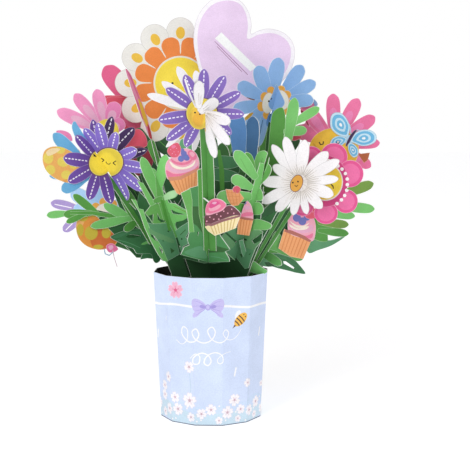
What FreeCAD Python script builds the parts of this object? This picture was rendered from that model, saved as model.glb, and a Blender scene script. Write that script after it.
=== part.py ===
import FreeCAD, Part
import Sketcher
import math
import os

# A pop-up bouquet card. All lengths in millimetres. The origin is the middle of
# the pot's underside, +Z is up and the front facet of the pot faces -Y.
doc = FreeCAD.newDocument("popup_card")
sheet = doc.addObject("Spreadsheet::Sheet", "Sizes")
SIZES = [
    ("pot_height", 93.0),
    ("rim_radius", 37.3),
    ("foot_radius", 33.0),
    ("pot_wall_t", 0.45),
    ("card_t", 0.35),
    ("base_t", 0.45),
    ("apex_height", 50.0),
    ("lattice_angle", 35.0),
    ("column_spread", 0.31),
    ("half_lap", 60.0),
    ("slot_play", 0.12),
    ("cross_half_width", 29.5),
    ("cross_foot_half_width", 28.0),
    ("facets", 12),
    ("lobes", 12),
]
for i, (name, value) in enumerate(SIZES, start=1):
    sheet.set("A%d" % i, name)
    sheet.set("B%d" % i, repr(value))
    sheet.setAlias("B%d" % i, name)
doc.recompute()


def cell(name):
    return float(sheet.get(name))


# ---------------------------------------------------------------- planes
# Every card stands in a plane through one apex inside the pot, so that the
# bouquet folds flat. A plane is given by one point (gx, gy) at height 1 above
# the apex and by its horizontal direction in degrees.
ANG = cell("lattice_angle")
SPREAD = cell("column_spread")
RISE = SPREAD * math.tan(math.radians(ANG))
APEX = FreeCAD.Vector(0, 0, cell("apex_height"))


def crossing(k, j):
    return ((k - j) * SPREAD, -(k + j) * RISE)


PLANES = {
    "AF": crossing(1, 0) + (ANG,),
    "AM": (0.0, 0.0, ANG),
    "AB": crossing(-1, 0) + (ANG,),
    "BF": crossing(0, 1) + (-ANG,),
    "BM": (0.0, 0.0, -ANG),
    "BB": crossing(0, -1) + (-ANG,),
    "BK": (0.265, 0.265 * math.tan(math.radians(ANG)), -ANG),
    "H36": (0.0, 0.36, 0.0),
    "H31": (0.0, 0.31, 0.0),
    "H26": (0.0, 0.26, 0.0),
    "H20": (0.0, 0.20, 0.0),
    "H10": (0.0, 0.10, 0.0),
    "H02": (0.0, 0.03, 0.0),
    "H-12": (0.0, -0.12, 0.0),
    "H-20": (0.0, -0.19, 0.0),
    "KLs": (-0.33, 0.20, 72.0),
    "Hb": (0.0, -0.48, -26.0),
    "Hd": (SPREAD, -RISE - 0.07, 0.0),
    "Hf": (0.0, -0.30, 0.0),
}


def axes(plane):
    gx, gy, deg = plane
    t = math.radians(deg)
    u = FreeCAD.Vector(math.cos(t), math.sin(t), 0)
    g = FreeCAD.Vector(gx, gy, 1)
    v = g - u * g.dot(u)
    v.normalize()
    return u, v, u.cross(v)


def placement(plane, off):
    u, v, n = axes(plane)
    o = APEX + n * off
    m = FreeCAD.Matrix(u.x, v.x, n.x, o.x, u.y, v.y, n.y, o.y, u.z, v.z, n.z, o.z, 0, 0, 0, 1)
    return FreeCAD.Placement(m)


def local(plane, x, y, h):
    """In-plane coordinates of the point (x, y, 1) * h above the apex."""
    u, v, n = axes(plane)
    p = FreeCAD.Vector(x, y, 1) * h
    return (p.dot(u), p.dot(v))


# ---------------------------------------------------------------- helpers
bodies = []


def body(label, place):
    b = doc.addObject("PartDesign::Body", label)
    b.Label = label
    b.Placement = place
    bodies.append(b)
    return b


def origin_plane(b, role):
    for f in b.Origin.OriginFeatures:
        if f.Role == role:
            return f
    raise ValueError(role)


def sketch(b, name, role="XY_Plane", z=0.0):
    s = b.newObject("Sketcher::SketchObject", name)
    s.AttachmentSupport = [(origin_plane(b, role), "")]
    s.MapMode = "FlatFace"
    if z:
        s.AttachmentOffset = FreeCAD.Placement(FreeCAD.Vector(0, 0, z), FreeCAD.Rotation())
    return s


def pad(b, sk, name, length_cell):
    p = b.newObject("PartDesign::Pad", name)
    p.Profile = sk
    p.setExpression("Length", "Sizes." + length_cell)
    return p


def closed_curve(points, n=2):
    """Points along a closed Catmull-Rom curve."""
    out = []
    m = len(points)
    for i in range(m):
        a, b, c, d = points[i - 1], points[i], points[(i + 1) % m], points[(i + 2) % m]
        for k in range(n):
            t = k / float(n)
            out.append(
                tuple(
                    0.5 * (2 * b[q] + (c[q] - a[q]) * t + (2 * a[q] - 5 * b[q] + 4 * c[q] - d[q]) * t * t + (3 * b[q] - a[q] - 3 * c[q] + d[q]) * t**3)
                    for q in (0, 1)
                )
            )
    return out


def face_of(points):
    vs = [FreeCAD.Vector(x, y, 0) for x, y in points]
    vs.append(vs[0])
    f = Part.Face(Part.makePolygon(vs))
    if not f.isValid():
        f.fix(1e-4, 1e-4, 1e-4)
    return f


def union_loops(shapes, floor=None, cuts=()):
    """Outline loops of the union of closed outlines, all in the card's own plane."""
    faces = []
    for kind, pts in shapes:
        if kind == "h":
            continue
        f = face_of(closed_curve(pts) if kind == "c" else pts)
        if f.normalAt(0, 0).z < 0:
            f.reverse()
        faces.append(f)
    whole = faces[0] if len(faces) == 1 else faces[0].multiFuse(faces[1:]).removeSplitter()
    if len(whole.Faces) > 3:
        whole = faces[0]
        for f in faces[1:]:
            whole = whole.fuse(f).removeSplitter()
    if floor is not None:
        whole = whole.cut(Part.makePlane(600, 400, FreeCAD.Vector(-300, floor - 400, 0)))
    for c in list(cuts) + [pts for kind, pts in shapes if kind == "h"]:
        whole = whole.cut(face_of(c))
    whole = whole.removeSplitter()
    loops = []
    # one card is one sheet: a sliver that the slots cut off is left out
    for f in sorted(whole.Faces, key=lambda q: -q.Area)[:1]:
        for w in f.Wires:
            pts = [v.Point for v in w.OrderedVertexes]
            keep = []
            for p in pts:
                if not keep or (p - keep[-1]).Length > 0.06:
                    keep.append(p)
            if (keep[0] - keep[-1]).Length <= 0.06:
                keep.pop()
            if len(keep) >= 3 and abs(Part.Face(Part.makePolygon(keep + [keep[0]])).Area) > 0.4:
                loops.append(keep)
    return loops


def add_loops(sk, loops):
    lines = []
    for loop in loops:
        for i, p in enumerate(loop):
            lines.append(Part.LineSegment(FreeCAD.Vector(p.x, p.y, 0), FreeCAD.Vector(loop[(i + 1) % len(loop)].x, loop[(i + 1) % len(loop)].y, 0)))
    sk.addGeometry(lines, False)


# Where cards of the two directions cross: those of direction A are slotted below
# half_lap, those of direction B above it, and where two heads cross B's slot ends
# at the height given here and A takes the slot above it.
HEADS = {("AF", "BF"): 999.0, ("AB", "BF"): 112.5, ("AM", "BK"): 999.0}
FAMILY = {"AF": "A", "AM": "A", "AB": "A", "BF": "B", "BM": "B", "BB": "B", "BK": "B"}


def meet(p, q):
    """The point (x, y) at height 1 above the apex where two planes cross."""
    x1, y1, d1 = PLANES[p]
    x2, y2, d2 = PLANES[q]
    c1, s1 = math.cos(math.radians(d1)), math.sin(math.radians(d1))
    c2, s2 = math.cos(math.radians(d2)), math.sin(math.radians(d2))
    k = ((x2 - x1) * s2 - (y2 - y1) * c2) / (c1 * s2 - s1 * c2)
    return (x1 + k * c1, y1 + k * s1)


def slots(plane_name, off, spans):
    """Slot outlines, in the card's plane, where it meets the cards of the other direction."""
    if plane_name not in FAMILY:
        return []
    fam = FAMILY[plane_name]
    t = cell("card_t")
    lap = cell("half_lap")
    play = cell("slot_play")
    u, v, n = axes(PLANES[plane_name])
    out = []
    for other, ofam in FAMILY.items():
        if ofam == fam or (set((plane_name, other)) & {"BK"} and set((plane_name, other)) != {"AM", "BK"}):
            continue
        lo, hi = spans[other]
        ou, ov, on = axes(PLANES[other])
        pair = (plane_name, other) if fam == "A" else (other, plane_name)
        top = HEADS.get(pair, 999.0)
        skew = on.dot(n)
        lo2 = lo - play - max(skew * (off + t), skew * off)
        hi2 = hi + play - min(skew * (off + t), skew * off)
        # the strip lo2 <= a x + b y <= hi2 in the card's plane
        a, b = on.dot(u), on.dot(v)
        gx, gy = meet(plane_name, other)
        foot = -60.0 if pair == ("AM", "BM") else 40.0
        if "BK" in pair:
            ranges = [] if fam == "A" else [(-60.0, 400.0)]
        else:
            ranges = [(foot, lap + 0.3), (top - 0.3, 400.0)] if fam == "A" else [(lap - 0.3, top + 0.3)]
        for h0, h1 in ranges:
            if h0 >= 400:
                continue
            pts = []
            for h, c in ((h0, lo2), (h0, hi2), (min(h1, 400.0), hi2), (min(h1, 400.0), lo2)):
                y = local(PLANES[plane_name], gx, gy, h)[1]
                pts.append(((c - b * y) / a, y))
            out.append(pts)
    return out


# ---------------------------------------------------------------- cards
# name: (plane, distance in front of it, outlines joined into one card); "c" is a
# smooth closed curve through the points, "p" a straight-sided outline, "h" a window.
CARDS = {}
CARDS["aster_purple_centre"] = ('AF', 0.8, [
    ('c', ((-37.2,152.4),(-41.9,156.2),(-47.2,160.1),(-52.2,163.2),(-57.6,165.7),(-61.1,166.7),(-64.1,166.0),(-63.1,163.1),(-60.4,160.7),(-55.3,157.5),(-50.1,155.0),(-43.9,152.6),(-38.1,150.7))),
    ('c', ((-36.6,152.0),(-38.8,156.9),(-41.4,162.3),(-44.2,166.8),(-47.7,171.0),(-50.5,173.3),(-53.8,174.0),(-54.6,171.3),(-53.6,168.2),(-50.8,163.6),(-47.3,159.5),(-42.9,155.0),(-38.7,151.1))),
    ('c', ((-36.4,151.5),(-35.9,156.6),(-35.6,162.3),(-36.0,167.3),(-37.2,172.6),(-38.7,175.7),(-41.6,177.8),(-43.8,175.8),(-44.4,172.7),(-44.0,167.5),(-42.9,162.5),(-40.9,156.8),(-38.9,151.6))),
    ('c', ((-36.4,151.0),(-33.1,154.7),(-29.6,159.0),(-27.1,163.2),(-25.3,167.9),(-25.1,171.1),(-26.8,174.1),(-30.3,173.5),(-32.6,171.3),(-35.2,167.0),(-36.9,162.5),(-38.0,157.1),(-38.9,152.2))),
    ('c', ((-36.9,150.6),(-31.7,152.1),(-25.9,154.0),(-21.1,156.2),(-16.6,159.1),(-14.4,161.5),(-14.2,164.5),(-17.7,165.4),(-21.2,164.6),(-26.2,162.3),(-30.4,159.5),(-34.7,155.9),(-38.4,152.5))),
    ('c', ((-37.5,150.5),(-31.8,149.3),(-25.5,148.2),(-19.8,147.7),(-14.1,148.0),(-10.7,148.8),(-8.8,151.1),(-11.6,153.4),(-15.3,154.4),(-21.2,154.8),(-26.6,154.5),(-32.6,153.6),(-37.8,152.6))),
    ('c', ((-38.2,150.7),(-34.5,147.4),(-30.2,143.8),(-26.1,141.0),(-21.3,138.7),(-18.1,137.9),(-15.2,138.7),(-15.9,141.6),(-18.2,143.9),(-22.6,146.8),(-27.1,149.0),(-32.4,150.9),(-37.1,152.4))),
    ('c', ((-38.7,152.0),(-41.3,148.6),(-43.9,144.7),(-45.6,140.9),(-46.8,136.7),(-46.7,133.9),(-45.0,131.2),(-42.2,131.9),(-40.3,133.9),(-38.5,137.8),(-37.4,141.9),(-36.9,146.7),(-36.6,151.1))),
    ('c', ((-38.5,152.3),(-43.3,150.0),(-48.4,147.3),(-52.6,144.4),(-56.3,141.0),(-58.0,138.3),(-58.0,135.3),(-54.6,134.9),(-51.5,136.2),(-47.2,139.1),(-43.5,142.5),(-39.9,146.8),(-36.8,150.8))),
    ('c', ((-38.1,152.7),(-44.0,153.0),(-50.4,153.2),(-55.9,152.7),(-61.3,151.5),(-64.2,150.0),(-65.6,147.3),(-62.5,145.3),(-58.9,144.8),(-53.2,145.2),(-48.0,146.4),(-42.2,148.4),(-37.2,150.4))),
    ('c', ((-27.6,151.6),(-28.0,147.0),(-31.2,143.7),(-36.2,142.5),(-41.6,143.7),(-46.0,147.0),(-48.2,151.5),(-47.7,156.0),(-44.6,159.3),(-39.8,160.5),(-34.4,159.4),(-29.9,156.1))),
    ('p', ((-38.3,144.8),(-31.0,116.2),(-25.8,93.6),(-17.0,54.9),(-9.3,27.7),(-4.8,27.4),(-10.4,54.6),(-20.1,93.5),(-26.2,116.3),(-35.0,145.0))),
])
CARDS["aster_white_centre"] = ('BF', 0.8, [
    ('c', ((35.0,152.3),(38.0,149.6),(41.5,146.9),(45.1,145.1),(48.4,144.3),(50.9,144.4),(53.6,145.9),(53.8,148.4),(52.6,149.9),(49.8,151.3),(45.7,152.4),(40.6,153.0),(35.8,153.3))),
    ('c', ((34.9,152.5),(36.6,147.5),(38.9,142.0),(41.5,137.5),(44.2,134.2),(46.5,132.6),(49.5,132.5),(50.7,135.1),(50.1,137.6),(48.0,141.2),(44.6,145.3),(40.2,149.5),(36.0,153.1))),
    ('c', ((34.9,152.7),(33.9,146.4),(33.0,139.4),(32.9,133.2),(33.5,128.4),(34.5,125.6),(36.9,124.1),(39.0,126.6),(39.7,129.8),(39.8,134.7),(39.1,140.7),(37.6,147.2),(36.0,152.9))),
    ('c', ((39.8,148.8),(38.8,146.6),(37.5,144.9),(36.1,144.3),(35.0,144.9),(34.5,146.6),(34.8,148.9),(35.8,151.1),(37.1,152.8),(38.5,153.4),(39.6,152.7),(40.1,151.1))),
    ('p', ((35.6,147.9),(31.1,128.8),(27.2,113.0),(22.3,93.5),(12.6,54.6),(6.9,27.5),(11.8,28.1),(19.8,55.4),(28.5,93.9),(33.3,113.3),(36.4,129.0),(40.7,148.0))),
])
CARDS["aster_white_centre_b"] = ('AF', 0.4, [
    ('c', ((-36.9,153.0),(-45.0,156.0),(-54.0,159.2),(-61.9,161.4),(-68.3,162.7),(-72.1,163.0),(-74.8,162.0),(-72.6,159.8),(-68.9,158.2),(-62.7,156.3),(-54.6,154.7),(-45.4,153.3),(-37.0,152.2))),
    ('c', ((-36.8,153.0),(-42.8,157.5),(-49.6,162.3),(-55.8,166.1),(-61.0,168.7),(-64.3,169.8),(-67.1,169.6),(-65.9,167.1),(-63.3,164.8),(-58.4,161.8),(-51.9,158.5),(-44.2,155.1),(-37.2,152.3))),
    ('c', ((-36.6,152.9),(-40.3,159.0),(-44.7,165.8),(-49.1,171.3),(-53.0,175.5),(-55.8,177.6),(-58.9,178.4),(-59.0,175.7),(-57.5,172.7),(-54.1,168.3),(-49.2,163.0),(-43.1,157.4),(-37.4,152.4))),
    ('c', ((-36.5,152.7),(-37.5,158.0),(-38.9,163.9),(-40.6,169.0),(-42.5,172.9),(-44.2,175.2),(-46.6,176.4),(-47.7,174.5),(-47.5,171.9),(-46.2,167.9),(-43.8,163.0),(-40.6,157.5),(-37.4,152.5))),
    ('c', ((-37.2,152.8),(-42.1,148.6),(-47.4,143.9),(-51.8,139.5),(-55.1,135.7),(-56.8,133.2),(-57.3,130.9),(-55.0,131.7),(-52.6,133.6),(-49.0,137.1),(-44.8,141.9),(-40.5,147.4),(-36.7,152.4))),
    ('c', ((-37.3,152.7),(-38.5,147.8),(-39.7,142.2),(-40.4,137.1),(-40.5,132.9),(-40.1,130.2),(-38.9,128.2),(-37.4,129.6),(-36.6,132.0),(-36.1,136.1),(-35.9,141.3),(-36.2,147.3),(-36.6,152.6))),
    ('c', ((-30.9,152.7),(-31.2,149.9),(-33.0,147.9),(-35.9,147.2),(-39.0,147.9),(-41.6,149.9),(-43.0,152.6),(-42.7,155.3),(-40.9,157.3),(-38.0,158.0),(-34.9,157.3),(-32.3,155.4))),
])
CARDS["aster_purple_left"] = ('AB', 1.2, [
    ('c', ((-57.9,118.1),(-56.8,123.8),(-55.8,130.2),(-55.5,135.9),(-55.9,141.7),(-56.9,145.1),(-59.2,147.1),(-61.4,144.3),(-62.3,140.7),(-62.7,134.8),(-62.3,129.3),(-61.2,123.2),(-60.1,117.8))),
    ('c', ((-58.0,118.6),(-59.7,122.9),(-61.8,127.6),(-64.1,131.4),(-67.2,134.8),(-69.7,136.4),(-72.8,136.4),(-73.7,133.4),(-72.8,130.6),(-70.4,126.7),(-67.5,123.4),(-63.6,120.1),(-59.9,117.3))),
    ('c', ((-58.6,119.3),(-62.9,121.5),(-67.9,123.6),(-72.5,124.8),(-77.6,125.1),(-80.9,124.3),(-83.7,121.7),(-82.6,118.6),(-80.1,116.9),(-75.3,115.7),(-70.5,115.4),(-64.7,115.9),(-59.4,116.6))),
    ('c', ((-59.5,119.1),(-64.7,118.0),(-70.4,116.5),(-75.2,114.6),(-79.7,111.9),(-82.1,109.5),(-82.9,106.1),(-80.0,104.6),(-76.7,105.0),(-71.8,106.9),(-67.4,109.6),(-62.6,113.2),(-58.5,116.8))),
    ('c', ((-60.2,118.3),(-63.7,114.1),(-67.3,109.2),(-69.9,104.8),(-71.9,99.9),(-72.3,96.7),(-70.8,94.0),(-67.4,95.1),(-65.0,97.6),(-62.2,102.2),(-60.3,106.9),(-58.9,112.5),(-57.8,117.6))),
    ('c', ((-60.3,117.6),(-61.1,112.1),(-61.7,106.0),(-61.6,100.7),(-60.6,95.4),(-59.1,92.4),(-56.1,90.8),(-53.6,93.5),(-52.8,97.0),(-52.9,102.5),(-53.9,107.7),(-55.8,113.3),(-57.7,118.2))),
    ('c', ((-58.0,117.6),(-54.2,123.2),(-50.2,129.7),(-47.1,135.6),(-44.6,142.0),(-43.9,146.0),(-45.0,149.1),(-48.4,147.2),(-51.0,143.6),(-54.1,137.4),(-56.5,131.4),(-58.5,124.4),(-60.0,118.2))),
    ('c', ((-58.1,117.0),(-51.9,120.3),(-45.0,124.4),(-39.2,128.5),(-33.7,133.6),(-30.9,137.3),(-30.5,141.2),(-34.7,141.4),(-38.9,139.4),(-44.9,135.0),(-50.1,130.2),(-55.4,124.3),(-59.8,118.9))),
    ('c', ((-58.9,117.0),(-52.2,117.5),(-44.5,118.2),(-37.7,119.5),(-30.6,121.4),(-26.4,123.3),(-23.7,126.1),(-26.9,127.5),(-31.3,127.4),(-38.5,126.1),(-45.2,124.2),(-52.6,121.5),(-59.1,118.9))),
    ('c', ((-51.5,115.5),(-54.8,111.7),(-59.1,109.7),(-63.2,110.0),(-66.1,112.5),(-67.0,116.5),(-65.6,121.0),(-62.4,124.8),(-58.1,126.9),(-53.9,126.6),(-50.9,124.1),(-50.1,120.0))),
    ('p', ((-59.5,110.9),(-51.5,98.6),(-40.2,76.9),(-26.2,45.6),(-16.1,26.7),(-12.0,28.5),(-20.8,48.0),(-35.5,79.2),(-47.7,100.9),(-56.4,113.0))),
])
CARDS["aster_purple_left_b"] = ('BF', 0.8, [
    ('c', ((-48.5,120.1),(-49.8,125.3),(-51.5,130.9),(-53.8,135.6),(-56.8,139.7),(-59.6,141.7),(-63.5,142.1),(-65.4,139.0),(-65.0,135.9),(-62.9,131.3),(-59.7,127.0),(-55.3,122.6),(-51.2,118.8))),
    ('c', ((-48.3,119.8),(-46.9,125.4),(-45.6,131.6),(-45.2,136.9),(-45.8,141.7),(-47.2,144.4),(-50.4,145.8),(-53.6,143.1),(-54.8,139.9),(-55.3,134.8),(-54.7,129.6),(-53.1,124.0),(-51.4,119.1))),
    ('c', ((-48.6,119.2),(-44.7,123.0),(-40.6,127.4),(-37.7,131.3),(-35.8,135.1),(-35.4,137.6),(-37.1,139.6),(-40.7,138.6),(-43.2,136.5),(-46.1,132.8),(-48.2,128.7),(-49.9,123.9),(-51.1,119.6))),
    ('c', ((-49.6,118.3),(-43.9,118.9),(-37.6,119.8),(-32.3,121.3),(-27.4,123.3),(-24.6,125.3),(-23.2,128.3),(-25.8,130.0),(-29.0,130.0),(-34.1,128.7),(-39.3,126.6),(-45.0,123.5),(-50.1,120.6))),
    ('c', ((-50.6,118.2),(-45.1,116.1),(-38.9,114.0),(-33.1,112.9),(-27.1,112.6),(-23.1,113.2),(-19.4,115.5),(-20.3,118.4),(-23.1,119.9),(-28.5,121.1),(-34.8,121.5),(-42.3,121.2),(-49.1,120.7))),
    ('c', ((-51.0,118.6),(-47.7,113.9),(-43.6,109.0),(-39.4,105.0),(-34.6,101.8),(-31.0,100.4),(-26.9,100.9),(-26.2,104.1),(-27.8,107.0),(-31.7,110.8),(-36.6,114.2),(-42.9,117.5),(-48.7,120.3))),
    ('c', ((-51.3,118.9),(-51.2,113.3),(-50.8,107.0),(-49.7,101.7),(-47.7,97.0),(-45.5,94.5),(-41.9,93.7),(-39.5,96.9),(-39.2,100.3),(-40.2,105.3),(-42.3,110.2),(-45.4,115.4),(-48.4,119.9))),
    ('c', ((-37.5,119.7),(-40.7,114.9),(-46.4,111.2),(-53.1,109.7),(-59.1,110.8),(-62.5,114.2),(-62.5,119.1),(-59.1,124.0),(-53.3,127.6),(-46.6,129.0),(-40.9,127.9),(-37.6,124.5))),
])
CARDS["bloom_blue"] = ('AM', 0.4, [
    ('c', ((47.7,149.1),(50.7,155.5),(53.8,162.8),(56.0,169.4),(56.5,174.0),(55.6,176.9),(52.1,179.3),(47.7,178.1),(45.4,175.6),(43.6,171.3),(42.2,164.7),(41.4,157.1),(40.9,150.3))),
    ('c', ((47.5,150.5),(46.6,156.2),(45.3,162.6),(43.6,168.1),(41.7,171.5),(39.4,173.2),(35.2,173.6),(32.0,171.2),(31.4,168.6),(32.1,164.9),(34.5,159.7),(37.9,153.9),(41.1,148.9))),
    ('c', ((46.0,152.0),(41.0,155.5),(35.3,159.4),(30.0,162.3),(26.1,163.7),(23.1,163.7),(19.8,161.8),(19.3,158.5),(20.7,156.4),(24.0,154.2),(29.6,151.7),(36.4,149.4),(42.6,147.4))),
    ('c', ((43.8,152.0),(37.1,151.8),(29.8,151.5),(23.4,150.8),(19.3,149.7),(17.1,148.2),(16.0,145.3),(18.2,142.9),(20.9,142.2),(25.2,142.4),(31.5,143.7),(38.5,145.5),(44.8,147.4))),
    ('c', ((42.3,151.4),(36.4,147.9),(30.1,143.9),(24.8,140.0),(21.9,137.0),(20.8,134.6),(21.7,131.6),(25.3,130.7),(28.2,131.5),(32.0,133.9),(36.8,138.1),(41.9,143.3),(46.3,148.0))),
    ('c', ((42.2,150.2),(39.2,143.9),(36.0,136.9),(33.6,130.6),(32.6,126.3),(32.7,123.5),(34.5,121.2),(37.5,122.3),(39.4,124.6),(41.3,128.8),(43.2,135.3),(45.0,142.6),(46.4,149.2))),
    ('c', ((48.2,149.2),(47.0,145.9),(44.8,143.6),(42.3,142.9),(40.1,144.1),(38.8,146.8),(38.8,150.2),(40.0,153.5),(42.1,155.8),(44.6,156.4),(46.8,155.3),(48.1,152.6))),
    ('c', ((49.8,162.1),(53.8,156.3),(57.1,149.8),(53.1,145.9),(46.7,145.2),(43.5,149.0),(46.6,155.5))),
    ('p', ((40.0,140.2),(36.5,119.6),(30.0,97.2),(19.1,65.2),(9.9,43.0),(6.0,26.1),(9.7,25.1),(15.1,41.4),(24.3,63.6),(35.3,95.9),(41.2,118.8),(43.9,139.8))),
])
CARDS["bloom_blue_b"] = ('BK', 0.4, [
    ('c', ((23.8,155.5),(28.0,160.4),(32.5,166.0),(35.9,171.3),(37.4,175.2),(37.2,178.1),(34.6,181.5),(30.3,181.9),(27.7,180.5),(25.0,177.1),(22.3,171.4),(19.8,164.7),(17.8,158.6))),
    ('c', ((22.6,154.8),(29.2,157.0),(36.4,159.6),(42.4,162.2),(45.9,164.5),(47.4,166.7),(46.9,170.0),(43.3,171.8),(40.1,171.7),(35.9,170.2),(30.3,167.0),(24.2,163.0),(19.0,159.2))),
    ('c', ((21.5,154.5),(27.8,153.9),(34.9,153.3),(40.9,153.3),(44.8,153.9),(46.9,155.1),(47.7,158.0),(45.4,160.8),(42.7,161.9),(38.6,162.2),(32.6,161.7),(26.0,160.6),(20.1,159.5))),
    ('c', ((17.7,157.7),(16.2,154.6),(14.8,151.1),(14.1,147.8),(14.4,145.4),(15.7,143.8),(19.1,142.1),(22.8,142.2),(24.3,143.2),(25.1,145.3),(25.2,148.7),(24.6,152.7),(23.8,156.3))),
    ('c', ((28.0,159.5),(29.0,156.1),(28.4,153.2),(26.3,151.8),(23.3,152.1),(20.2,154.0),(17.8,157.2),(16.7,160.6),(17.4,163.5),(19.5,165.0),(22.5,164.6),(25.6,162.6))),
    ('c', ((15.8,169.4),(21.1,163.1),(25.7,156.3),(22.6,152.2),(16.3,151.6),(12.3,155.7),(14.0,162.6))),
    ('c', ((24.2,165.4),(24.0,164.1),(23.1,163.1),(21.6,162.8),(19.9,163.2),(18.5,164.2),(17.8,165.6),(18.0,166.9),(18.9,167.9),(20.4,168.2),(22.1,167.8),(23.5,166.8))),
    ('c', ((29.7,161.6),(29.5,160.1),(28.5,159.0),(26.8,158.6),(24.9,159.1),(23.4,160.2),(22.6,161.7),(22.7,163.3),(23.8,164.4),(25.5,164.7),(27.4,164.3),(28.9,163.2))),
    ('c', ((31.3,155.5),(31.2,153.9),(30.3,152.6),(28.9,152.2),(27.2,152.7),(25.8,153.9),(25.0,155.6),(25.1,157.3),(26.0,158.5),(27.5,159.0),(29.1,158.5),(30.5,157.2))),
    ('c', ((30.3,150.8),(30.2,149.5),(29.4,148.5),(28.1,148.2),(26.7,148.5),(25.5,149.5),(24.8,150.9),(24.9,152.2),(25.7,153.2),(27.0,153.6),(28.5,153.2),(29.7,152.2))),
])
CARDS["bloom_orange"] = ('H31', 0, [
    ('c', ((-14.6,208.1),(-16.3,202.1),(-21.1,198.4),(-27.1,198.4),(-32.0,202.2),(-34.0,208.2),(-32.3,214.2),(-27.5,218.0),(-21.5,217.9),(-16.6,214.2))),
    ('c', ((3.1,203.1),(1.3,197.1),(-3.5,193.4),(-9.4,193.4),(-14.3,197.1),(-16.3,203.2),(-14.6,209.2),(-9.8,212.9),(-3.8,212.9),(1.1,209.1))),
    ('c', ((16.1,189.5),(14.3,183.6),(9.5,179.9),(3.6,179.9),(-1.3,183.6),(-3.2,189.6),(-1.5,195.6),(3.3,199.2),(9.3,199.2),(14.2,195.5))),
    ('c', ((20.9,171.2),(19.1,165.3),(14.4,161.7),(8.5,161.7),(3.6,165.3),(1.7,171.2),(3.5,177.2),(8.2,180.8),(14.2,180.8),(19.0,177.1))),
    ('c', ((16.4,153.1),(14.7,147.2),(10.0,143.6),(4.1,143.6),(-0.7,147.2),(-2.7,153.1),(-0.9,158.9),(3.8,162.6),(9.7,162.6),(14.6,158.9))),
    ('c', ((3.9,139.9),(2.2,134.1),(-2.5,130.5),(-8.4,130.5),(-13.2,134.1),(-15.1,139.9),(-13.4,145.7),(-8.7,149.3),(-2.8,149.3),(2.0,145.7))),
    ('c', ((-13.2,135.1),(-15.0,129.3),(-19.6,125.7),(-25.5,125.7),(-30.4,129.3),(-32.3,135.1),(-30.6,140.9),(-25.9,144.5),(-20.0,144.5),(-15.2,140.9))),
    ('c', ((-30.6,139.9),(-32.3,134.1),(-37.0,130.5),(-42.9,130.5),(-47.8,134.1),(-49.8,139.9),(-48.1,145.7),(-43.4,149.3),(-37.5,149.3),(-32.6,145.7))),
    ('c', ((-43.7,153.1),(-45.4,147.2),(-50.1,143.6),(-56.0,143.6),(-60.9,147.2),(-62.9,153.1),(-61.3,159.0),(-56.6,162.6),(-50.6,162.6),(-45.7,159.0))),
    ('c', ((-48.9,171.3),(-50.5,165.4),(-55.3,161.7),(-61.2,161.7),(-66.1,165.4),(-68.2,171.3),(-66.5,177.3),(-61.8,180.9),(-55.8,180.9),(-50.9,177.2))),
    ('c', ((-44.7,189.7),(-46.3,183.7),(-51.1,180.0),(-57.1,180.0),(-62.0,183.7),(-64.1,189.7),(-62.4,195.7),(-57.6,199.4),(-51.6,199.4),(-46.7,195.7))),
    ('c', ((-32.1,203.2),(-33.8,197.2),(-38.6,193.5),(-44.6,193.5),(-49.5,197.2),(-51.6,203.3),(-49.9,209.3),(-45.1,213.0),(-39.1,213.0),(-34.1,209.2))),
    ('c', ((7.6,171.2),(6.7,162.8),(3.7,155.0),(-1.2,148.3),(-7.5,143.2),(-14.9,140.0),(-22.9,138.9),(-30.9,140.0),(-38.4,143.2),(-45.0,148.3),(-50.1,155.0),(-53.5,162.9),(-54.8,171.3),(-54.0,179.8),(-51.0,187.7),(-46.2,194.5),(-39.9,199.8),(-32.3,203.1),(-24.2,204.2),(-16.1,203.0),(-8.4,199.7),(-1.9,194.4),(3.2,187.6),(6.4,179.7))),
    ('c', ((-20.1,118.8),(-27.5,118.8),(-35.6,122.2),(-42.5,129.2),(-46.1,138.9),(-39.3,136.8),(-31.8,133.3),(-25.0,129.2),(-19.5,124.3))),
    ('c', ((-15.1,68.5),(-21.4,83.3),(-23.7,98.2),(-20.6,111.9),(-18.9,124.3),(-12.3,132.7),(-5.7,135.4),(1.1,132.7),(3.2,120.9),(5.4,107.2),(5.0,90.1),(1.3,68.6))),
    ('c', ((-0.8,76.6),(0.3,96.9),(2.6,117.5),(6.4,134.1),(11.7,139.6),(15.8,135.5),(15.9,120.9),(14.1,103.8),(9.7,86.8),(4.6,72.6))),
    ('c', ((-9.5,93.3),(-10.3,99.9),(-11.3,107.3),(-12.5,113.9),(-14.3,120.1),(-16.0,123.7),(-18.9,125.7),(-20.6,122.7),(-20.7,118.7),(-19.7,112.4),(-18.0,105.9),(-15.8,98.7),(-13.7,92.4))),
    ('c', ((-3.2,90.0),(-2.2,97.8),(-1.3,106.6),(-0.8,114.5),(-0.9,122.1),(-1.8,126.7),(-4.2,129.9),(-6.9,127.0),(-8.1,122.5),(-8.8,114.9),(-8.8,107.0),(-8.4,98.1),(-8.0,90.2))),
    ('c', ((7.8,92.5),(9.6,101.1),(11.6,110.7),(13.0,119.4),(13.8,127.9),(13.6,133.1),(11.7,136.8),(8.9,133.8),(7.3,128.9),(5.8,120.6),(4.8,111.8),(4.0,102.0),(3.4,93.2))),
    ('p', ((-20.8,159.2),(-4.6,30.0),(-2.6,30.0),(-17.4,159.2))),
    ('h', ((-19.13,108.0),(-12.3,67.68),(-9.23,53.3),(-9.15,53.08),(-8.93,53.0),(-8.38,53.04),(-8.17,53.13),(-8.08,53.34),(-17.5,108.95),(-17.59,109.17),(-17.8,109.25),(-18.01,109.17),(-18.58,108.72),(-19.04,108.22))),
])
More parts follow.
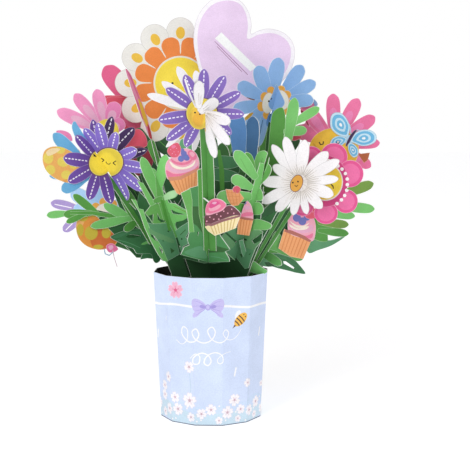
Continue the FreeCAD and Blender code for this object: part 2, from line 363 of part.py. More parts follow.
CARDS["heart_card"] = ('H26', 0, [
    ('c', ((6.0,138.5),(-1.6,157.0),(-9.2,174.2),(-12.3,184.6),(-14.5,197.2),(-13.4,210.5),(-8.5,221.1),(-1.1,227.4),(8.4,229.1),(17.2,225.5),(22.6,217.4),(24.4,209.0),(24.1,202.8),(29.5,205.1),(36.8,206.3),(45.6,203.7),(51.6,197.7),(53.6,188.7),(50.6,176.9),(42.3,166.6),(30.4,156.3),(19.2,147.4),(11.9,141.2))),
    ('c', ((7.0,101.3),(9.5,116.1),(16.0,129.7),(25.2,140.6),(31.8,144.7),(33.2,133.8),(26.7,120.2),(17.5,105.4))),
    ('c', ((8.4,100.0),(17.4,117.5),(27.9,132.4),(37.1,147.4),(41.8,141.9),(40.5,128.3),(32.6,116.2),(20.2,102.7))),
    ('c', ((9.7,96.0),(24.1,112.1),(38.5,124.3),(50.4,131.1),(57.0,129.7),(53.0,121.6),(41.2,110.8),(25.5,98.7))),
    ('p', ((12.0,163.9),(1.5,30.0),(3.5,30.0),(15.4,163.9))),
])
CARDS["bloom_rose_edge"] = ('KLs', 0, [
    ('c', ((10.4,183.8),(15.5,180.5),(16.8,172.1),(17.5,162.9),(18.2,153.8),(16.8,143.9),(13.9,135.2),(10.1,136.3),(9.3,145.3),(8.4,155.1),(8.7,163.5),(9.0,173.9))),
    ('p', ((12.9,139.0),(6.2,110.0),(0.8,30.0),(2.2,30.0),(7.8,110.0),(14.7,139.0))),
])
CARDS["bloom_pink_left"] = ('H20', 0, [
    ('c', ((-69.2,134.7),(-76.3,139.1),(-84.3,143.8),(-91.7,147.6),(-96.9,149.4),(-100.4,149.6),(-103.6,147.8),(-102.7,144.1),(-100.2,141.7),(-95.3,139.0),(-87.7,135.9),(-78.8,133.1),(-70.9,130.8))),
    ('c', ((-68.5,134.0),(-72.6,140.6),(-77.4,147.8),(-82.1,153.9),(-85.8,157.5),(-88.7,159.2),(-92.2,158.9),(-93.0,155.4),(-91.9,152.3),(-88.9,148.1),(-83.7,142.5),(-77.4,136.6),(-71.6,131.4))),
    ('c', ((-68.1,133.2),(-68.7,140.1),(-69.6,147.7),(-71.0,154.4),(-72.5,158.7),(-74.4,161.1),(-77.6,162.2),(-79.9,159.8),(-80.4,156.8),(-79.7,152.3),(-77.6,145.8),(-74.8,138.6),(-72.0,132.3))),
    ('c', ((-67.8,132.1),(-65.3,136.4),(-62.8,141.3),(-61.2,145.8),(-60.8,149.0),(-61.6,151.3),(-64.5,153.5),(-68.0,153.2),(-69.8,151.7),(-71.2,148.7),(-72.0,143.9),(-72.3,138.4),(-72.3,133.4))),
    ('c', ((-68.9,131.1),(-65.7,132.0),(-62.3,133.2),(-59.7,134.7),(-58.3,136.2),(-57.9,137.9),(-59.0,140.8),(-61.3,142.6),(-63.0,142.9),(-64.9,142.0),(-67.2,140.0),(-69.4,137.1),(-71.3,134.4))),
    ('c', ((-62.2,134.1),(-63.1,130.1),(-66.0,127.1),(-69.9,126.1),(-73.9,127.1),(-76.9,130.1),(-78.0,134.1),(-77.1,138.1),(-74.2,141.0),(-70.2,142.1),(-66.2,141.0),(-63.3,138.1))),
    ('c', ((-40.8,73.9),(-50.1,85.1),(-58.2,97.6),(-62.4,109.5),(-56.5,110.8),(-47.1,100.2),(-37.7,85.8))),
    ('c', ((-36.2,72.6),(-42.3,89.7),(-47.8,105.5),(-50.0,117.4),(-43.4,114.8),(-36.6,101.6),(-31.1,80.5))),
    ('p', ((-71.1,132.7),(-16.7,30.0),(-14.7,30.0),(-67.7,132.7))),
])
CARDS["petals_rose_back"] = ('H36', 0, [
    ('c', ((-44.4,151.2),(-50.2,161.1),(-57.0,172.1),(-63.7,181.3),(-68.2,185.8),(-71.9,187.5),(-77.0,186.4),(-78.9,181.3),(-78.0,177.1),(-74.6,171.7),(-67.1,163.2),(-58.1,154.2),(-49.8,146.5))),
    ('c', ((-79.1,163.3),(-75.1,165.1),(-68.2,165.1),(-55.9,164.8),(-51.4,154.6),(-60.9,152.5),(-73.2,152.8),(-78.2,157.5))),
    ('c', ((-43.2,153.2),(-44.0,149.6),(-46.4,146.9),(-49.8,146.0),(-53.2,146.9),(-55.8,149.6),(-56.8,153.2),(-56.0,156.8),(-53.6,159.4),(-50.2,160.4),(-46.8,159.4),(-44.2,156.8))),
    ('c', ((-75.0,162.6),(-65.4,164.0),(-55.8,161.8),(-47.3,154.6),(-44.2,143.1),(-46.6,133.1),(-54.9,136.0),(-63.3,142.4),(-70.4,150.3))),
    ('p', ((-49.0,153.2),(-10.3,30.0),(-8.3,30.0),(-45.6,153.2))),
])
CARDS["petals_blue_left"] = ('AB', 0.4, [
    ('c', ((-66.7,118.0),(-69.6,123.0),(-73.1,128.5),(-76.6,133.0),(-80.5,136.8),(-83.6,138.5),(-87.4,138.1),(-88.3,134.5),(-87.2,131.2),(-84.0,126.8),(-80.0,122.7),(-75.1,118.5),(-70.5,114.9))),
    ('c', ((-61.9,121.1),(-62.7,126.5),(-63.7,132.6),(-65.1,137.9),(-67.1,142.6),(-69.1,145.1),(-72.2,146.0),(-74.0,143.0),(-74.0,139.6),(-72.8,134.6),(-70.9,129.6),(-68.3,124.2),(-65.7,119.5))),
    ('c', ((-69.1,111.7),(-73.4,110.7),(-78.1,109.4),(-82.1,107.9),(-85.6,105.8),(-87.4,103.8),(-87.8,100.7),(-85.4,99.0),(-82.8,99.1),(-79.0,100.4),(-75.2,102.5),(-71.2,105.3),(-67.6,108.0))),
    ('c', ((-71.1,109.4),(-75.7,110.5),(-80.7,111.5),(-85.3,112.1),(-89.7,112.2),(-92.5,111.9),(-94.5,110.6),(-93.1,109.0),(-90.6,108.2),(-86.3,107.6),(-81.7,107.4),(-76.3,107.5),(-71.5,107.8))),
    ('c', ((-85.1,139.7),(-80.4,140.0),(-76.0,137.7),(-75.4,133.0),(-80.7,133.8),(-84.3,136.4))),
    ('c', ((-80.2,128.5),(-74.7,129.1),(-71.1,125.7),(-74.5,121.8),(-79.6,123.9))),
    ('c', ((-60.6,114.9),(-62.4,111.0),(-65.9,108.2),(-70.2,107.3),(-74.1,108.4),(-76.6,111.4),(-77.0,115.3),(-75.3,119.2),(-71.8,122.0),(-67.5,123.0),(-63.5,121.9),(-61.0,118.9))),
    ('p', ((-82.6,132.7),(-79.6,123.8),(-74.8,118.2),(-69.2,122.7),(-73.6,127.8),(-78.8,134.8))),
])
CARDS["balloon_upper"] = ('AB', 0.8, [
    ('c', ((-97.5,120.8),(-95.5,126.3),(-91.1,129.0),(-85.6,129.3),(-80.5,127.7),(-73.8,123.0),(-68.8,116.3),(-71.3,109.8),(-77.4,105.7),(-84.1,105.9),(-91.6,109.1),(-96.4,114.4))),
])
CARDS["balloon_lower"] = ('AB', -0.36, [
    ('c', ((-81.9,76.9),(-79.5,82.9),(-74.7,86.8),(-69.0,88.1),(-63.8,86.3),(-59.1,81.5),(-56.1,74.8),(-54.8,68.9),(-57.3,64.5),(-62.5,62.6),(-69.4,62.2),(-76.5,64.8),(-81.0,69.8))),
    ('c', ((-63.6,64.3),(-59.2,65.6),(-55.7,61.8),(-59.5,59.8),(-62.9,60.4))),
    ('p', ((-62.7,66.0),(-48.3,60.1),(-33.7,53.9),(-31.6,57.5),(-46.2,63.7),(-60.3,70.1))),
])
CARDS["bloom_sky_left"] = ('BF', 0.4, [
    ('c', ((-61.9,85.5),(-66.0,89.5),(-70.9,93.9),(-75.8,97.3),(-81.4,99.8),(-86.0,100.3),(-91.9,98.4),(-93.7,94.0),(-92.2,90.8),(-87.7,87.3),(-82.0,84.4),(-75.1,81.7),(-68.8,79.5))),
    ('c', ((-61.2,84.2),(-61.1,88.6),(-61.3,93.3),(-62.1,97.3),(-63.9,100.7),(-66.3,102.3),(-71.2,102.1),(-75.3,98.9),(-76.5,96.0),(-76.0,92.0),(-74.5,88.2),(-72.0,84.3),(-69.5,80.9))),
    ('c', ((-64.0,80.6),(-59.7,82.2),(-54.9,84.1),(-50.9,86.1),(-47.5,88.5),(-45.9,90.5),(-45.8,93.4),(-48.6,94.6),(-51.4,94.2),(-55.3,92.5),(-59.1,90.2),(-63.1,87.2),(-66.7,84.5))),
    ('c', ((-67.1,80.2),(-63.6,78.6),(-59.6,77.0),(-55.8,75.8),(-51.8,75.4),(-48.8,75.9),(-45.6,78.0),(-45.3,80.8),(-46.8,82.3),(-50.2,83.6),(-54.3,84.2),(-59.1,84.6),(-63.6,84.9))),
    ('c', ((-68.6,81.0),(-68.3,77.5),(-67.8,73.7),(-66.8,70.5),(-65.0,67.8),(-62.8,66.7),(-58.8,67.2),(-55.8,70.0),(-55.1,72.4),(-55.8,75.6),(-57.4,78.4),(-59.8,81.4),(-62.0,84.0))),
    ('c', ((-63.6,85.3),(-68.6,86.9),(-74.3,88.4),(-79.7,89.4),(-85.4,89.6),(-89.4,88.8),(-93.6,86.0),(-93.3,82.7),(-90.8,81.1),(-85.7,79.9),(-79.8,79.5),(-73.1,79.5),(-67.0,79.7))),
    ('c', ((-68.6,87.3),(-69.7,85.6),(-71.7,84.3),(-74.0,83.8),(-75.9,84.1),(-77.1,85.3),(-77.1,86.9),(-75.9,88.6),(-73.9,89.9),(-71.6,90.5),(-69.7,90.1),(-68.6,89.0))),
    ('c', ((-60.0,91.3),(-61.1,89.6),(-63.1,88.3),(-65.3,87.8),(-67.3,88.1),(-68.4,89.3),(-68.4,90.9),(-67.3,92.6),(-65.3,93.9),(-63.1,94.4),(-61.2,94.0),(-60.0,92.9))),
    ('c', ((-52.4,90.3),(-53.5,88.6),(-55.4,87.3),(-57.6,86.8),(-59.6,87.1),(-60.7,88.2),(-60.7,89.9),(-59.6,91.5),(-57.7,92.8),(-55.4,93.3),(-53.5,93.0),(-52.4,91.9))),
    ('c', ((-50.7,84.8),(-51.8,83.1),(-53.7,81.8),(-55.9,81.2),(-57.9,81.5),(-59.0,82.7),(-59.0,84.3),(-57.9,86.0),(-56.0,87.3),(-53.8,87.8),(-51.8,87.5),(-50.7,86.4))),
    ('c', ((-54.2,76.1),(-55.2,74.4),(-57.1,73.2),(-59.2,72.6),(-61.1,72.9),(-62.2,74.0),(-62.2,75.6),(-61.1,77.2),(-59.3,78.5),(-57.1,79.0),(-55.3,78.7),(-54.2,77.6))),
    ('c', ((-59.7,72.2),(-60.7,70.6),(-62.5,69.4),(-64.5,68.8),(-66.3,69.1),(-67.4,70.1),(-67.4,71.6),(-66.3,73.2),(-64.5,74.5),(-62.5,75.0),(-60.7,74.7),(-59.7,73.7))),
    ('c', ((-71.7,80.7),(-72.9,79.0),(-74.9,77.7),(-77.2,77.1),(-79.2,77.4),(-80.3,78.6),(-80.3,80.2),(-79.2,82.0),(-77.1,83.3),(-74.8,83.9),(-72.9,83.5),(-71.7,82.4))),
    ('c', ((-55.1,82.4),(-57.9,78.0),(-62.8,74.5),(-68.5,73.0),(-73.5,73.9),(-76.3,76.9),(-76.2,81.2),(-73.3,85.7),(-68.3,89.1),(-62.6,90.5),(-57.8,89.6),(-55.1,86.6))),
    ('c', ((-87.3,86.9),(-91.9,88.5),(-97.2,90.1),(-102.3,90.9),(-107.6,91.1),(-111.3,90.4),(-114.8,88.3),(-114.2,85.7),(-111.7,84.4),(-106.8,83.5),(-101.3,83.3),(-94.7,83.8),(-88.9,84.3))),
    ('c', ((-86.6,82.4),(-92.0,80.5),(-98.0,78.1),(-103.1,75.6),(-107.7,72.6),(-110.0,70.3),(-110.5,67.3),(-107.2,66.6),(-103.7,67.5),(-98.8,69.9),(-94.1,73.0),(-89.3,76.8),(-85.1,80.4))),
])
CARDS["bloom_pink_right"] = ('H10', 0, [
    ('c', ((80.4,124.0),(81.4,131.3),(82.3,139.4),(82.4,146.7),(81.9,151.6),(80.6,154.4),(77.6,156.3),(74.6,154.3),(73.5,151.4),(73.1,146.5),(73.7,139.3),(74.9,131.1),(76.2,123.9))),
    ('c', ((80.2,123.0),(84.7,128.9),(89.5,135.8),(93.3,142.2),(95.2,146.7),(95.6,149.9),(93.9,153.1),(90.3,152.8),(87.8,150.7),(85.1,146.6),(81.9,139.9),(78.9,132.0),(76.5,124.9))),
    ('c', ((79.5,122.3),(85.9,125.3),(93.1,128.9),(99.1,132.6),(102.8,135.6),(104.5,138.1),(104.4,141.6),(101.3,142.9),(98.3,142.3),(94.1,140.0),(88.4,135.8),(82.4,130.5),(77.2,125.6))),
    ('c', ((78.4,122.3),(85.0,121.5),(92.4,120.9),(99.0,120.8),(103.4,121.2),(106.0,122.2),(107.7,124.6),(105.9,126.9),(103.2,127.8),(98.8,128.1),(92.2,127.7),(84.8,126.7),(78.3,125.6))),
    ('c', ((77.4,122.4),(82.2,118.3),(87.7,113.8),(92.8,110.3),(96.6,108.4),(99.3,107.9),(102.0,109.2),(101.9,112.3),(100.4,114.5),(97.0,117.0),(91.5,120.1),(85.1,123.0),(79.3,125.5))),
    ('c', ((80.1,125.3),(76.5,131.9),(72.3,139.0),(68.0,145.0),(64.6,148.5),(61.8,150.0),(58.0,149.6),(56.8,146.1),(57.6,143.0),(60.2,138.8),(65.1,133.3),(71.1,127.5),(76.6,122.6))),
    ('c', ((76.7,122.6),(78.2,119.1),(79.9,115.4),(82.0,112.4),(83.9,110.9),(85.7,110.6),(88.6,111.8),(90.3,114.4),(90.3,116.3),(89.1,118.4),(86.5,120.9),(83.1,123.3),(79.9,125.3))),
    ('c', ((60.3,141.9),(67.4,143.8),(72.5,138.1),(72.6,126.5),(65.5,124.6),(55.3,127.1),(48.8,130.4),(53.9,135.5),(59.7,137.4))),
    ('c', ((47.5,131.6),(54.0,129.7),(57.8,128.4),(52.7,125.9),(48.2,128.4))),
    ('c', ((94.3,120.1),(93.1,114.7),(89.7,110.1),(84.5,107.1),(78.4,106.0),(72.3,107.1),(67.1,110.1),(63.6,114.7),(62.3,120.1),(63.5,125.5),(67.0,130.1),(72.2,133.1),(78.3,134.2),(84.4,133.1),(89.6,130.1),(93.1,125.5))),
    ('p', ((93.7,117.6),(101.3,118.5),(100.1,113.7),(97.5,111.8))),
    ('c', ((55.2,151.5),(58.4,153.7),(63.5,153.8),(67.3,150.9),(67.2,148.1),(61.6,146.4),(56.5,146.4))),
    ('p', ((74.1,120.1),(17.9,30.0),(19.9,30.0),(77.5,120.1))),
    ('h', ((55.38,148.08),(55.47,147.87),(55.76,147.27),(55.98,147.18),(56.58,147.11),(56.79,147.2),(56.88,147.41),(59.34,153.79),(59.25,154.01),(59.04,154.09),(58.4,154.0),(57.54,153.66),(57.45,153.44))),
])
CARDS["butterfly"] = ('H10', 0.36, [
    ('c', ((86.6,128.4),(80.8,129.7),(76.3,134.2),(76.0,140.6),(78.2,143.8),(82.7,143.8),(86.5,139.9),(88.5,134.8),(87.9,131.0))),
    ('c', ((86.6,126.5),(82.8,122.6),(78.3,121.4),(75.8,123.3),(77.0,127.1),(80.8,129.1),(85.3,128.4))),
    ('c', ((88.5,125.9),(91.1,130.3),(95.5,132.9),(101.3,132.9),(105.1,130.0),(105.1,125.9),(101.3,123.3),(96.2,122.7),(91.7,124.3))),
    ('c', ((87.9,124.6),(91.1,123.9),(93.7,120.7),(93.7,116.9),(91.1,115.3),(88.6,117.5),(87.3,121.4))),
    ('p', ((86.4,122.4),(88.5,125.0),(90.4,128.5),(92.0,131.1),(93.0,132.6),(92.3,133.2),(90.7,132.2),(88.5,129.6),(86.7,126.0),(85.6,122.9))),
    ('c', ((90.6,126.5),(90.2,124.9),(89.2,123.7),(87.9,123.3),(86.6,123.7),(85.6,124.9),(85.2,126.5),(85.6,128.1),(86.5,129.3),(87.9,129.7),(89.2,129.3),(90.2,128.1))),
])
CARDS["bloom_scalloped"] = ('H-12', 0, [
    ('c', ((85.3,117.0),(84.3,112.8),(81.3,109.7),(77.1,108.6),(72.9,109.7),(69.8,112.8),(68.7,117.0),(69.7,121.2),(72.7,124.3),(76.8,125.4),(81.0,124.3),(84.1,121.2))),
    ('c', ((95.4,106.4),(94.4,102.2),(91.5,99.1),(87.5,97.9),(83.5,99.0),(80.5,102.1),(79.3,106.4),(80.3,110.6),(83.2,113.7),(87.2,114.8),(91.2,113.7),(94.2,110.6))),
    ('c', ((92.2,89.1),(91.3,85.2),(88.7,82.4),(85.0,81.4),(81.3,82.4),(78.6,85.2),(77.5,89.0),(78.5,92.8),(81.1,95.6),(84.7,96.6),(88.4,95.6),(91.2,92.9))),
    ('c', ((80.0,81.4),(79.1,77.9),(76.4,75.3),(72.7,74.3),(68.9,75.2),(66.1,77.8),(65.1,81.3),(66.0,84.8),(68.7,87.4),(72.5,88.4),(76.2,87.4),(79.0,84.9))),
    ('c', ((65.0,86.4),(64.1,82.9),(61.6,80.3),(58.2,79.4),(54.8,80.3),(52.2,82.9),(51.3,86.4),(52.2,89.9),(54.7,92.5),(58.1,93.4),(61.5,92.5),(64.0,89.9))),
    ('c', ((62.3,103.5),(61.4,99.7),(58.7,97.0),(54.9,95.9),(51.2,96.9),(48.5,99.7),(47.4,103.5),(48.4,107.3),(51.1,110.0),(54.8,111.0),(58.5,110.0),(61.3,107.3))),
    ('c', ((70.2,116.1),(69.3,112.3),(66.6,109.6),(62.9,108.5),(59.2,109.6),(56.4,112.3),(55.4,116.1),(56.4,119.8),(59.0,122.5),(62.7,123.5),(66.4,122.5),(69.2,119.8))),
    ('c', ((85.9,101.7),(84.1,93.5),(79.0,87.4),(71.9,85.2),(64.7,87.4),(59.4,93.4),(57.4,101.6),(59.2,109.8),(64.4,115.8),(71.4,117.9),(78.5,115.8),(83.8,109.8))),
    ('p', ((57.6,95.9),(17.5,30.0),(19.5,30.0),(61.0,95.9))),
])
CARDS["daisy_right"] = ('H-20', 0, [
    ('c', ((55.9,102.2),(53.5,107.7),(50.6,113.7),(47.6,118.7),(44.2,123.1),(41.6,125.3),(38.7,126.0),(38.3,122.9),(39.5,119.7),(42.4,115.0),(46.0,110.4),(50.6,105.6),(54.8,101.4))),
    ('c', ((56.1,102.1),(55.5,108.3),(54.6,115.1),(53.2,121.0),(51.2,126.4),(49.4,129.4),(46.6,130.9),(45.1,128.1),(45.2,124.5),(46.6,118.9),(48.7,113.3),(51.7,107.1),(54.6,101.6))),
    ('c', ((56.2,101.7),(58.2,107.0),(60.2,112.9),(61.2,118.3),(61.5,123.5),(60.9,126.7),(58.7,129.1),(56.1,127.4),(54.7,124.4),(53.7,119.3),(53.4,113.9),(53.9,107.6),(54.5,101.9))),
    ('c', ((56.0,101.2),(60.5,104.3),(65.3,107.9),(69.1,111.5),(72.1,115.5),(73.3,118.5),(72.8,121.6),(69.7,121.8),(67.0,120.3),(63.4,116.8),(60.2,112.6),(57.2,107.3),(54.7,102.4))),
    ('c', ((55.8,101.1),(61.3,102.9),(67.4,105.2),(72.4,107.7),(76.9,110.8),(79.2,113.3),(79.9,116.3),(76.9,117.2),(73.7,116.4),(68.9,114.0),(64.2,110.8),(59.3,106.5),(55.0,102.5))),
    ('c', ((55.5,101.2),(60.4,100.7),(65.9,100.4),(70.8,100.7),(75.3,101.5),(78.0,102.6),(79.6,104.7),(77.5,106.4),(74.6,106.8),(70.0,106.6),(65.3,105.7),(60.0,104.1),(55.3,102.5))),
    ('c', ((55.1,101.0),(58.9,98.2),(63.3,95.3),(67.4,93.4),(71.6,92.3),(74.3,92.4),(76.7,94.3),(75.8,97.2),(73.7,99.1),(69.8,100.9),(65.4,102.0),(60.3,102.5),(55.6,102.6))),
    ('c', ((54.8,101.3),(56.7,97.3),(59.1,92.9),(61.7,89.5),(64.7,86.7),(67.0,85.5),(69.8,85.9),(70.3,88.7),(69.3,91.2),(66.8,94.5),(63.7,97.3),(59.7,100.1),(55.9,102.4))),
    ('c', ((54.8,101.7),(55.0,97.5),(55.3,92.9),(56.1,88.9),(57.3,85.2),(58.5,83.1),(60.5,82.0),(61.7,84.0),(61.8,86.4),(61.0,90.3),(59.7,94.1),(57.8,98.3),(55.9,102.0))),
    ('c', ((54.7,101.9),(53.1,98.1),(51.4,93.7),(50.4,89.7),(50.0,85.8),(50.3,83.3),(51.9,81.4),(54.0,82.6),(55.1,84.8),(56.1,88.6),(56.4,92.8),(56.3,97.5),(56.0,101.7))),
    ('c', ((54.8,102.3),(51.1,99.5),(47.1,96.1),(44.0,92.7),(41.6,89.0),(40.7,86.4),(41.3,83.6),(44.1,83.6),(46.4,85.1),(49.3,88.4),(51.8,92.2),(54.1,97.0),(56.0,101.4))),
    ('c', ((55.0,102.5),(49.9,101.1),(44.2,99.3),(39.4,97.2),(35.1,94.5),(32.8,92.3),(32.0,89.3),(34.8,88.3),(37.8,88.9),(42.5,91.0),(46.9,93.8),(51.6,97.6),(55.7,101.2))),
    ('c', ((55.4,102.7),(50.9,104.2),(45.9,105.6),(41.4,106.2),(37.1,106.0),(34.4,105.1),(32.6,102.7),(34.2,100.2),(36.8,99.1),(41.1,98.6),(45.7,98.8),(50.8,99.8),(55.3,101.0))),
    ('c', ((55.8,102.5),(53.2,105.7),(50.2,109.0),(47.3,111.5),(44.0,113.3),(41.7,113.8),(39.3,112.8),(39.4,110.2),(40.7,108.2),(43.6,105.8),(46.9,103.9),(51.1,102.4),(55.0,101.2))),
    ('c', ((61.5,101.8),(60.7,98.3),(58.5,95.8),(55.4,94.8),(52.4,95.8),(50.1,98.3),(49.2,101.8),(50.0,105.3),(52.2,107.8),(55.3,108.8),(58.4,107.9),(60.7,105.3))),
    ('p', ((52.5,99.9),(15.3,30.0),(17.3,30.0),(55.9,99.9))),
])
CARDS["frond_right_a"] = ('AF', 0.4, [
    ('p', ((9.7,120.0),(8.2,102.6),(6.3,86.0),(6.5,66.8),(12.7,65.2),(13.2,84.2),(14.2,101.1),(13.4,119.2))),
    ('c', ((10.8,111.0),(7.6,115.3),(3.9,120.0),(0.2,123.8),(-3.8,127.0),(-6.8,128.3),(-10.2,128.1),(-10.7,125.1),(-9.4,122.5),(-6.0,118.8),(-1.9,115.3),(3.2,111.8),(7.9,108.7))),
    ('c', ((9.4,110.3),(8.2,114.0),(6.8,118.0),(5.1,121.5),(3.0,124.6),(1.0,126.3),(-1.8,127.0),(-3.1,125.2),(-2.9,123.0),(-1.4,119.7),(0.8,116.4),(3.6,112.7),(6.4,109.5))),
    ('c', ((8.5,104.9),(5.5,107.3),(2.1,109.8),(-1.1,111.6),(-4.4,112.7),(-6.6,112.7),(-8.7,111.1),(-8.3,108.3),(-6.7,106.6),(-3.7,104.7),(-0.4,103.4),(3.7,102.5),(7.3,101.8))),
    ('c', ((7.8,100.1),(2.5,101.3),(-3.4,102.4),(-8.4,102.8),(-13.0,102.4),(-15.5,101.3),(-16.7,98.3),(-14.1,95.3),(-11.0,94.1),(-6.1,93.5),(-1.2,93.8),(4.2,94.8),(8.9,95.9))),
    ('c', ((9.2,91.4),(6.1,92.5),(2.6,93.6),(-0.4,94.1),(-3.2,94.0),(-4.7,93.3),(-5.5,91.3),(-4.0,89.0),(-2.2,88.0),(0.7,87.4),(3.6,87.4),(6.9,87.8),(9.7,88.4))),
    ('p', ((-7.9,71.6),(-5.3,74.8),(-0.2,76.9),(6.2,77.9),(10.1,73.5),(9.1,68.1),(7.6,61.3),(10.2,52.7),(15.1,47.7),(1.0,57.6),(-2.4,60.7),(0.7,62.2))),
    ('h', ((-5.9,74.1),(-4.9,74.7),(4.3,67.7),(3.6,66.7))),
])
CARDS["frond_right_b"] = ('BM', 0.4, [
    ('p', ((38.3,112.8),(32.6,96.3),(26.9,80.5),(22.6,62.6),(28.7,62.0),(33.6,79.6),(38.6,95.3),(41.9,112.2))),
    ('c', ((39.4,102.8),(41.7,106.0),(43.9,109.6),(45.2,112.9),(45.6,116.1),(44.8,118.3),(42.0,120.1),(38.3,119.4),(36.4,117.7),(35.0,114.6),(34.4,111.2),(34.5,107.2),(34.8,103.6))),
    ('c', ((38.9,98.8),(41.5,100.9),(44.3,103.3),(46.2,105.6),(47.3,108.1),(47.2,110.0),(45.3,112.0),(42.2,112.1),(40.2,111.1),(38.3,108.9),(36.9,106.3),(36.0,103.2),(35.3,100.3))),
    ('c', ((33.2,90.1),(35.2,89.5),(37.4,89.1),(39.2,89.2),(40.6,90.0),(41.2,91.4),(40.9,94.1),(39.4,96.6),(38.1,97.4),(36.3,97.4),(34.8,96.7),(33.2,95.3),(31.9,93.8))),
    ('c', ((32.0,80.4),(34.5,80.3),(37.2,80.5),(39.3,81.0),(40.9,82.2),(41.5,83.6),(40.9,86.2),(38.9,88.1),(37.2,88.5),(35.1,88.1),(33.3,87.0),(31.6,85.3),(30.1,83.6))),
    ('c', ((31.1,75.7),(35.7,77.9),(40.2,77.6),(46.2,76.0),(47.7,74.1),(44.8,71.8),(37.2,71.1),(31.8,71.4))),
    ('p', ((23.3,72.8),(32.6,78.3),(35.7,76.0),(37.2,71.8),(41.1,70.4),(40.3,64.5),(35.7,59.8),(32.6,53.4),(30.3,46.9),(27.2,46.2),(23.3,50.1),(19.0,54.2),(18.6,58.0),(21.8,65.2))),
    ('h', ((25.7,65.5),(28.5,65.2),(29.2,63.8),(26.4,64.0))),
    ('h', ((32.6,64.4),(41.0,69.8),(39.5,64.8),(34.5,62.3))),
])
CARDS["sprig_left_a"] = ('AM', 0.4, [
    ('p', ((-40.9,106.7),(-39.9,92.2),(-35.0,76.0),(-30.1,64.4),(-23.4,66.3),(-28.3,77.7),(-34.5,93.1),(-37.5,107.0))),
    ('c', ((-37.1,91.3),(-38.5,96.7),(-40.2,102.6),(-42.2,107.8),(-44.7,112.5),(-46.8,115.0),(-49.8,116.2),(-51.1,113.6),(-50.8,110.4),(-49.0,105.5),(-46.5,100.6),(-43.3,95.1),(-40.2,90.3))),
    ('c', ((-37.1,96.2),(-37.4,99.1),(-37.9,102.4),(-38.7,105.2),(-40.1,107.7),(-41.5,109.0),(-44.0,109.4),(-45.7,107.8),(-46.0,106.0),(-45.3,103.3),(-43.9,100.6),(-42.0,97.8),(-40.1,95.3))),
    ('p', ((-53.1,101.7),(-49.0,100.4),(-44.2,92.9),(-39.4,85.9),(-35.9,79.5),(-38.8,76.0),(-44.3,86.1),(-49.0,94.3))),
    ('p', ((-48.1,82.0),(-44.3,86.1),(-39.4,87.7),(-35.9,85.7),(-31.7,75.6),(-28.9,69.8),(-33.2,69.4),(-38.8,73.5),(-43.0,75.6),(-45.0,78.7))),
    ('p', ((-47.8,76.4),(-43.0,75.2),(-37.4,75.0),(-31.7,75.3),(-28.5,70.4),(-26.0,64.0),(-23.6,55.0),(-29.0,52.6),(-32.6,51.2),(-35.4,55.2),(-37.5,61.6),(-40.9,66.8),(-44.4,70.7),(-46.5,73.3))),
    ('p', ((-57.3,90.9),(-53.9,90.2),(-52.2,84.9),(-49.1,84.2),(-47.1,78.2),(-44.4,71.9),(-38.9,64.2),(-36.1,60.2),(-31.9,50.9),(-35.4,51.4),(-38.9,55.4),(-43.8,63.8),(-48.2,72.7),(-51.9,82.7))),
    ('c', ((-41.8,87.8),(-42.1,90.0),(-38.6,91.7),(-35.8,91.9),(-35.8,88.8),(-38.7,87.7))),
    ('h', ((-45.8,80.1),(-42.2,81.0),(-42.5,76.1),(-44.3,78.4))),
    ('h', ((-39.5,81.6),(-37.3,77.7),(-33.1,76.2),(-36.6,75.5),(-39.2,77.8))),
    ('h', ((-44.4,69.2),(-41.6,67.4),(-39.0,64.0),(-41.0,64.7),(-43.7,67.1))),
    ('h', ((-38.3,60.8),(-35.7,58.3),(-36.1,56.0),(-37.8,58.5))),
])
CARDS["sprig_left_b"] = ('BF', 0.4, [
    ('p', ((-13.8,113.3),(-17.4,97.5),(-16.7,80.0),(-14.5,67.6),(-6.0,70.8),(-8.1,82.8),(-10.5,99.0),(-9.6,113.9))),
    ('c', ((-13.1,100.0),(-9.2,104.9),(-5.2,110.4),(-2.1,115.3),(0.1,120.0),(0.6,123.0),(-1.0,125.3),(-4.7,123.8),(-7.3,121.2),(-10.4,116.6),(-12.8,111.5),(-15.1,105.7),(-16.9,100.5))),
    ('c', ((-17.9,93.4),(-12.6,97.3),(-5.8,100.9),(-0.7,102.0),(1.2,100.2),(-1.6,97.3),(-8.3,95.3),(-14.5,93.5))),
    ('p', ((-8.8,93.5),(-2.5,93.1),(1.6,90.6),(5.2,89.2),(7.3,86.9),(5.6,84.8),(0.8,82.2),(-5.7,80.5),(-8.2,84.4),(-9.9,89.7))),
    ('p', ((-15.8,94.8),(-8.3,95.2),(-7.7,90.5),(-7.6,86.4),(-4.9,84.6),(-4.3,82.6),(-7.0,79.0),(-7.3,74.9),(-11.5,73.3),(-14.5,79.9))),
    ('p', ((-12.1,73.9),(-7.8,74.9),(-2.9,77.7),(2.8,80.6),(6.2,81.5),(6.6,79.2),(3.2,74.9),(-0.9,70.6),(1.6,68.0),(-1.0,65.7),(-5.3,63.7),(-6.0,61.2),(-9.5,57.5),(-10.8,64.3),(-11.9,69.1))),
    ('h', ((-7.7,89.1),(-4.0,87.7),(3.1,86.2),(-3.0,85.8),(-6.9,86.2))),
])
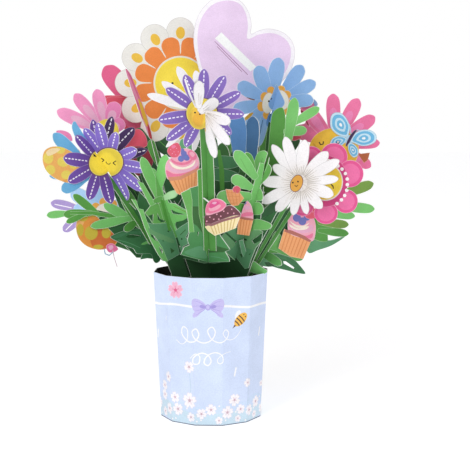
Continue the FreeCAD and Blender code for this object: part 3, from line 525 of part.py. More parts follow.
CARDS["leaf_front_a"] = ('AF', 0.4, [
    ('p', ((-42.3,101.9),(-36.4,104.9),(-33.5,97.1),(-31.6,87.3),(-28.0,75.9),(-31.9,76.1),(-33.5,82.8),(-36.4,90.8))),
    ('p', ((-37.1,104.9),(-30.6,106.6),(-27.3,93.6),(-26.7,87.0),(-21.6,75.5),(-17.2,64.4),(-13.1,54.5),(-20.0,56.6),(-27.6,59.0),(-34.8,61.3),(-33.2,66.2),(-29.9,67.3),(-31.9,70.8),(-31.6,76.1))),
    ('p', ((-33.8,116.2),(-28.1,118.6),(-20.7,86.7),(-16.4,69.8),(-12.9,54.5),(-16.7,61.6),(-21.9,75.5),(-27.2,87.7))),
    ('h', ((-26.1,76.0),(-24.7,76.1),(-24.9,73.1))),
])
CARDS["leaf_front_b"] = ('BF', 0.4, [
    ('p', ((28.5,117.4),(29.8,111.1),(26.6,93.6),(24.6,80.3),(27.3,73.2),(30.0,68.7),(32.2,64.9),(28.1,62.9),(30.0,58.7),(29.7,56.2),(21.1,55.3),(13.0,54.5),(19.7,83.3))),
])
CARDS["leaf_stem_right"] = ('BB', 0.4, [
    ('p', ((27.3,80.0),(30.8,84.8),(40.9,88.0),(36.8,75.9),(30.4,62.3),(24.2,50.6),(20.6,51.0),(24.4,65.8))),
    ('p', ((40.4,85.8),(32.9,68.3),(25.9,55.3),(28.3,54.2),(35.3,67.3),(42.6,84.9))),
    ('c', ((23.1,58.0),(26.7,55.7),(30.9,53.2),(34.7,51.4),(38.5,50.1),(41.1,49.8),(43.4,50.8),(42.7,53.1),(40.8,54.7),(37.3,56.5),(33.3,58.0),(28.5,59.3),(24.3,60.3))),
    ('c', ((26.8,63.0),(27.8,66.9),(28.6,71.2),(28.9,75.1),(28.5,79.0),(27.5,81.4),(24.9,83.2),(22.4,81.9),(21.4,79.8),(21.0,76.0),(21.3,72.0),(22.2,67.4),(23.3,63.4))),
])
CARDS["leaf_spray_right"] = ('AF', 0.4, [
    ('c', ((65.6,75.9),(70.9,74.4),(76.8,73.0),(82.1,72.0),(87.1,71.7),(90.0,72.2),(91.6,74.1),(89.2,76.4),(86.0,77.6),(80.9,78.6),(75.8,79.0),(70.1,78.9),(65.1,78.8))),
    ('c', ((67.1,70.1),(72.4,68.6),(78.4,66.9),(83.7,65.9),(88.8,65.4),(91.7,65.7),(93.5,67.4),(91.1,69.7),(88.0,71.0),(82.8,72.1),(77.6,72.6),(71.8,72.8),(66.7,72.9))),
    ('c', ((78.1,93.5),(84.1,94.2),(90.9,95.2),(96.5,96.5),(101.6,98.4),(104.0,100.4),(104.4,103.4),(100.5,105.2),(96.7,105.2),(91.2,104.0),(85.9,102.1),(80.5,99.4),(75.8,96.9))),
    ('c', ((79.2,86.3),(85.6,84.7),(92.9,83.0),(99.3,82.0),(105.4,81.6),(109.0,82.2),(111.0,84.4),(108.0,87.1),(104.0,88.5),(97.8,89.6),(91.5,90.0),(84.6,90.0),(78.6,89.7))),
    ('c', ((67.0,82.9),(72.6,81.3),(79.1,79.6),(84.8,78.5),(90.3,77.9),(93.5,78.3),(95.4,80.0),(92.9,82.5),(89.5,83.8),(83.9,84.9),(78.3,85.5),(72.1,85.7),(66.6,85.8))),
    ('c', ((65.4,81.8),(69.5,83.8),(74.0,86.2),(77.6,88.7),(80.5,91.6),(81.5,93.9),(80.6,96.8),(77.1,97.6),(74.4,96.8),(70.8,94.5),(67.8,91.5),(64.8,87.8),(62.4,84.4))),
    ('c', ((57.4,70.7),(62.2,83.2),(73.8,82.6),(80.4,76.5),(75.7,69.5),(76.6,62.9),(67.2,64.3))),
    ('c', ((60.0,60.4),(65.3,65.1),(79.0,63.5),(91.0,65.7),(81.7,59.7),(70.8,56.8),(63.8,55.1))),
    ('p', ((72.4,86.4),(50.5,70.9),(30.6,61.1),(20.4,51.5),(26.2,46.2),(36.5,54.8),(56.0,65.2),(77.7,81.5))),
    ('c', ((29.9,66.7),(33.1,72.8),(39.1,67.5),(42.8,58.8),(50.4,53.9),(59.5,51.2),(55.4,49.9),(45.6,53.8),(36.7,58.1),(30.1,61.1))),
])
CARDS["leaf_foot_light"] = ('Hf', 0, [
    ('c', ((23.0,49.8),(25.2,53.6),(28.3,52.9),(32.7,49.2),(36.1,46.6),(33.3,44.2),(28.9,44.7),(24.8,46.4))),
    ('p', ((26.8,53.6),(22.9,60.0),(20.9,67.8),(18.5,67.1),(20.0,58.7),(23.6,51.5))),
    ('h', ((21.23,55.65),(21.32,55.43),(21.65,54.76),(21.91,54.24),(22.13,54.15),(22.34,54.24),(22.43,54.45),(24.1,58.52),(24.01,58.74),(23.73,59.21),(23.36,59.81),(23.15,59.89),(22.94,59.81))),
])
CARDS["leaf_foot_right"] = ('AF', 0.8, [
    ('c', ((27.2,54.4),(30.4,57.0),(36.6,57.3),(45.1,54.8),(51.3,52.2),(56.9,47.8),(64.3,40.4),(57.3,41.3),(49.5,43.6),(39.2,46.6),(31.3,49.8))),
    ('c', ((22.3,51.9),(23.9,56.8),(29.8,56.3),(37.5,53.6),(40.1,49.1),(34.2,47.8),(26.8,49.1))),
    ('h', ((43.6,51.0),(45.7,50.8),(54.0,45.5),(53.7,44.5),(44.4,49.3))),
])
CARDS["leaf_spray_left"] = ('AB', 0.8, [
    ('c', ((-63.9,84.4),(-66.5,87.8),(-69.6,91.5),(-72.6,94.6),(-75.8,97.2),(-78.2,98.3),(-80.7,98.1),(-80.9,95.6),(-79.7,93.5),(-76.9,90.5),(-73.6,87.7),(-69.5,84.9),(-65.8,82.5))),
    ('c', ((-84.7,87.5),(-87.8,87.9),(-91.2,88.3),(-94.3,88.3),(-97.3,87.9),(-99.1,87.2),(-100.4,85.5),(-99.3,84.0),(-97.5,83.4),(-94.6,83.3),(-91.5,83.7),(-88.0,84.4),(-84.8,85.2))),
    ('c', ((-69.8,87.0),(-73.6,87.8),(-78.0,88.4),(-81.8,88.6),(-85.5,88.3),(-87.8,87.5),(-89.5,85.6),(-88.3,83.7),(-86.1,82.9),(-82.5,82.6),(-78.6,82.8),(-74.1,83.5),(-70.1,84.3))),
    ('c', ((-74.4,86.1),(-77.4,85.6),(-80.7,85.0),(-83.5,84.2),(-86.2,83.1),(-87.6,82.0),(-88.4,80.5),(-87.0,79.6),(-85.2,79.6),(-82.5,80.3),(-79.7,81.4),(-76.6,82.9),(-73.9,84.3))),
    ('p', ((-84.9,85.4),(-70.3,84.4),(-46.7,78.7),(-36.3,72.0),(-25.3,57.0),(-19.6,47.7),(-14.3,50.4),(-19.6,60.4),(-31.9,75.9),(-44.9,82.4),(-69.6,86.9),(-84.6,87.3))),
    ('c', ((-40.9,79.6),(-44.1,82.8),(-47.9,86.3),(-51.6,89.0),(-55.4,91.1),(-58.2,91.9),(-61.1,91.1),(-61.1,88.4),(-59.5,86.3),(-56.1,83.6),(-52.2,81.3),(-47.4,79.0),(-43.0,77.1))),
    ('c', ((-42.9,82.4),(-48.9,82.4),(-55.6,82.1),(-61.5,81.6),(-67.1,80.5),(-70.4,79.3),(-72.5,77.1),(-70.2,75.4),(-66.8,75.1),(-61.3,75.5),(-55.4,76.5),(-48.8,78.1),(-42.8,79.7))),
    ('c', ((-35.9,76.3),(-36.4,81.8),(-37.1,87.9),(-38.3,93.2),(-40.4,97.8),(-42.6,100.3),(-46.3,101.1),(-48.8,98.0),(-49.1,94.6),(-48.0,89.6),(-46.0,84.7),(-43.1,79.4),(-40.3,74.7))),
    ('c', ((-39.4,80.5),(-42.0,79.7),(-44.8,78.7),(-47.2,77.5),(-49.1,76.1),(-50.0,74.7),(-50.0,72.9),(-48.3,72.0),(-46.7,72.2),(-44.4,73.2),(-42.3,74.7),(-40.1,76.7),(-38.2,78.5))),
])
CARDS["leaf_dark_left"] = ('AB', 0.4, [
    ('c', ((-60.1,69.3),(-56.4,71.4),(-50.5,73.0),(-44.0,73.8),(-38.3,73.8),(-33.5,72.1),(-31.2,65.3),(-27.6,53.8),(-30.4,50.7),(-32.7,51.9),(-33.9,56.6),(-39.2,57.3),(-43.7,57.8),(-45.6,61.0),(-48.9,62.5),(-54.6,65.7))),
    ('p', ((-42.0,53.8),(-39.9,57.3),(-33.9,58.9),(-31.6,55.4),(-33.1,53.6),(-36.9,54.2))),
    ('c', ((-53.8,60.5),(-50.6,61.0),(-46.7,59.1),(-42.9,56.9),(-48.6,56.2),(-52.5,58.2))),
    ('p', ((-35.6,59.9),(-25.7,51.4),(-17.5,45.0),(-14.1,47.8),(-20.8,55.7),(-30.9,64.4))),
    ('h', ((-49.3,69.3),(-46.8,70.2),(-43.2,70.1),(-38.7,68.9),(-43.6,68.1),(-47.6,68.3))),
])
CARDS["leaf_back_right"] = ('H02', 0, [
    ('c', ((51.0,125.7),(52.5,130.9),(54.1,136.8),(55.2,142.1),(55.6,147.2),(55.1,150.4),(53.0,152.9),(50.3,151.2),(48.8,148.3),(47.7,143.3),(47.0,138.0),(46.7,131.9),(46.5,126.4))),
    ('c', ((52.0,134.9),(55.8,136.4),(60.0,138.2),(63.5,140.1),(66.7,142.3),(68.2,144.1),(68.5,146.6),(66.2,147.4),(63.8,146.9),(60.4,145.2),(57.1,142.9),(53.5,140.1),(50.4,137.5))),
    ('c', ((46.3,129.6),(49.3,129.1),(52.6,128.7),(55.5,128.8),(58.2,129.3),(59.8,130.3),(60.7,132.4),(59.4,134.3),(57.7,135.0),(54.9,135.1),(52.0,134.6),(48.9,133.7),(46.0,132.7))),
    ('c', ((36.1,119.7),(37.3,133.7),(39.2,143.7),(45.5,146.3),(47.4,136.2),(46.2,126.1),(50.1,113.4),(43.8,94.4),(32.3,94.3),(33.6,110.2))),
    ('p', ((37.3,101.8),(26.2,73.0),(20.5,60.0),(23.9,58.3),(30.9,71.0),(42.6,99.7))),
    ('p', ((37.0,100.7),(10.5,30.0),(12.5,30.0),(40.4,100.7))),
])
CARDS["leaf_back_centre"] = ('BM', -0.36, [
    ('c', ((-4.3,115.2),(5.4,116.1),(14.9,115.6),(21.2,112.6),(22.7,106.5),(16.5,101.3),(16.5,79.3),(2.1,75.3),(-12.7,77.8),(-12.6,100.3),(-9.2,110.0))),
    ('c', ((26.7,114.2),(27.5,120.0),(28.1,126.5),(28.1,132.2),(27.0,137.7),(25.1,140.9),(20.8,142.9),(16.7,140.6),(15.2,137.2),(14.9,131.6),(15.6,125.8),(17.2,119.4),(18.8,113.6))),
    ('c', ((35.2,114.1),(36.3,119.5),(37.3,125.5),(37.7,130.8),(37.3,135.9),(36.0,138.9),(32.7,141.0),(29.2,139.1),(27.7,136.0),(27.1,130.9),(27.2,125.5),(27.9,119.5),(28.7,114.1))),
    ('c', ((-4.3,114.0),(8.6,116.4),(21.2,115.1),(23.5,110.8),(13.3,108.1),(2.1,109.7))),
    ('c', ((-4.3,107.0),(7.0,108.5),(19.6,106.4),(22.7,102.7),(11.7,99.9),(-1.1,102.0))),
    ('c', ((21.4,117.9),(23.7,119.9),(26.3,122.1),(28.3,124.3),(29.7,126.6),(30.0,128.2),(28.9,130.0),(26.3,130.2),(24.5,129.3),(22.5,127.3),(20.8,125.0),(19.2,122.2),(17.9,119.7))),
    ('p', ((-6.1,84.5),(18.0,85.7),(13.3,63.3),(6.9,48.8),(-3.7,47.9))),
    ('c', ((5.5,89.1),(3.7,96.1),(1.4,104.0),(-1.1,110.8),(-4.5,117.1),(-7.6,120.5),(-12.5,122.1),(-15.1,118.5),(-15.0,114.1),(-12.8,107.4),(-9.5,100.8),(-5.3,93.4),(-1.4,87.0))),
    ('c', ((15.3,91.4),(15.7,98.1),(16.0,105.6),(15.7,112.1),(14.5,118.4),(12.6,122.0),(8.6,124.3),(5.0,121.5),(3.8,117.5),(3.8,111.2),(4.8,104.6),(6.4,97.2),(8.1,90.7))),
    ('c', ((21.0,90.8),(23.7,96.7),(26.6,103.3),(28.7,109.2),(30.0,115.0),(29.8,118.6),(27.4,121.4),(23.5,119.7),(21.2,116.5),(18.9,110.9),(17.3,104.9),(16.0,98.0),(15.1,91.8))),
    ('c', ((6.6,88.6),(6.5,94.9),(6.2,102.0),(5.6,108.3),(4.2,114.2),(2.4,117.7),(-1.1,119.7),(-3.8,117.0),(-4.5,113.2),(-4.1,107.2),(-2.9,100.9),(-1.0,93.9),(0.8,87.8))),
])
CARDS["leaf_back_left"] = ('BM', -0.36, [
    ('c', ((-75.1,123.9),(-67.7,130.7),(-59.6,133.4),(-51.7,126.8),(-44.7,121.7),(-37.9,112.6),(-34.6,93.1),(-43.4,76.2),(-55.7,82.2),(-60.9,98.8),(-71.6,111.9))),
    ('c', ((-76.1,121.2),(-69.6,129.3),(-61.4,132.7),(-55.2,128.1),(-54.4,121.5),(-64.3,120.1))),
    ('c', ((-71.5,118.6),(-60.6,121.4),(-51.8,117.6),(-49.2,109.7),(-60.9,101.4),(-68.1,106.6))),
    ('c', ((-33.9,103.1),(-35.9,108.1),(-38.4,113.7),(-41.1,118.4),(-44.5,122.7),(-47.5,124.9),(-51.7,125.5),(-53.6,122.6),(-53.0,119.4),(-50.5,114.7),(-47.1,110.2),(-42.7,105.4),(-38.6,101.2))),
])
CARDS["cupcake_left"] = ('BF', 0.8, [
    ('p', ((-2.8,108.8),(23.1,117.4),(23.0,114.2),(16.8,103.0),(2.9,99.5),(0.8,100.4))),
    ('c', ((-4.2,110.7),(-3.7,116.6),(-0.8,121.3),(3.4,123.9),(6.3,127.4),(11.4,129.2),(17.7,129.7),(22.1,127.8),(24.2,123.7),(23.7,119.3),(21.2,115.8),(13.8,112.9),(4.3,109.7),(-2.3,109.1))),
    ('c', ((1.2,127.7),(5.1,131.6),(11.1,133.3),(12.6,129.2),(8.9,124.4),(3.7,123.9))),
    ('c', ((13.1,125.9),(14.8,127.8),(16.5,129.9),(17.6,131.9),(18.1,133.8),(17.9,134.9),(16.4,135.9),(14.3,135.3),(13.1,134.2),(12.0,132.4),(11.4,130.4),(11.2,128.1),(11.1,126.1))),
    ('c', ((17.6,127.0),(19.7,128.1),(21.9,129.4),(23.7,130.7),(25.0,132.1),(25.5,133.2),(25.2,134.4),(23.6,134.6),(22.3,134.0),(20.6,132.8),(19.1,131.3),(17.7,129.5),(16.6,127.8))),
])
CARDS["cupcake_centre"] = ('Hb', 0, [
    ('p', ((12.8,82.8),(20.1,87.2),(34.7,91.6),(40.5,90.5),(35.1,81.2),(29.2,78.8),(19.5,75.2),(15.6,78.1))),
    ('c', ((13.9,84.2),(16.5,89.8),(22.4,91.4),(28.5,94.3),(34.4,96.6),(38.0,94.7),(40.5,90.5),(35.6,89.6),(26.8,86.5),(19.2,83.4),(14.6,81.5))),
    ('c', ((16.6,91.8),(19.3,97.3),(24.4,100.5),(29.7,99.7),(32.0,96.5),(28.2,93.0),(20.8,90.3),(17.1,89.1))),
    ('p', ((14.1,100.5),(17.4,100.3),(20.1,97.7),(20.8,98.4),(17.8,100.9),(14.4,101.1))),
    ('h', ((13.03,81.91),(13.12,81.7),(13.64,80.82),(13.85,80.73),(14.07,80.82),(14.15,81.03),(15.08,87.04),(14.99,87.25),(14.78,87.34),(14.57,87.25),(14.48,87.04),(13.24,83.24))),
    ('h', ((16.09,100.36),(16.18,100.15),(16.39,100.06),(16.82,100.03),(17.04,100.12),(17.12,100.33),(17.22,100.95),(17.13,101.16),(16.92,101.25),(16.52,101.27),(16.31,101.19),(16.22,100.97),(16.14,100.64))),
    ('h', ((12.5,82.8),(12.59,82.59),(12.87,82.11),(13.08,82.03),(13.3,82.11),(13.38,82.33),(13.49,83.04),(13.4,83.25),(13.19,83.34),(12.98,83.25),(12.59,83.01))),
    ('h', ((14.91,100.43),(15.0,100.22),(15.21,100.13),(15.86,100.09),(16.07,100.18),(16.16,100.39),(16.26,101.01),(16.17,101.22),(15.96,101.31),(15.3,101.35),(15.09,101.26),(15.0,101.05))),
    ('h', ((12.64,82.56),(12.73,82.34),(13.07,81.78),(13.26,81.47),(13.47,81.38),(13.68,81.47),(13.77,81.68),(14.03,83.36),(13.94,83.57),(13.73,83.66),(13.51,83.57),(13.05,83.29),(12.79,83.13),(12.7,82.92))),
    ('h', ((15.39,100.4),(15.48,100.19),(15.69,100.1),(16.34,100.06),(16.55,100.15),(16.64,100.36),(16.74,100.98),(16.65,101.19),(16.44,101.28),(15.78,101.32),(15.57,101.23),(15.48,101.02))),
])
CARDS["cone_small"] = ('AF', 0.8, [
    ('p', ((-11.6,103.5),(-2.4,102.5),(3.0,97.0),(-0.2,92.5),(-4.5,92.0),(-9.1,96.9))),
    ('c', ((-0.6,102.8),(-1.1,101.0),(-3.0,100.3),(-5.2,101.1),(-6.5,103.0),(-6.0,104.8),(-4.1,105.5),(-1.9,104.7))),
])
CARDS["cupcake_half"] = ('Hd', 0, [
    ('p', ((18.2,83.1),(27.5,81.5),(24.9,70.2),(17.2,71.2))),
    ('c', ((19.8,82.4),(21.1,88.4),(23.5,92.9),(26.0,90.3),(27.2,85.1),(26.9,81.1),(22.8,80.8))),
])
CARDS["cupcake_right"] = ('AF', 1.2, [
    ('p', ((38.4,74.6),(62.4,64.6),(59.3,51.6),(48.2,54.1),(37.0,61.0))),
    ('c', ((40.2,78.4),(40.2,83.2),(45.1,85.4),(54.7,85.3),(60.8,80.1),(64.2,72.0),(63.4,64.2),(52.9,67.3),(43.2,71.2))),
    ('c', ((51.0,85.5),(54.7,89.8),(61.4,85.7),(61.1,80.8),(54.6,81.1))),
    ('p', ((42.4,91.8),(46.7,90.2),(48.9,88.0),(49.7,92.2),(52.0,88.2),(51.5,84.1),(47.1,83.9))),
])
CARDS["petal_white_centre"] = ('AF', 1.2, [
    ('c', ((-39.4,154.7),(-39.0,157.9),(-38.8,161.5),(-39.1,164.8),(-40.0,167.8),(-41.2,169.7),(-43.7,170.9),(-45.7,169.7),(-46.4,167.8),(-46.2,164.8),(-45.4,161.6),(-43.9,158.0),(-42.4,154.7))),
    ('c', ((-38.6,151.1),(-35.6,151.8),(-32.4,152.8),(-30.0,154.2),(-28.3,155.9),(-27.9,157.5),(-28.9,159.8),(-31.5,161.1),(-33.4,160.9),(-35.6,159.8),(-37.5,158.0),(-39.2,155.4),(-40.5,153.0))),
    ('c', ((-38.3,153.7),(-38.4,153.0),(-38.9,152.5),(-39.6,152.3),(-40.5,152.5),(-41.1,153.0),(-41.5,153.7),(-41.4,154.4),(-41.0,155.0),(-40.2,155.2),(-39.4,155.0),(-38.7,154.5))),
])

# Middle, hub, lobe size and reach of the round flower
HUB_CENTRE = (-23.5, 171.3)
HUB_RADIUS = 31.1
LOBE_RADIUS = 9.6
LOBE_REACH = 35.9

# Notches that let other cards pass
NOTCH = {
    "lattice_b_back": [[(4.34, 100.41), (4.43, 100.2), (4.64, 100.11), (4.85, 100.2), (5.5, 100.48), (6.04, 100.84), (6.13, 101.05), (6.66, 111.36), (6.57, 111.57), (6.36, 111.66), (6.14, 111.57), (4.93, 110.45), (4.84, 110.24)]],
    "lattice_b_mid": [[(26.69, 52.56), (26.86, 51.92), (26.94, 51.71), (27.27, 51.11), (27.48, 51.02), (27.69, 51.11), (29.77, 55.09), (29.86, 55.3), (29.66, 55.88), (29.57, 56.09), (29.22, 56.64), (29.01, 56.72), (28.8, 56.64), (26.78, 52.78)]],
}

# Low lattice cards: the outline as (distance along, height above the apex); along
# is in units of the height, so that the card widens with its plane.
TOP = [(0.62, 62), (0.60, 84), (0.50, 78), (0.42, 98), (0.33, 82), (0.20, 94), (0.10, 82), (0.0, 100), (-0.10, 82), (-0.20, 94), (-0.33, 82), (-0.42, 98), (-0.50, 78), (-0.60, 84), (-0.62, 62)]
TOP_AB = [(0.62, 62), (0.60, 88), (0.50, 92), (0.42, 108), (0.33, 94), (0.20, 106), (0.10, 100), (0.0, 114), (-0.10, 82), (-0.20, 94), (-0.33, 82), (-0.42, 98), (-0.50, 78), (-0.60, 84), (-0.62, 62)]
TOP_BB = [(0.62, 54), (0.40, 60), (0.34, 56), (0.30, 66), (0.24, 60), (0.17, 74), (0.10, 70), (0.0, 112), (-0.10, 102), (-0.20, 112), (-0.33, 94), (-0.42, 104), (-0.50, 82), (-0.60, 84), (-0.62, 62)]
OUTER = [(-0.60, 52), (-0.30, 50), (0.0, 52), (0.30, 50), (0.60, 52)]


def lattice_outline(name, left, right, outer=True):
    plane = PLANES[name]
    gx, gy, deg = plane
    t = math.radians(deg)
    pts = []
    top = {"AB": TOP_AB, "BB": TOP_BB}.get(name, TOP)
    source = (OUTER + top) if outer else top
    for s, h in source:
        if s > 0.55:
            s = right
        elif s < -0.55:
            s = -left
        pts.append(local(plane, gx + s * math.cos(t), gy + s * math.sin(t), h))
    if not outer:
        w, f = cell("cross_half_width"), cell("cross_foot_half_width")
        z = cell("apex_height")
        pts += [(-w - 3, 50.0), (-w, cell("pot_height") - z), (-f, 1.0 - z), (f, 1.0 - z), (w, cell("pot_height") - z), (w + 3, 50.0)]
    return pts


LATTICE = {
    "lattice_a_front": ("AF", 0.52, 0.70, True),
    "lattice_a_mid": ("AM", 0.62, 0.62, False),
    "lattice_a_back": ("AB", 0.72, 0.55, True),
    "lattice_b_front": ("BF", 0.80, 0.50, True),
    "lattice_b_mid": ("BM", 0.62, 0.62, False),
    "lattice_b_back": ("BB", 0.55, 0.44, True),
}
for name, (plane_name, left, right, outer) in LATTICE.items():
    CARDS[name] = (plane_name, 0.0, [("p", lattice_outline(plane_name, left, right, outer))] + [("h", q) for q in NOTCH.get(name, [])])

# How far in front of and behind its plane the cards of each direction reach
spans = {}
for plane_name in FAMILY:
    offs = [c[1] for c in CARDS.values() if c[0] == plane_name]
    spans[plane_name] = (min(offs), max(offs) + cell("card_t"))

for name, (plane_name, off, shapes) in CARDS.items():
    plane = PLANES[plane_name]
    b = body(name, placement(plane, off))
    floor = None
    if plane_name in FAMILY and not name.startswith("lattice"):
        floor = 36.0 if name == "leaf_foot_right" else 44.5 if name.startswith(("leaf", "frond", "sprig", "cupcake", "balloon")) else cell("half_lap") + 3
    if name == "bloom_orange":
        # ring of round lobes patterned about the flower's middle
        (cx, cy), rr, lr, ls = HUB_CENTRE, HUB_RADIUS, LOBE_RADIUS, LOBE_REACH
        b.Placement = placement(plane, off).multiply(FreeCAD.Placement(FreeCAD.Vector(cx, cy, 0), FreeCAD.Rotation()))
        sk = sketch(b, "hub_outline")
        sk.addGeometry(Part.Circle(FreeCAD.Vector(0, 0, 0), FreeCAD.Vector(0, 0, 1), rr), False)
        pad(b, sk, "hub", "card_t")
        sk = sketch(b, "lobe_outline")
        sk.addGeometry(Part.Circle(FreeCAD.Vector(0, ls, 0), FreeCAD.Vector(0, 0, 1), lr), False)
        lobe = pad(b, sk, "lobe", "card_t")
        pol = b.newObject("PartDesign::PolarPattern", "lobe_ring")
        pol.Originals = [lobe]
        axis = [f for f in b.Origin.OriginFeatures if f.Role == "Z_Axis"][0]
        pol.Axis = (axis, [""])
        pol.Angle = 360
        pol.setExpression("Occurrences", "Sizes.lobes")
        b.Tip = pol
        sk = sketch(b, "stem_outline")
        shift = FreeCAD.Vector(-cx, -cy, 0)
        add_loops(sk, [[p + shift for p in loop] for loop in union_loops(shapes[13:], None, [])])
        pad(b, sk, "stem_and_leaves", "card_t")
        continue
    loops = union_loops(shapes, floor, slots(plane_name, off, spans))
    sk = sketch(b, name + "_outline")
    add_loops(sk, loops)
    pad(b, sk, name + "_card", "card_t")

# ---------------------------------------------------------------- pot
def ring(radius, turn=15.0):
    n = int(cell("facets"))
    return [(radius * math.sin(math.radians(turn + 360.0 / n * i)), -radius * math.cos(math.radians(turn + 360.0 / n * i))) for i in range(n)]


wall = body("pot_wall", FreeCAD.Placement())
t = cell("pot_wall_t") / math.cos(math.radians(15))


def ring_sketch(b, name, radius, z_cell):
    s = sketch(b, name)
    if z_cell:
        s.setExpression("AttachmentOffset.Base.z", "Sizes." + z_cell)
    pts = ring(radius)
    s.addGeometry([Part.LineSegment(FreeCAD.Vector(*p, 0), FreeCAD.Vector(*pts[(i + 1) % len(pts)], 0)) for i, p in enumerate(pts)], False)
    return s


low = ring_sketch(wall, "foot_outline", cell("foot_radius"), None)
high = ring_sketch(wall, "rim_outline", cell("rim_radius"), "pot_height")
outer = wall.newObject("PartDesign::AdditiveLoft", "outside")
outer.Profile = low
outer.Sections = [high]
outer.Ruled = True
low2 = ring_sketch(wall, "foot_inside", cell("foot_radius") - t, None)
high2 = ring_sketch(wall, "rim_inside", cell("rim_radius") - t, "pot_height")
inner = wall.newObject("PartDesign::SubtractiveLoft", "inside")
inner.Profile = low2
inner.Sections = [high2]
inner.Ruled = True

base = body("base_panel", FreeCAD.Placement())
bs = ring_sketch(base, "base_outline", cell("foot_radius") - t - 0.02, None)
pad(base, bs, "base_card", "base_t")

doc.recompute()
bad = [o.Name for o in doc.Objects if "Invalid" in o.State or "Error" in o.State]
if bad:
    raise RuntimeError("not built: %s" % bad)
os.makedirs("parts", exist_ok=True)
for b in bodies:
    s = b.Shape
    if s.isNull() or not s.isValid() or s.Volume <= 0:
        raise RuntimeError("bad shape: %s" % b.Label)
    if b.Label == "pot_wall" and s.Volume > 15000:
        raise RuntimeError("the pot is not hollow")
    s.exportStep("parts/%s.step" % b.Label)
    bb = s.BoundBox
    print("%-24s solids %d vol %8.1f x %7.1f %7.1f y %7.1f %7.1f z %7.1f %7.1f" % (b.Label, len(s.Solids), s.Volume, bb.XMin, bb.XMax, bb.YMin, bb.YMax, bb.ZMin, bb.ZMax))
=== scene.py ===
import math

import bpy
from mathutils import Vector, Matrix, noise
from mathutils.geometry import delaunay_2d_cdt


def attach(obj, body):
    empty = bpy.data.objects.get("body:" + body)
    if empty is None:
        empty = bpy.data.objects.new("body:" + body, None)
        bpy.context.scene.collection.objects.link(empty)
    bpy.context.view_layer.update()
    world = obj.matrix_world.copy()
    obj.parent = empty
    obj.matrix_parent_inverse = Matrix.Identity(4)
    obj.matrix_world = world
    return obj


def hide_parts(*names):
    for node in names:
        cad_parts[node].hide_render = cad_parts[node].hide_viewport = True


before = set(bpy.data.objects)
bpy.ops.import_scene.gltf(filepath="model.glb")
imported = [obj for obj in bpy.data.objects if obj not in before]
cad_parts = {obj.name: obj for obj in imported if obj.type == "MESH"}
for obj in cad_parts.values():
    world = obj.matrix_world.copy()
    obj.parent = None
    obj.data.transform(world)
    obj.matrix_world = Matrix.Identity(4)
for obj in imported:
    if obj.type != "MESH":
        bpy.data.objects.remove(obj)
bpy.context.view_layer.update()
scene = bpy.context.scene

# ------------------------------------------------------------------ camera
cam_data = bpy.data.cameras.new("camera")
cam_data.sensor_width = 36.0
cam_data.lens = 82.7
cam = bpy.data.objects.new("camera", cam_data)
scene.collection.objects.link(cam)
YAW, PITCH = math.radians(-2.13), math.radians(6.0)
cam.location = (0.0407, -0.6846, 0.1877)
fwd = Vector((math.sin(YAW) * math.cos(PITCH), math.cos(YAW) * math.cos(PITCH), -math.sin(PITCH)))
cam.rotation_mode = "QUATERNION"
cam.rotation_quaternion = fwd.to_track_quat("-Z", "Y")
scene.camera = cam


# ------------------------------------------------------------------ colours
def lin(c):
    c = c / 255.0
    return c / 12.92 if c <= 0.04045 else ((c + 0.055) / 1.055) ** 2.4


def rgb(r, g, b):
    return (lin(r), lin(g), lin(b), 1.0)


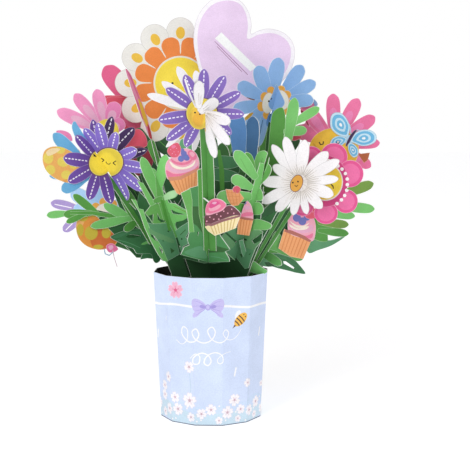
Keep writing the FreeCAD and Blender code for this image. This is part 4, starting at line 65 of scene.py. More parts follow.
PALETTE = {
    # purple_b, purple_deep and plum are the one petal purple painted lit, shaded and in shadow
    "purple": (127, 99, 184), "purple_b": (132, 108, 202), "amber_l1": (243, 214, 76), "amber_l2": (238, 196, 68), "crumb_lt": (214, 140, 110), "purple_deep": (106, 72, 162), "plum": (62, 36, 88), "yellow": (249, 225, 70),
    "amber_soft": (232, 178, 60), "amber": (236, 190, 62), "ink": (34, 22, 28), "dash": (244, 240, 252),
    "white": (245, 242, 244), "vein": (188, 180, 172), "blue": (134, 176, 226), "blue_mid": (84, 136, 196),
    "blue_deep": (58, 104, 150), "marigold": (241, 170, 66), "cream": (249, 238, 220), "cream_white": (246, 242, 248),
    "lilac": (233, 208, 238), "paperwhite": (247, 249, 247), "violet_line": (150, 96, 140), "offwhite": (234, 232, 226),
    "orange": (237, 134, 60), "rose": (229, 112, 158), "rose_deep": (224, 92, 138), "rose_red": (224, 80, 106),
    "red": (192, 46, 60), "red_dark": (148, 34, 54), "pink_light": (239, 148, 192), "pink_mid": (232, 130, 180),
    "pink_pale": (233, 172, 200), "blue_sky": (104, 176, 222), "blue_pale": (166, 206, 246), "lavender": (168, 148, 208),
    "balloon": (238, 176, 92), "balloon_spot": (232, 210, 92), "balloon_light": (247, 222, 170), "yellow_deep": (232, 190, 58),
    "brown": (176, 96, 56), "wing_pale": (196, 230, 246), "wing": (108, 186, 228), "violet_dark": (58, 38, 78),
    "magenta": (223, 82, 142), "magenta_lift": (232, 108, 162), "magenta_dark": (206, 60, 126), "amber_face": (239, 176, 74),
    "leaf_light": (118, 196, 106), "leaf_teal": (92, 156, 108), "leaf_teal2": (66, 128, 84), "leaf_front": (72, 142, 80),
    "leaf_mid": (82, 154, 62), "leaf_pale": (176, 220, 156), "leaf_olive": (114, 154, 62), "leaf_dark": (56, 118, 70),
    "leaf_dark2": (34, 84, 44), "teal": (70, 130, 150), "rust": (190, 76, 36), "peach": (241, 166, 108),
    "peach_dark": (224, 138, 80), "icing_pink": (240, 168, 188), "icing_rose": (233, 118, 154), "berry": (108, 114, 186),
    "strawberry": (223, 88, 112), "cream_wrap": (242, 224, 172), "tan": (214, 186, 122), "choco": (104, 56, 66),
    "stem": (74, 142, 60), "stem_dark": (46, 98, 44), "edge": (244, 243, 238), "leaf_edge": (196, 224, 184),
    # pot_inside_shade: near-black brown, painted shade for the inside of the pot wall and the top of the base panel
    "pot": (212, 225, 252), "pot_inside_shade": (38, 27, 16), "pot_dark": (20, 60, 32), "ribbon": (250, 250, 253),
    "bow": (200, 192, 240), "bow_line": (166, 154, 222), "blossom_white": (250, 246, 248), "blossom_core": (206, 178, 190),
    "blossom_pink": (244, 180, 206), "tint": (204, 226, 240), "bee": (246, 190, 84), "bee_dark": (96, 66, 60), "bee_wing": (244, 246, 252),
    "lattice": (40, 96, 50), "lattice_b": (52, 112, 58), "thread": (176, 132, 152), "ribbon_blue": (150, 180, 205),
    "leaf_fresh": (104, 176, 88), "leaf_teal_lt": (108, 166, 112), "leaf_deep": (48, 100, 46), "leaf_moss": (64, 124, 44), "crumb": (178, 104, 92), "choco_lt": (146, 96, 100),
    "amber_dk": (198, 152, 52), "brown_dk": (122, 80, 58), "blue_grey": (138, 170, 210), "amber_shade": (206, 160, 48), "disc_line": (104, 66, 88),
    # balloon_pale and balloon_dk are painted light and painted shade on the lower balloon
    "balloon_low": (224, 146, 60), "balloon_dk": (206, 108, 48), "balloon_pale": (238, 178, 104), "spot_low": (198, 178, 56), "balloon_shade": (226, 158, 80),
    "blossom_white_line": (226, 222, 240), "blossom_pink_line": (249, 208, 224), "blossom_core_soft": (240, 224, 232), "rose_deep_soft": (238, 170, 196),
    # foot_line: dark painted shadow line along the foot of the pot
    # pot_fold_shading: a faint painted line along each fold, standing in for the light change at the rounded crease
    "tint_far": (207, 224, 249), "thin_stem": (176, 204, 214), "pot_fold_shading": (210, 223, 251), "foot_line": (96, 104, 126),
}
# How strongly the ink clouds
DEPTH = {"ink": 0.05, "dash": 0.03, "paperwhite": 0.03, "edge": 0.03}
MATS = {}


def material(key):
    if key in MATS:
        return MATS[key]
    m = bpy.data.materials.new("print_" + key)
    m.use_nodes = True
    nt = m.node_tree
    n, l = nt.nodes, nt.links
    b = n["Principled BSDF"]
    b.inputs["Roughness"].default_value = 0.6
    b.inputs["Specular IOR Level"].default_value = 0.35
    if key.endswith("_rim"):
        r, g, bl = PALETTE[key[:-4]]
        r, g, bl = (c * 0.86 for c in (r, g, bl)) if r + g + bl > 660 else (c + (255 - c) * 0.42 for c in (r, g, bl))
    else:
        r, g, bl = PALETTE[key]
    depth = DEPTH.get(key, 0.045)
    coord = n.new("ShaderNodeTexCoord")
    # slow clouding of the ink
    big = n.new("ShaderNodeTexNoise")
    big.inputs["Scale"].default_value = 46.0
    big.inputs["Detail"].default_value = 4.0
    big.inputs["Roughness"].default_value = 0.62
    l.new(coord.outputs["Object"], big.inputs["Vector"])
    ramp = n.new("ShaderNodeValToRGB")
    lo = [max(0, c * (1 - depth * 1.3)) for c in (r, g, bl)]
    hi = [min(255, c + (255 - c) * depth * 0.9) for c in (r, g, bl)]
    ramp.color_ramp.elements[0].position = 0.30
    ramp.color_ramp.elements[0].color = rgb(*lo)
    ramp.color_ramp.elements[1].position = 0.72
    ramp.color_ramp.elements[1].color = rgb(*hi)
    l.new(big.outputs["Fac"], ramp.inputs["Fac"])
    # print grain and paper fibre
    grain = n.new("ShaderNodeTexNoise")
    grain.inputs["Scale"].default_value = 1500.0
    grain.inputs["Detail"].default_value = 3.0
    l.new(coord.outputs["Object"], grain.inputs["Vector"])
    fleck = n.new("ShaderNodeMapRange")
    fleck.inputs["From Min"].default_value = 0.3
    fleck.inputs["From Max"].default_value = 0.7
    fleck.inputs["To Min"].default_value = 0.93
    fleck.inputs["To Max"].default_value = 1.05
    l.new(grain.outputs["Fac"], fleck.inputs["Value"])
    mul = n.new("ShaderNodeVectorMath")
    mul.operation = "SCALE"
    l.new(ramp.outputs["Color"], mul.inputs[0])
    l.new(fleck.outputs["Result"], mul.inputs["Scale"])
    # colour attribute: printed gradients and random tone, plus painted shade on the greens, the lattice and the disc
    # rims
    tone_and_shade = n.new("ShaderNodeAttribute")
    tone_and_shade.attribute_name = "tone_and_shade"
    tinted = n.new("ShaderNodeVectorMath")
    tinted.operation = "MULTIPLY"
    l.new(mul.outputs["Vector"], tinted.inputs[0])
    l.new(tone_and_shade.outputs["Color"], tinted.inputs[1])
    l.new(tinted.outputs["Vector"], b.inputs["Base Color"])
    fibre = n.new("ShaderNodeTexNoise")
    fibre.inputs["Scale"].default_value = 620.0
    fibre.inputs["Detail"].default_value = 5.0
    fibre.inputs["Roughness"].default_value = 0.7
    l.new(coord.outputs["Object"], fibre.inputs["Vector"])
    bump = n.new("ShaderNodeBump")
    bump.inputs["Strength"].default_value = 0.22
    bump.inputs["Distance"].default_value = 0.0002
    l.new(fibre.outputs["Fac"], bump.inputs["Height"])
    l.new(bump.outputs["Normal"], b.inputs["Normal"])
    rough = n.new("ShaderNodeMapRange")
    rough.inputs["To Min"].default_value = 0.52
    rough.inputs["To Max"].default_value = 0.72
    l.new(fibre.outputs["Fac"], rough.inputs["Value"])
    l.new(rough.outputs["Result"], b.inputs["Roughness"])
    MATS[key] = m
    return m


# ------------------------------------------------------------------ planes
ANG, SPREAD = 35.0, 0.31
RISE = SPREAD * math.tan(math.radians(ANG))
APEX = Vector((0, 0, 50.0))
MM = 0.001
T = 0.35


def crossing(k, j):
    return ((k - j) * SPREAD, -(k + j) * RISE)


PLANES = {
    "AF": crossing(1, 0) + (ANG,), "AM": (0.0, 0.0, ANG), "AB": crossing(-1, 0) + (ANG,),
    "BF": crossing(0, 1) + (-ANG,), "BM": (0.0, 0.0, -ANG), "BB": crossing(0, -1) + (-ANG,),
    "BK": (0.265, 0.265 * math.tan(math.radians(ANG)), -ANG),
    "H36": (0.0, 0.36, 0.0), "H31": (0.0, 0.31, 0.0), "H26": (0.0, 0.26, 0.0), "H20": (0.0, 0.20, 0.0), "H10": (0.0, 0.10, 0.0),
    "H02": (0.0, 0.03, 0.0), "H-12": (0.0, -0.12, 0.0), "H-20": (0.0, -0.19, 0.0), "KLs": (-0.33, 0.20, 72.0),
    "Hb": (0.0, -0.48, -26.0), "Hd": (SPREAD, -RISE - 0.07, 0.0), "Hf": (0.0, -0.30, 0.0),
}


def axes(plane):
    gx, gy, deg = plane
    t = math.radians(deg)
    u = Vector((math.cos(t), math.sin(t), 0))
    g = Vector((gx, gy, 1))
    v = (g - u * g.dot(u)).normalized()
    return u, v, u.cross(v)


def local(plane, x, y, h):
    u, v, n = axes(plane)
    p = Vector((x, y, 1)) * h
    return (p.dot(u), p.dot(v))


HEADS = {("AF", "BF"): 999.0, ("AB", "BF"): 112.5, ("AM", "BK"): 999.0}
FAMILY = {"AF": "A", "AM": "A", "AB": "A", "BF": "B", "BM": "B", "BB": "B", "BK": "B"}


def meet(p, q):
    x1, y1, d1 = PLANES[p]
    x2, y2, d2 = PLANES[q]
    c1, s1 = math.cos(math.radians(d1)), math.sin(math.radians(d1))
    c2, s2 = math.cos(math.radians(d2)), math.sin(math.radians(d2))
    k = ((x2 - x1) * s2 - (y2 - y1) * c2) / (c1 * s2 - s1 * c2)
    return (x1 + k * c1, y1 + k * s1)


def slots(plane_name, off, spans):
    """Slots, in the card's plane, where it meets the cards of the other direction."""
    if plane_name not in FAMILY:
        return []
    fam = FAMILY[plane_name]
    u, v, n = axes(PLANES[plane_name])
    out = []
    for other, ofam in FAMILY.items():
        if ofam == fam or (set((plane_name, other)) & {"BK"} and set((plane_name, other)) != {"AM", "BK"}):
            continue
        lo, hi = spans[other]
        on = axes(PLANES[other])[2]
        pair = (plane_name, other) if fam == "A" else (other, plane_name)
        top = HEADS.get(pair, 999.0)
        skew = on.dot(n)
        lo2 = lo - 0.05 - max(skew * (off + T), skew * off)
        hi2 = hi + 0.05 - min(skew * (off + T), skew * off)
        a, b = on.dot(u), on.dot(v)
        gx, gy = meet(plane_name, other)
        foot = -60.0 if pair == ("AM", "BM") else 40.0
        if "BK" in pair:
            ranges = [] if fam == "A" else [(-60.0, 400.0)]
        else:
            ranges = [(foot, 60.3), (top - 0.3, 400.0)] if fam == "A" else [(59.7, top + 0.3)]
        for h0, h1 in ranges:
            if h0 >= 400:
                continue
            pts = []
            for h, c in ((h0, lo2), (h0, hi2), (min(h1, 400.0), hi2), (min(h1, 400.0), lo2)):
                y = local(PLANES[plane_name], gx, gy, h)[1]
                pts.append(((c - b * y) / a, y))
            out.append(pts)
    return out


# ------------------------------------------------------------------ card maker
def smooth(points, n=5):
    out, m = [], len(points)
    for i in range(m):
        a, b, c, d = points[i - 1], points[i], points[(i + 1) % m], points[(i + 2) % m]
        for k in range(n):
            t = k / n
            out.append(tuple(0.5 * (2 * b[q] + (c[q] - a[q]) * t + (2 * a[q] - 5 * b[q] + 4 * c[q] - d[q]) * t * t + (3 * b[q] - a[q] - 3 * c[q] + d[q]) * t ** 3) for q in (0, 1)))
    return out


def area(p):
    return 0.5 * sum(p[i - 1][0] * p[i][1] - p[i][0] * p[i - 1][1] for i in range(len(p)))


def outline(shape, n=5):
    kind, pts = shape
    p = smooth(pts, n) if kind == "c" else [tuple(q) for q in pts]
    if area(p) < 0:
        p.reverse()
    return p


def inset(p, d):
    """The outline moved inwards by d, kept simple."""
    m = len(p)
    out = []
    for i in range(m):
        a, b, c = Vector(p[i - 1]), Vector(p[i]), Vector(p[(i + 1) % m])
        t = (c - a)
        if t.length < 1e-6:
            out.append(p[i])
            continue
        t.normalize()
        out.append((b.x - t.y * d, b.y + t.x * d))
    return out


def sheet_mesh(name, regions, holes, art, to3d, t, bend, grid, back, ground, tone_and_shade=None):
    """One flat card: regions are joined, holes taken out, and the art printed on it in order.
    to3d(x, y, h) places a point of the card at height h over its back."""
    polys = [("cut", p) for p in regions] + [("hole", p) for p in holes] + [(c, p) for p, c in art]
    verts, faces = [], []
    polys = [(kind, p if area(p) > 0 else p[::-1]) for kind, p in polys]
    for kind, p in polys:
        s = len(verts)
        verts += [Vector(q) for q in p]
        faces.append(list(range(s, len(verts))))
    xs = [v.x for v in verts[: sum(len(p) for p in regions)]]
    ys = [v.y for v in verts[: sum(len(p) for p in regions)]]
    if grid:
        x = min(xs)
        k = 0
        while x < max(xs):
            y = min(ys) + (k % 2) * grid * 0.5
            while y < max(ys):
                verts.append(Vector((x, y)))
                y += grid
            x += grid * 0.87
            k += 1
    res = delaunay_2d_cdt(verts, [], faces, 1, 1e-5, True)
    vs, fs, ids = res[0], res[2], res[5]
    ncut, nhole = len(regions), len(holes)
    keep = []
    for f, own in zip(fs, ids):
        own = set(own)
        if not any(i < ncut for i in own) or any(ncut <= i < ncut + nhole for i in own):
            continue
        tops = [i for i in own if i >= ncut + nhole]
        keep.append((f, polys[max(tops)][0] if tops else None))
    # drop loose slivers: only connected pieces above a tenth of the card's area stay
    parent = {}

    def find(i):
        while parent.setdefault(i, i) != i:
            parent[i] = parent[parent[i]]
            i = parent[i]
        return i

    for f, c in keep:
        a = find(f[0])
        for i in f[1:]:
            parent[find(i)] = a
    size = {}
    for f, c in keep:
        p, q, r = (vs[i] for i in f[:3])
        size[find(f[0])] = size.get(find(f[0]), 0) + abs((q - p).cross(r - p))
    tot = sum(size.values())
    keep = [(f, c) for f, c in keep if size[find(f[0])] > 0.10 * tot]
    used = sorted({i for f, c in keep for i in f})
    index = {v: i for i, v in enumerate(used)}
    pts, out_faces, out_mats = [], [], []

    h = [bend(vs[i].x, vs[i].y) if bend else 0.0 for i in used]
    for lvl in (t, 0.0):
        for i, z in zip(used, h):
            pts.append(to3d(vs[i].x, vs[i].y, lvl + z))
    m = len(used)
    edges = {}
    for f, c in keep:
        f = list(f)
        p, q, r = (vs[i] for i in f[:3])
        if (q - p).cross(r - p) < 0:
            f.reverse()
        out_faces.append([index[i] for i in f])
        out_mats.append(c or ground)
        out_faces.append([index[i] + m for i in reversed(f)])
        both = c and back != "pot_inside_shade" and (name != "heart_card" or c.startswith(("leaf", "stem")))
        out_mats.append(c if both else back)
        for a, b in zip(f, f[1:] + f[:1]):
            edges[(a, b)] = True
    # cut edges, with vertices of their own so that they stay crisp
    for a, b in list(edges):
        if (b, a) not in edges:
            s = len(pts)
            pts += [pts[index[a]], pts[index[b]], pts[index[b] + m], pts[index[a] + m]]
            out_faces.append([s + 3, s + 2, s + 1, s])
            out_mats.append("edge")
    me = bpy.data.meshes.new(name)
    me.from_pydata(pts, [], out_faces)
    slots_ = {}
    for i, (poly, c) in enumerate(zip(me.polygons, out_mats)):
        if c not in slots_:
            slots_[c] = len(me.materials)
            me.materials.append(material(c))
        poly.material_index = slots_[c]
        poly.use_smooth = c != "edge" and bend is not None
    me.update()
    # per-vertex colour factor: printed gradients and random tone, plus painted shade
    layer = me.color_attributes.new("tone_and_shade", "FLOAT_COLOR", "POINT")
    for i in range(len(pts)):
        c = (1.0, 1.0, 1.0)
        if tone_and_shade and i < 2 * m:
            q = vs[used[i % m]]
            c = tone_and_shade(q.x, q.y, pts[i])
        layer.data[i].color = (c[0], c[1], c[2], 1.0)
    ob = bpy.data.objects.new(name, me)
    scene.collection.objects.link(ob)
    return ob


CARDS = {}
CARDS["aster_purple_centre"] = ("AF", 0.8, "purple", [
    ("c", [(-37.2, 152.4), (-41.9, 156.2), (-47.2, 160.1), (-52.2, 163.2), (-57.6, 165.7), (-61.1, 166.7), (-64.1, 166), (-63.1, 163.1), (-60.4, 160.7), (-55.3, 157.5), (-50.1, 155), (-43.9, 152.6), (-38.1, 150.7)]),
    ("c", [(-36.6, 152), (-38.8, 156.9), (-41.4, 162.3), (-44.2, 166.8), (-47.7, 171), (-50.5, 173.3), (-53.8, 174), (-54.6, 171.3), (-53.6, 168.2), (-50.8, 163.6), (-47.3, 159.5), (-42.9, 155), (-38.7, 151.1)]),
    ("c", [(-36.4, 151.5), (-35.9, 156.6), (-35.6, 162.3), (-36, 167.3), (-37.2, 172.6), (-38.7, 175.7), (-41.6, 177.8), (-43.8, 175.8), (-44.4, 172.7), (-44, 167.5), (-42.9, 162.5), (-40.9, 156.8), (-38.9, 151.6)]),
    ("c", [(-36.4, 151), (-33.1, 154.7), (-29.6, 159), (-27.1, 163.2), (-25.3, 167.9), (-25.1, 171.1), (-26.8, 174.1), (-30.3, 173.5), (-32.6, 171.3), (-35.2, 167), (-36.9, 162.5), (-38, 157.1), (-38.9, 152.2)]),
    ("c", [(-36.9, 150.6), (-31.7, 152.1), (-25.9, 154), (-21.1, 156.2), (-16.6, 159.1), (-14.4, 161.5), (-14.2, 164.5), (-17.7, 165.4), (-21.2, 164.6), (-26.2, 162.3), (-30.4, 159.5), (-34.7, 155.9), (-38.4, 152.5)]),
    ("c", [(-37.5, 150.5), (-31.8, 149.3), (-25.5, 148.2), (-19.8, 147.7), (-14.1, 148), (-10.7, 148.8), (-8.8, 151.1), (-11.6, 153.4), (-15.3, 154.4), (-21.2, 154.8), (-26.6, 154.5), (-32.6, 153.6), (-37.8, 152.6)]),
    ("c", [(-38.2, 150.7), (-34.5, 147.4), (-30.2, 143.8), (-26.1, 141), (-21.3, 138.7), (-18.1, 137.9), (-15.2, 138.7), (-15.9, 141.6), (-18.2, 143.9), (-22.6, 146.8), (-27.1, 149), (-32.4, 150.9), (-37.1, 152.4)]),
    ("c", [(-38.7, 152), (-41.3, 148.6), (-43.9, 144.7), (-45.6, 140.9), (-46.8, 136.7), (-46.7, 133.9), (-45, 131.2), (-42.2, 131.9), (-40.3, 133.9), (-38.5, 137.8), (-37.4, 141.9), (-36.9, 146.7), (-36.6, 151.1)]),
    ("c", [(-38.5, 152.3), (-43.3, 150), (-48.4, 147.3), (-52.6, 144.4), (-56.3, 141), (-58, 138.3), (-58, 135.3), (-54.6, 134.9), (-51.5, 136.2), (-47.2, 139.1), (-43.5, 142.5), (-39.9, 146.8), (-36.8, 150.8)]),
    ("c", [(-38.1, 152.7), (-44, 153), (-50.4, 153.2), (-55.9, 152.7), (-61.3, 151.5), (-64.2, 150), (-65.6, 147.3), (-62.5, 145.3), (-58.9, 144.8), (-53.2, 145.2), (-48, 146.4), (-42.2, 148.4), (-37.2, 150.4)]),
    ("c", [(-27.6, 151.6), (-28, 147), (-31.2, 143.7), (-36.2, 142.5), (-41.6, 143.7), (-46, 147), (-48.2, 151.5), (-47.7, 156), (-44.6, 159.3), (-39.8, 160.5), (-34.4, 159.4), (-29.9, 156.1)]),
    ("p", [(-38.3, 144.8), (-31, 116.2), (-25.8, 93.6), (-17, 54.9), (-9.3, 27.7), (-4.8, 27.4), (-10.4, 54.6), (-20.1, 93.5), (-26.2, 116.3), (-35, 145)]),
], [
    (11, "stem"),
    (0, "purple"),
    (1, "purple"),
    (2, "purple"),
    (3, "purple"),
    (4, "purple"),
    (5, "purple"),
    (6, "purple"),
    (7, "purple"),
    (8, "purple"),
    (9, "purple"),
    (("p", [(-49.3, 158.3), (-50.8, 159.1), (-51.1, 158.6), (-49.6, 157.7)]), "dash"),
    (("p", [(-51.7, 159.6), (-53.2, 160.4), (-53.6, 159.9), (-52, 159)]), "dash"),
    (("p", [(-54.1, 160.9), (-55.7, 161.7), (-56, 161.2), (-54.4, 160.3)]), "dash"),
    (("p", [(-56.5, 162.2), (-58, 163.1), (-58.4, 162.5), (-56.8, 161.7)]), "dash"),
    (("p", [(-58.9, 163.5), (-60.4, 164.3), (-60.7, 163.8), (-59.2, 163)]), "dash"),
    (("p", [(-61.3, 164.8), (-62.8, 165.6), (-63.1, 165.1), (-61.6, 164.3)]), "dash"),
    (("p", [(-44.5, 161.7), (-45.5, 163), (-46.1, 162.7), (-45.1, 161.4)]), "dash"),
    (("p", [(-46, 163.7), (-46.9, 165), (-47.6, 164.7), (-46.6, 163.4)]), "dash"),
    (("p", [(-47.5, 165.8), (-48.4, 167.1), (-49, 166.8), (-48.1, 165.5)]), "dash"),
    (("p", [(-48.9, 167.8), (-49.9, 169.1), (-50.5, 168.8), (-49.6, 167.5)]), "dash"),
    (("p", [(-50.4, 169.8), (-51.3, 171.1), (-51.9, 170.8), (-51, 169.6)]), "dash"),
    (("p", [(-51.8, 171.9), (-52.8, 173.2), (-53.4, 172.9), (-52.5, 171.6)]), "dash"),
    (("p", [(-39, 163.1), (-39.2, 164.7), (-40, 164.7), (-39.8, 163.2)]), "dash"),
    (("p", [(-39.4, 165.5), (-39.6, 167.1), (-40.3, 167.1), (-40.1, 165.6)]), "dash"),
    (("p", [(-39.7, 167.9), (-39.9, 169.5), (-40.7, 169.5), (-40.5, 168)]), "dash"),
    (("p", [(-40.1, 170.3), (-40.3, 171.9), (-41.1, 171.9), (-40.8, 170.4)]), "dash"),
    (("p", [(-40.4, 172.7), (-40.7, 174.2), (-41.4, 174.3), (-41.2, 172.7)]), "dash"),
    (("p", [(-40.8, 175.1), (-41, 176.6), (-41.8, 176.6), (-41.5, 175.1)]), "dash"),
    (("p", [(-32.6, 161.2), (-31.9, 162.6), (-32.6, 162.9), (-33.3, 161.6)]), "dash"),
    (("p", [(-31.6, 163.3), (-30.9, 164.6), (-31.7, 165), (-32.3, 163.7)]), "dash"),
    (("p", [(-30.6, 165.4), (-29.9, 166.7), (-30.7, 167), (-31.3, 165.7)]), "dash"),
    (("p", [(-29.6, 167.4), (-28.9, 168.8), (-29.7, 169.1), (-30.3, 167.8)]), "dash"),
    (("p", [(-28.6, 169.5), (-28, 170.8), (-28.7, 171.2), (-29.3, 169.8)]), "dash"),
    (("p", [(-27.6, 171.6), (-27, 172.9), (-27.7, 173.2), (-28.3, 171.9)]), "dash"),
    (("p", [(-27.2, 156.9), (-25.8, 157.6), (-26.4, 158.2), (-27.7, 157.5)]), "dash"),
    (("p", [(-25.1, 158), (-23.7, 158.8), (-24.2, 159.4), (-25.6, 158.6)]), "dash"),
    (("p", [(-22.9, 159.2), (-21.5, 160), (-22, 160.6), (-23.4, 159.8)]), "dash"),
    (("p", [(-20.8, 160.4), (-19.4, 161.2), (-19.9, 161.8), (-21.3, 161)]), "dash"),
    (("p", [(-18.6, 161.6), (-17.2, 162.4), (-17.7, 163), (-19.1, 162.2)]), "dash"),
    (("p", [(-16.4, 162.8), (-15, 163.6), (-15.5, 164.2), (-16.9, 163.4)]), "dash"),
    (("p", [(-25.2, 151), (-23.5, 151), (-23.6, 151.7), (-25.3, 151.7)]), "dash"),
    (("p", [(-22.5, 151), (-20.8, 150.9), (-21, 151.6), (-22.6, 151.7)]), "dash"),
    (("p", [(-19.9, 150.9), (-18.2, 150.9), (-18.3, 151.6), (-20, 151.6)]), "dash"),
    (("p", [(-17.2, 150.9), (-15.5, 150.8), (-15.6, 151.5), (-17.3, 151.6)]), "dash"),
    (("p", [(-14.5, 150.8), (-12.8, 150.8), (-12.9, 151.5), (-14.6, 151.5)]), "dash"),
    (("p", [(-11.8, 150.8), (-10.1, 150.7), (-10.2, 151.4), (-12, 151.5)]), "dash"),
    (("p", [(-28.2, 145.7), (-26.8, 145), (-26.5, 145.5), (-27.8, 146.3)]), "dash"),
    (("p", [(-26.1, 144.6), (-24.8, 143.8), (-24.4, 144.4), (-25.8, 145.1)]), "dash"),
    (("p", [(-24, 143.4), (-22.7, 142.6), (-22.4, 143.2), (-23.7, 143.9)]), "dash"),
    (("p", [(-22, 142.2), (-20.6, 141.4), (-20.3, 142), (-21.6, 142.7)]), "dash"),
    (("p", [(-19.9, 141), (-18.5, 140.2), (-18.2, 140.8), (-19.5, 141.5)]), "dash"),
    (("p", [(-17.8, 139.8), (-16.4, 139), (-16.1, 139.6), (-17.4, 140.3)]), "dash"),
    (("p", [(-41.2, 142.9), (-41.7, 141.7), (-40.9, 141.4), (-40.5, 142.6)]), "dash"),
    (("p", [(-41.9, 141), (-42.4, 139.8), (-41.6, 139.5), (-41.2, 140.7)]), "dash"),
    (("p", [(-42.6, 139.2), (-43, 138), (-42.3, 137.6), (-41.8, 138.8)]), "dash"),
    (("p", [(-43.3, 137.3), (-43.7, 136.1), (-43, 135.8), (-42.5, 137)]), "dash"),
    (("p", [(-44, 135.4), (-44.4, 134.2), (-43.6, 133.9), (-43.2, 135.1)]), "dash"),
    (("p", [(-44.6, 133.5), (-45.1, 132.3), (-44.3, 132), (-43.9, 133.2)]), "dash"),
    (("p", [(-46.8, 144.7), (-48, 143.8), (-47.5, 143.2), (-46.3, 144.2)]), "dash"),
    (("p", [(-48.7, 143.2), (-49.9, 142.3), (-49.3, 141.7), (-48.1, 142.7)]), "dash"),
    (("p", [(-50.6, 141.8), (-51.7, 140.8), (-51.2, 140.2), (-50, 141.2)]), "dash"),
    (("p", [(-52.4, 140.3), (-53.6, 139.3), (-53, 138.8), (-51.9, 139.7)]), "dash"),
    (("p", [(-54.3, 138.8), (-55.5, 137.8), (-54.9, 137.3), (-53.7, 138.2)]), "dash"),
    (("p", [(-56.1, 137.3), (-57.3, 136.4), (-56.7, 135.8), (-55.6, 136.8)]), "dash"),
    (("p", [(-50.1, 150), (-51.8, 149.8), (-51.5, 149.1), (-49.9, 149.3)]), "dash"),
    (("p", [(-52.7, 149.6), (-54.3, 149.4), (-54.1, 148.7), (-52.4, 149)]), "dash"),
    (("p", [(-55.2, 149.2), (-56.8, 149), (-56.6, 148.3), (-55, 148.6)]), "dash"),
    (("p", [(-57.8, 148.9), (-59.4, 148.6), (-59.1, 147.9), (-57.5, 148.2)]), "dash"),
    (("p", [(-60.3, 148.5), (-61.9, 148.2), (-61.7, 147.6), (-60.1, 147.8)]), "dash"),
    (("p", [(-62.8, 148.1), (-64.4, 147.8), (-64.2, 147.2), (-62.6, 147.4)]), "dash"),
    (("c", [(-26.9, 151.6), (-27.4, 146.8), (-30.8, 143.2), (-36.1, 141.9), (-41.8, 143.2), (-46.5, 146.8), (-48.8, 151.5), (-48.3, 156.2), (-45, 159.7), (-39.9, 161), (-34.2, 159.8), (-29.4, 156.4)]), "disc_line"),
    (10, "yellow"),
    (("c", [(-47, 152.1), (-44, 156.9), (-38.7, 157), (-34.6, 149.8), (-35.2, 142.5), (-41.2, 142.5), (-45.6, 146.7)]), "amber_l1"),
    (("c", [(-45.6, 151.5), (-42.3, 155.1), (-38.3, 154.6), (-35.7, 148.5), (-36.7, 143.3), (-41.4, 143.7), (-44.8, 147.3)]), "amber_l2"),
    (("c", [(-43.3, 149.7), (-40.6, 152.7), (-37.8, 152.2), (-36.3, 147.9), (-37.5, 144.1), (-40.9, 144.5), (-43.1, 147.3)]), "amber_soft"),
    (("c", [(-42, 151.9), (-42.1, 151.5), (-42.5, 151.4), (-42.9, 151.5), (-43.2, 151.9), (-43.1, 152.3), (-42.7, 152.4), (-42.2, 152.3)]), "ink"),
    (("c", [(-38.5, 151), (-38.6, 150.6), (-39, 150.5), (-39.5, 150.6), (-39.7, 151), (-39.6, 151.4), (-39.3, 151.6), (-38.8, 151.4)]), "ink"),
    (("p", [(-53.6, 171.5), (-48.7, 162.5), (-43.1, 154.9), (-42.3, 155.3), (-47.5, 163), (-52.6, 171.8)]), "white"),
])
CARDS["aster_white_centre"] = ("BF", 0.8, "white", [
    ("c", [(35, 152.3), (38, 149.6), (41.5, 146.9), (45.1, 145.1), (48.4, 144.3), (50.9, 144.4), (53.6, 145.9), (53.8, 148.4), (52.6, 149.9), (49.8, 151.3), (45.7, 152.4), (40.6, 153), (35.8, 153.3)]),
    ("c", [(34.9, 152.5), (36.6, 147.5), (38.9, 142), (41.5, 137.5), (44.2, 134.2), (46.5, 132.6), (49.5, 132.5), (50.7, 135.1), (50.1, 137.6), (48, 141.2), (44.6, 145.3), (40.2, 149.5), (36, 153.1)]),
    ("c", [(34.9, 152.7), (33.9, 146.4), (33, 139.4), (32.9, 133.2), (33.5, 128.4), (34.5, 125.6), (36.9, 124.1), (39, 126.6), (39.7, 129.8), (39.8, 134.7), (39.1, 140.7), (37.6, 147.2), (36, 152.9)]),
    ("c", [(39.8, 148.8), (38.8, 146.6), (37.5, 144.9), (36.1, 144.3), (35, 144.9), (34.5, 146.6), (34.8, 148.9), (35.8, 151.1), (37.1, 152.8), (38.5, 153.4), (39.6, 152.7), (40.1, 151.1)]),
    ("p", [(35.6, 147.9), (31.1, 128.8), (27.2, 113), (22.3, 93.5), (12.6, 54.6), (6.9, 27.5), (11.8, 28.1), (19.8, 55.4), (28.5, 93.9), (33.3, 113.3), (36.4, 129), (40.7, 148)]),
], [
    (4, "stem"),
    (3, "white"),
    (0, "white"),
    (1, "white"),
    (2, "white"),
    (("p", [(38.6, 151.8), (47.7, 149.4), (47.8, 149.6), (38.8, 152)]), "vein"),
    (("p", [(38.4, 151.5), (43.3, 149.7), (43.5, 149.9), (38.6, 151.8)]), "vein"),
    (("p", [(38.2, 151.2), (44.4, 148.1), (44.6, 148.3), (38.4, 151.5)]), "vein"),
    (("p", [(37.2, 150.5), (40.5, 147.1), (40.6, 147.2), (37.6, 150.7)]), "vein"),
    (("p", [(36.9, 150.3), (40.6, 145.2), (40.8, 145.3), (37.2, 150.5)]), "vein"),
    (("p", [(36.6, 150.2), (40.3, 143.1), (40.5, 143.2), (36.9, 150.3)]), "vein"),
    (("p", [(35.8, 149.9), (37, 143.7), (37.2, 143.7), (36.1, 150)]), "vein"),
    (("p", [(35.4, 149.8), (35.9, 141.6), (36.1, 141.7), (35.8, 149.9)]), "vein"),
    (("p", [(35, 149.8), (34.7, 145), (34.9, 145), (35.4, 149.8)]), "vein"),
])
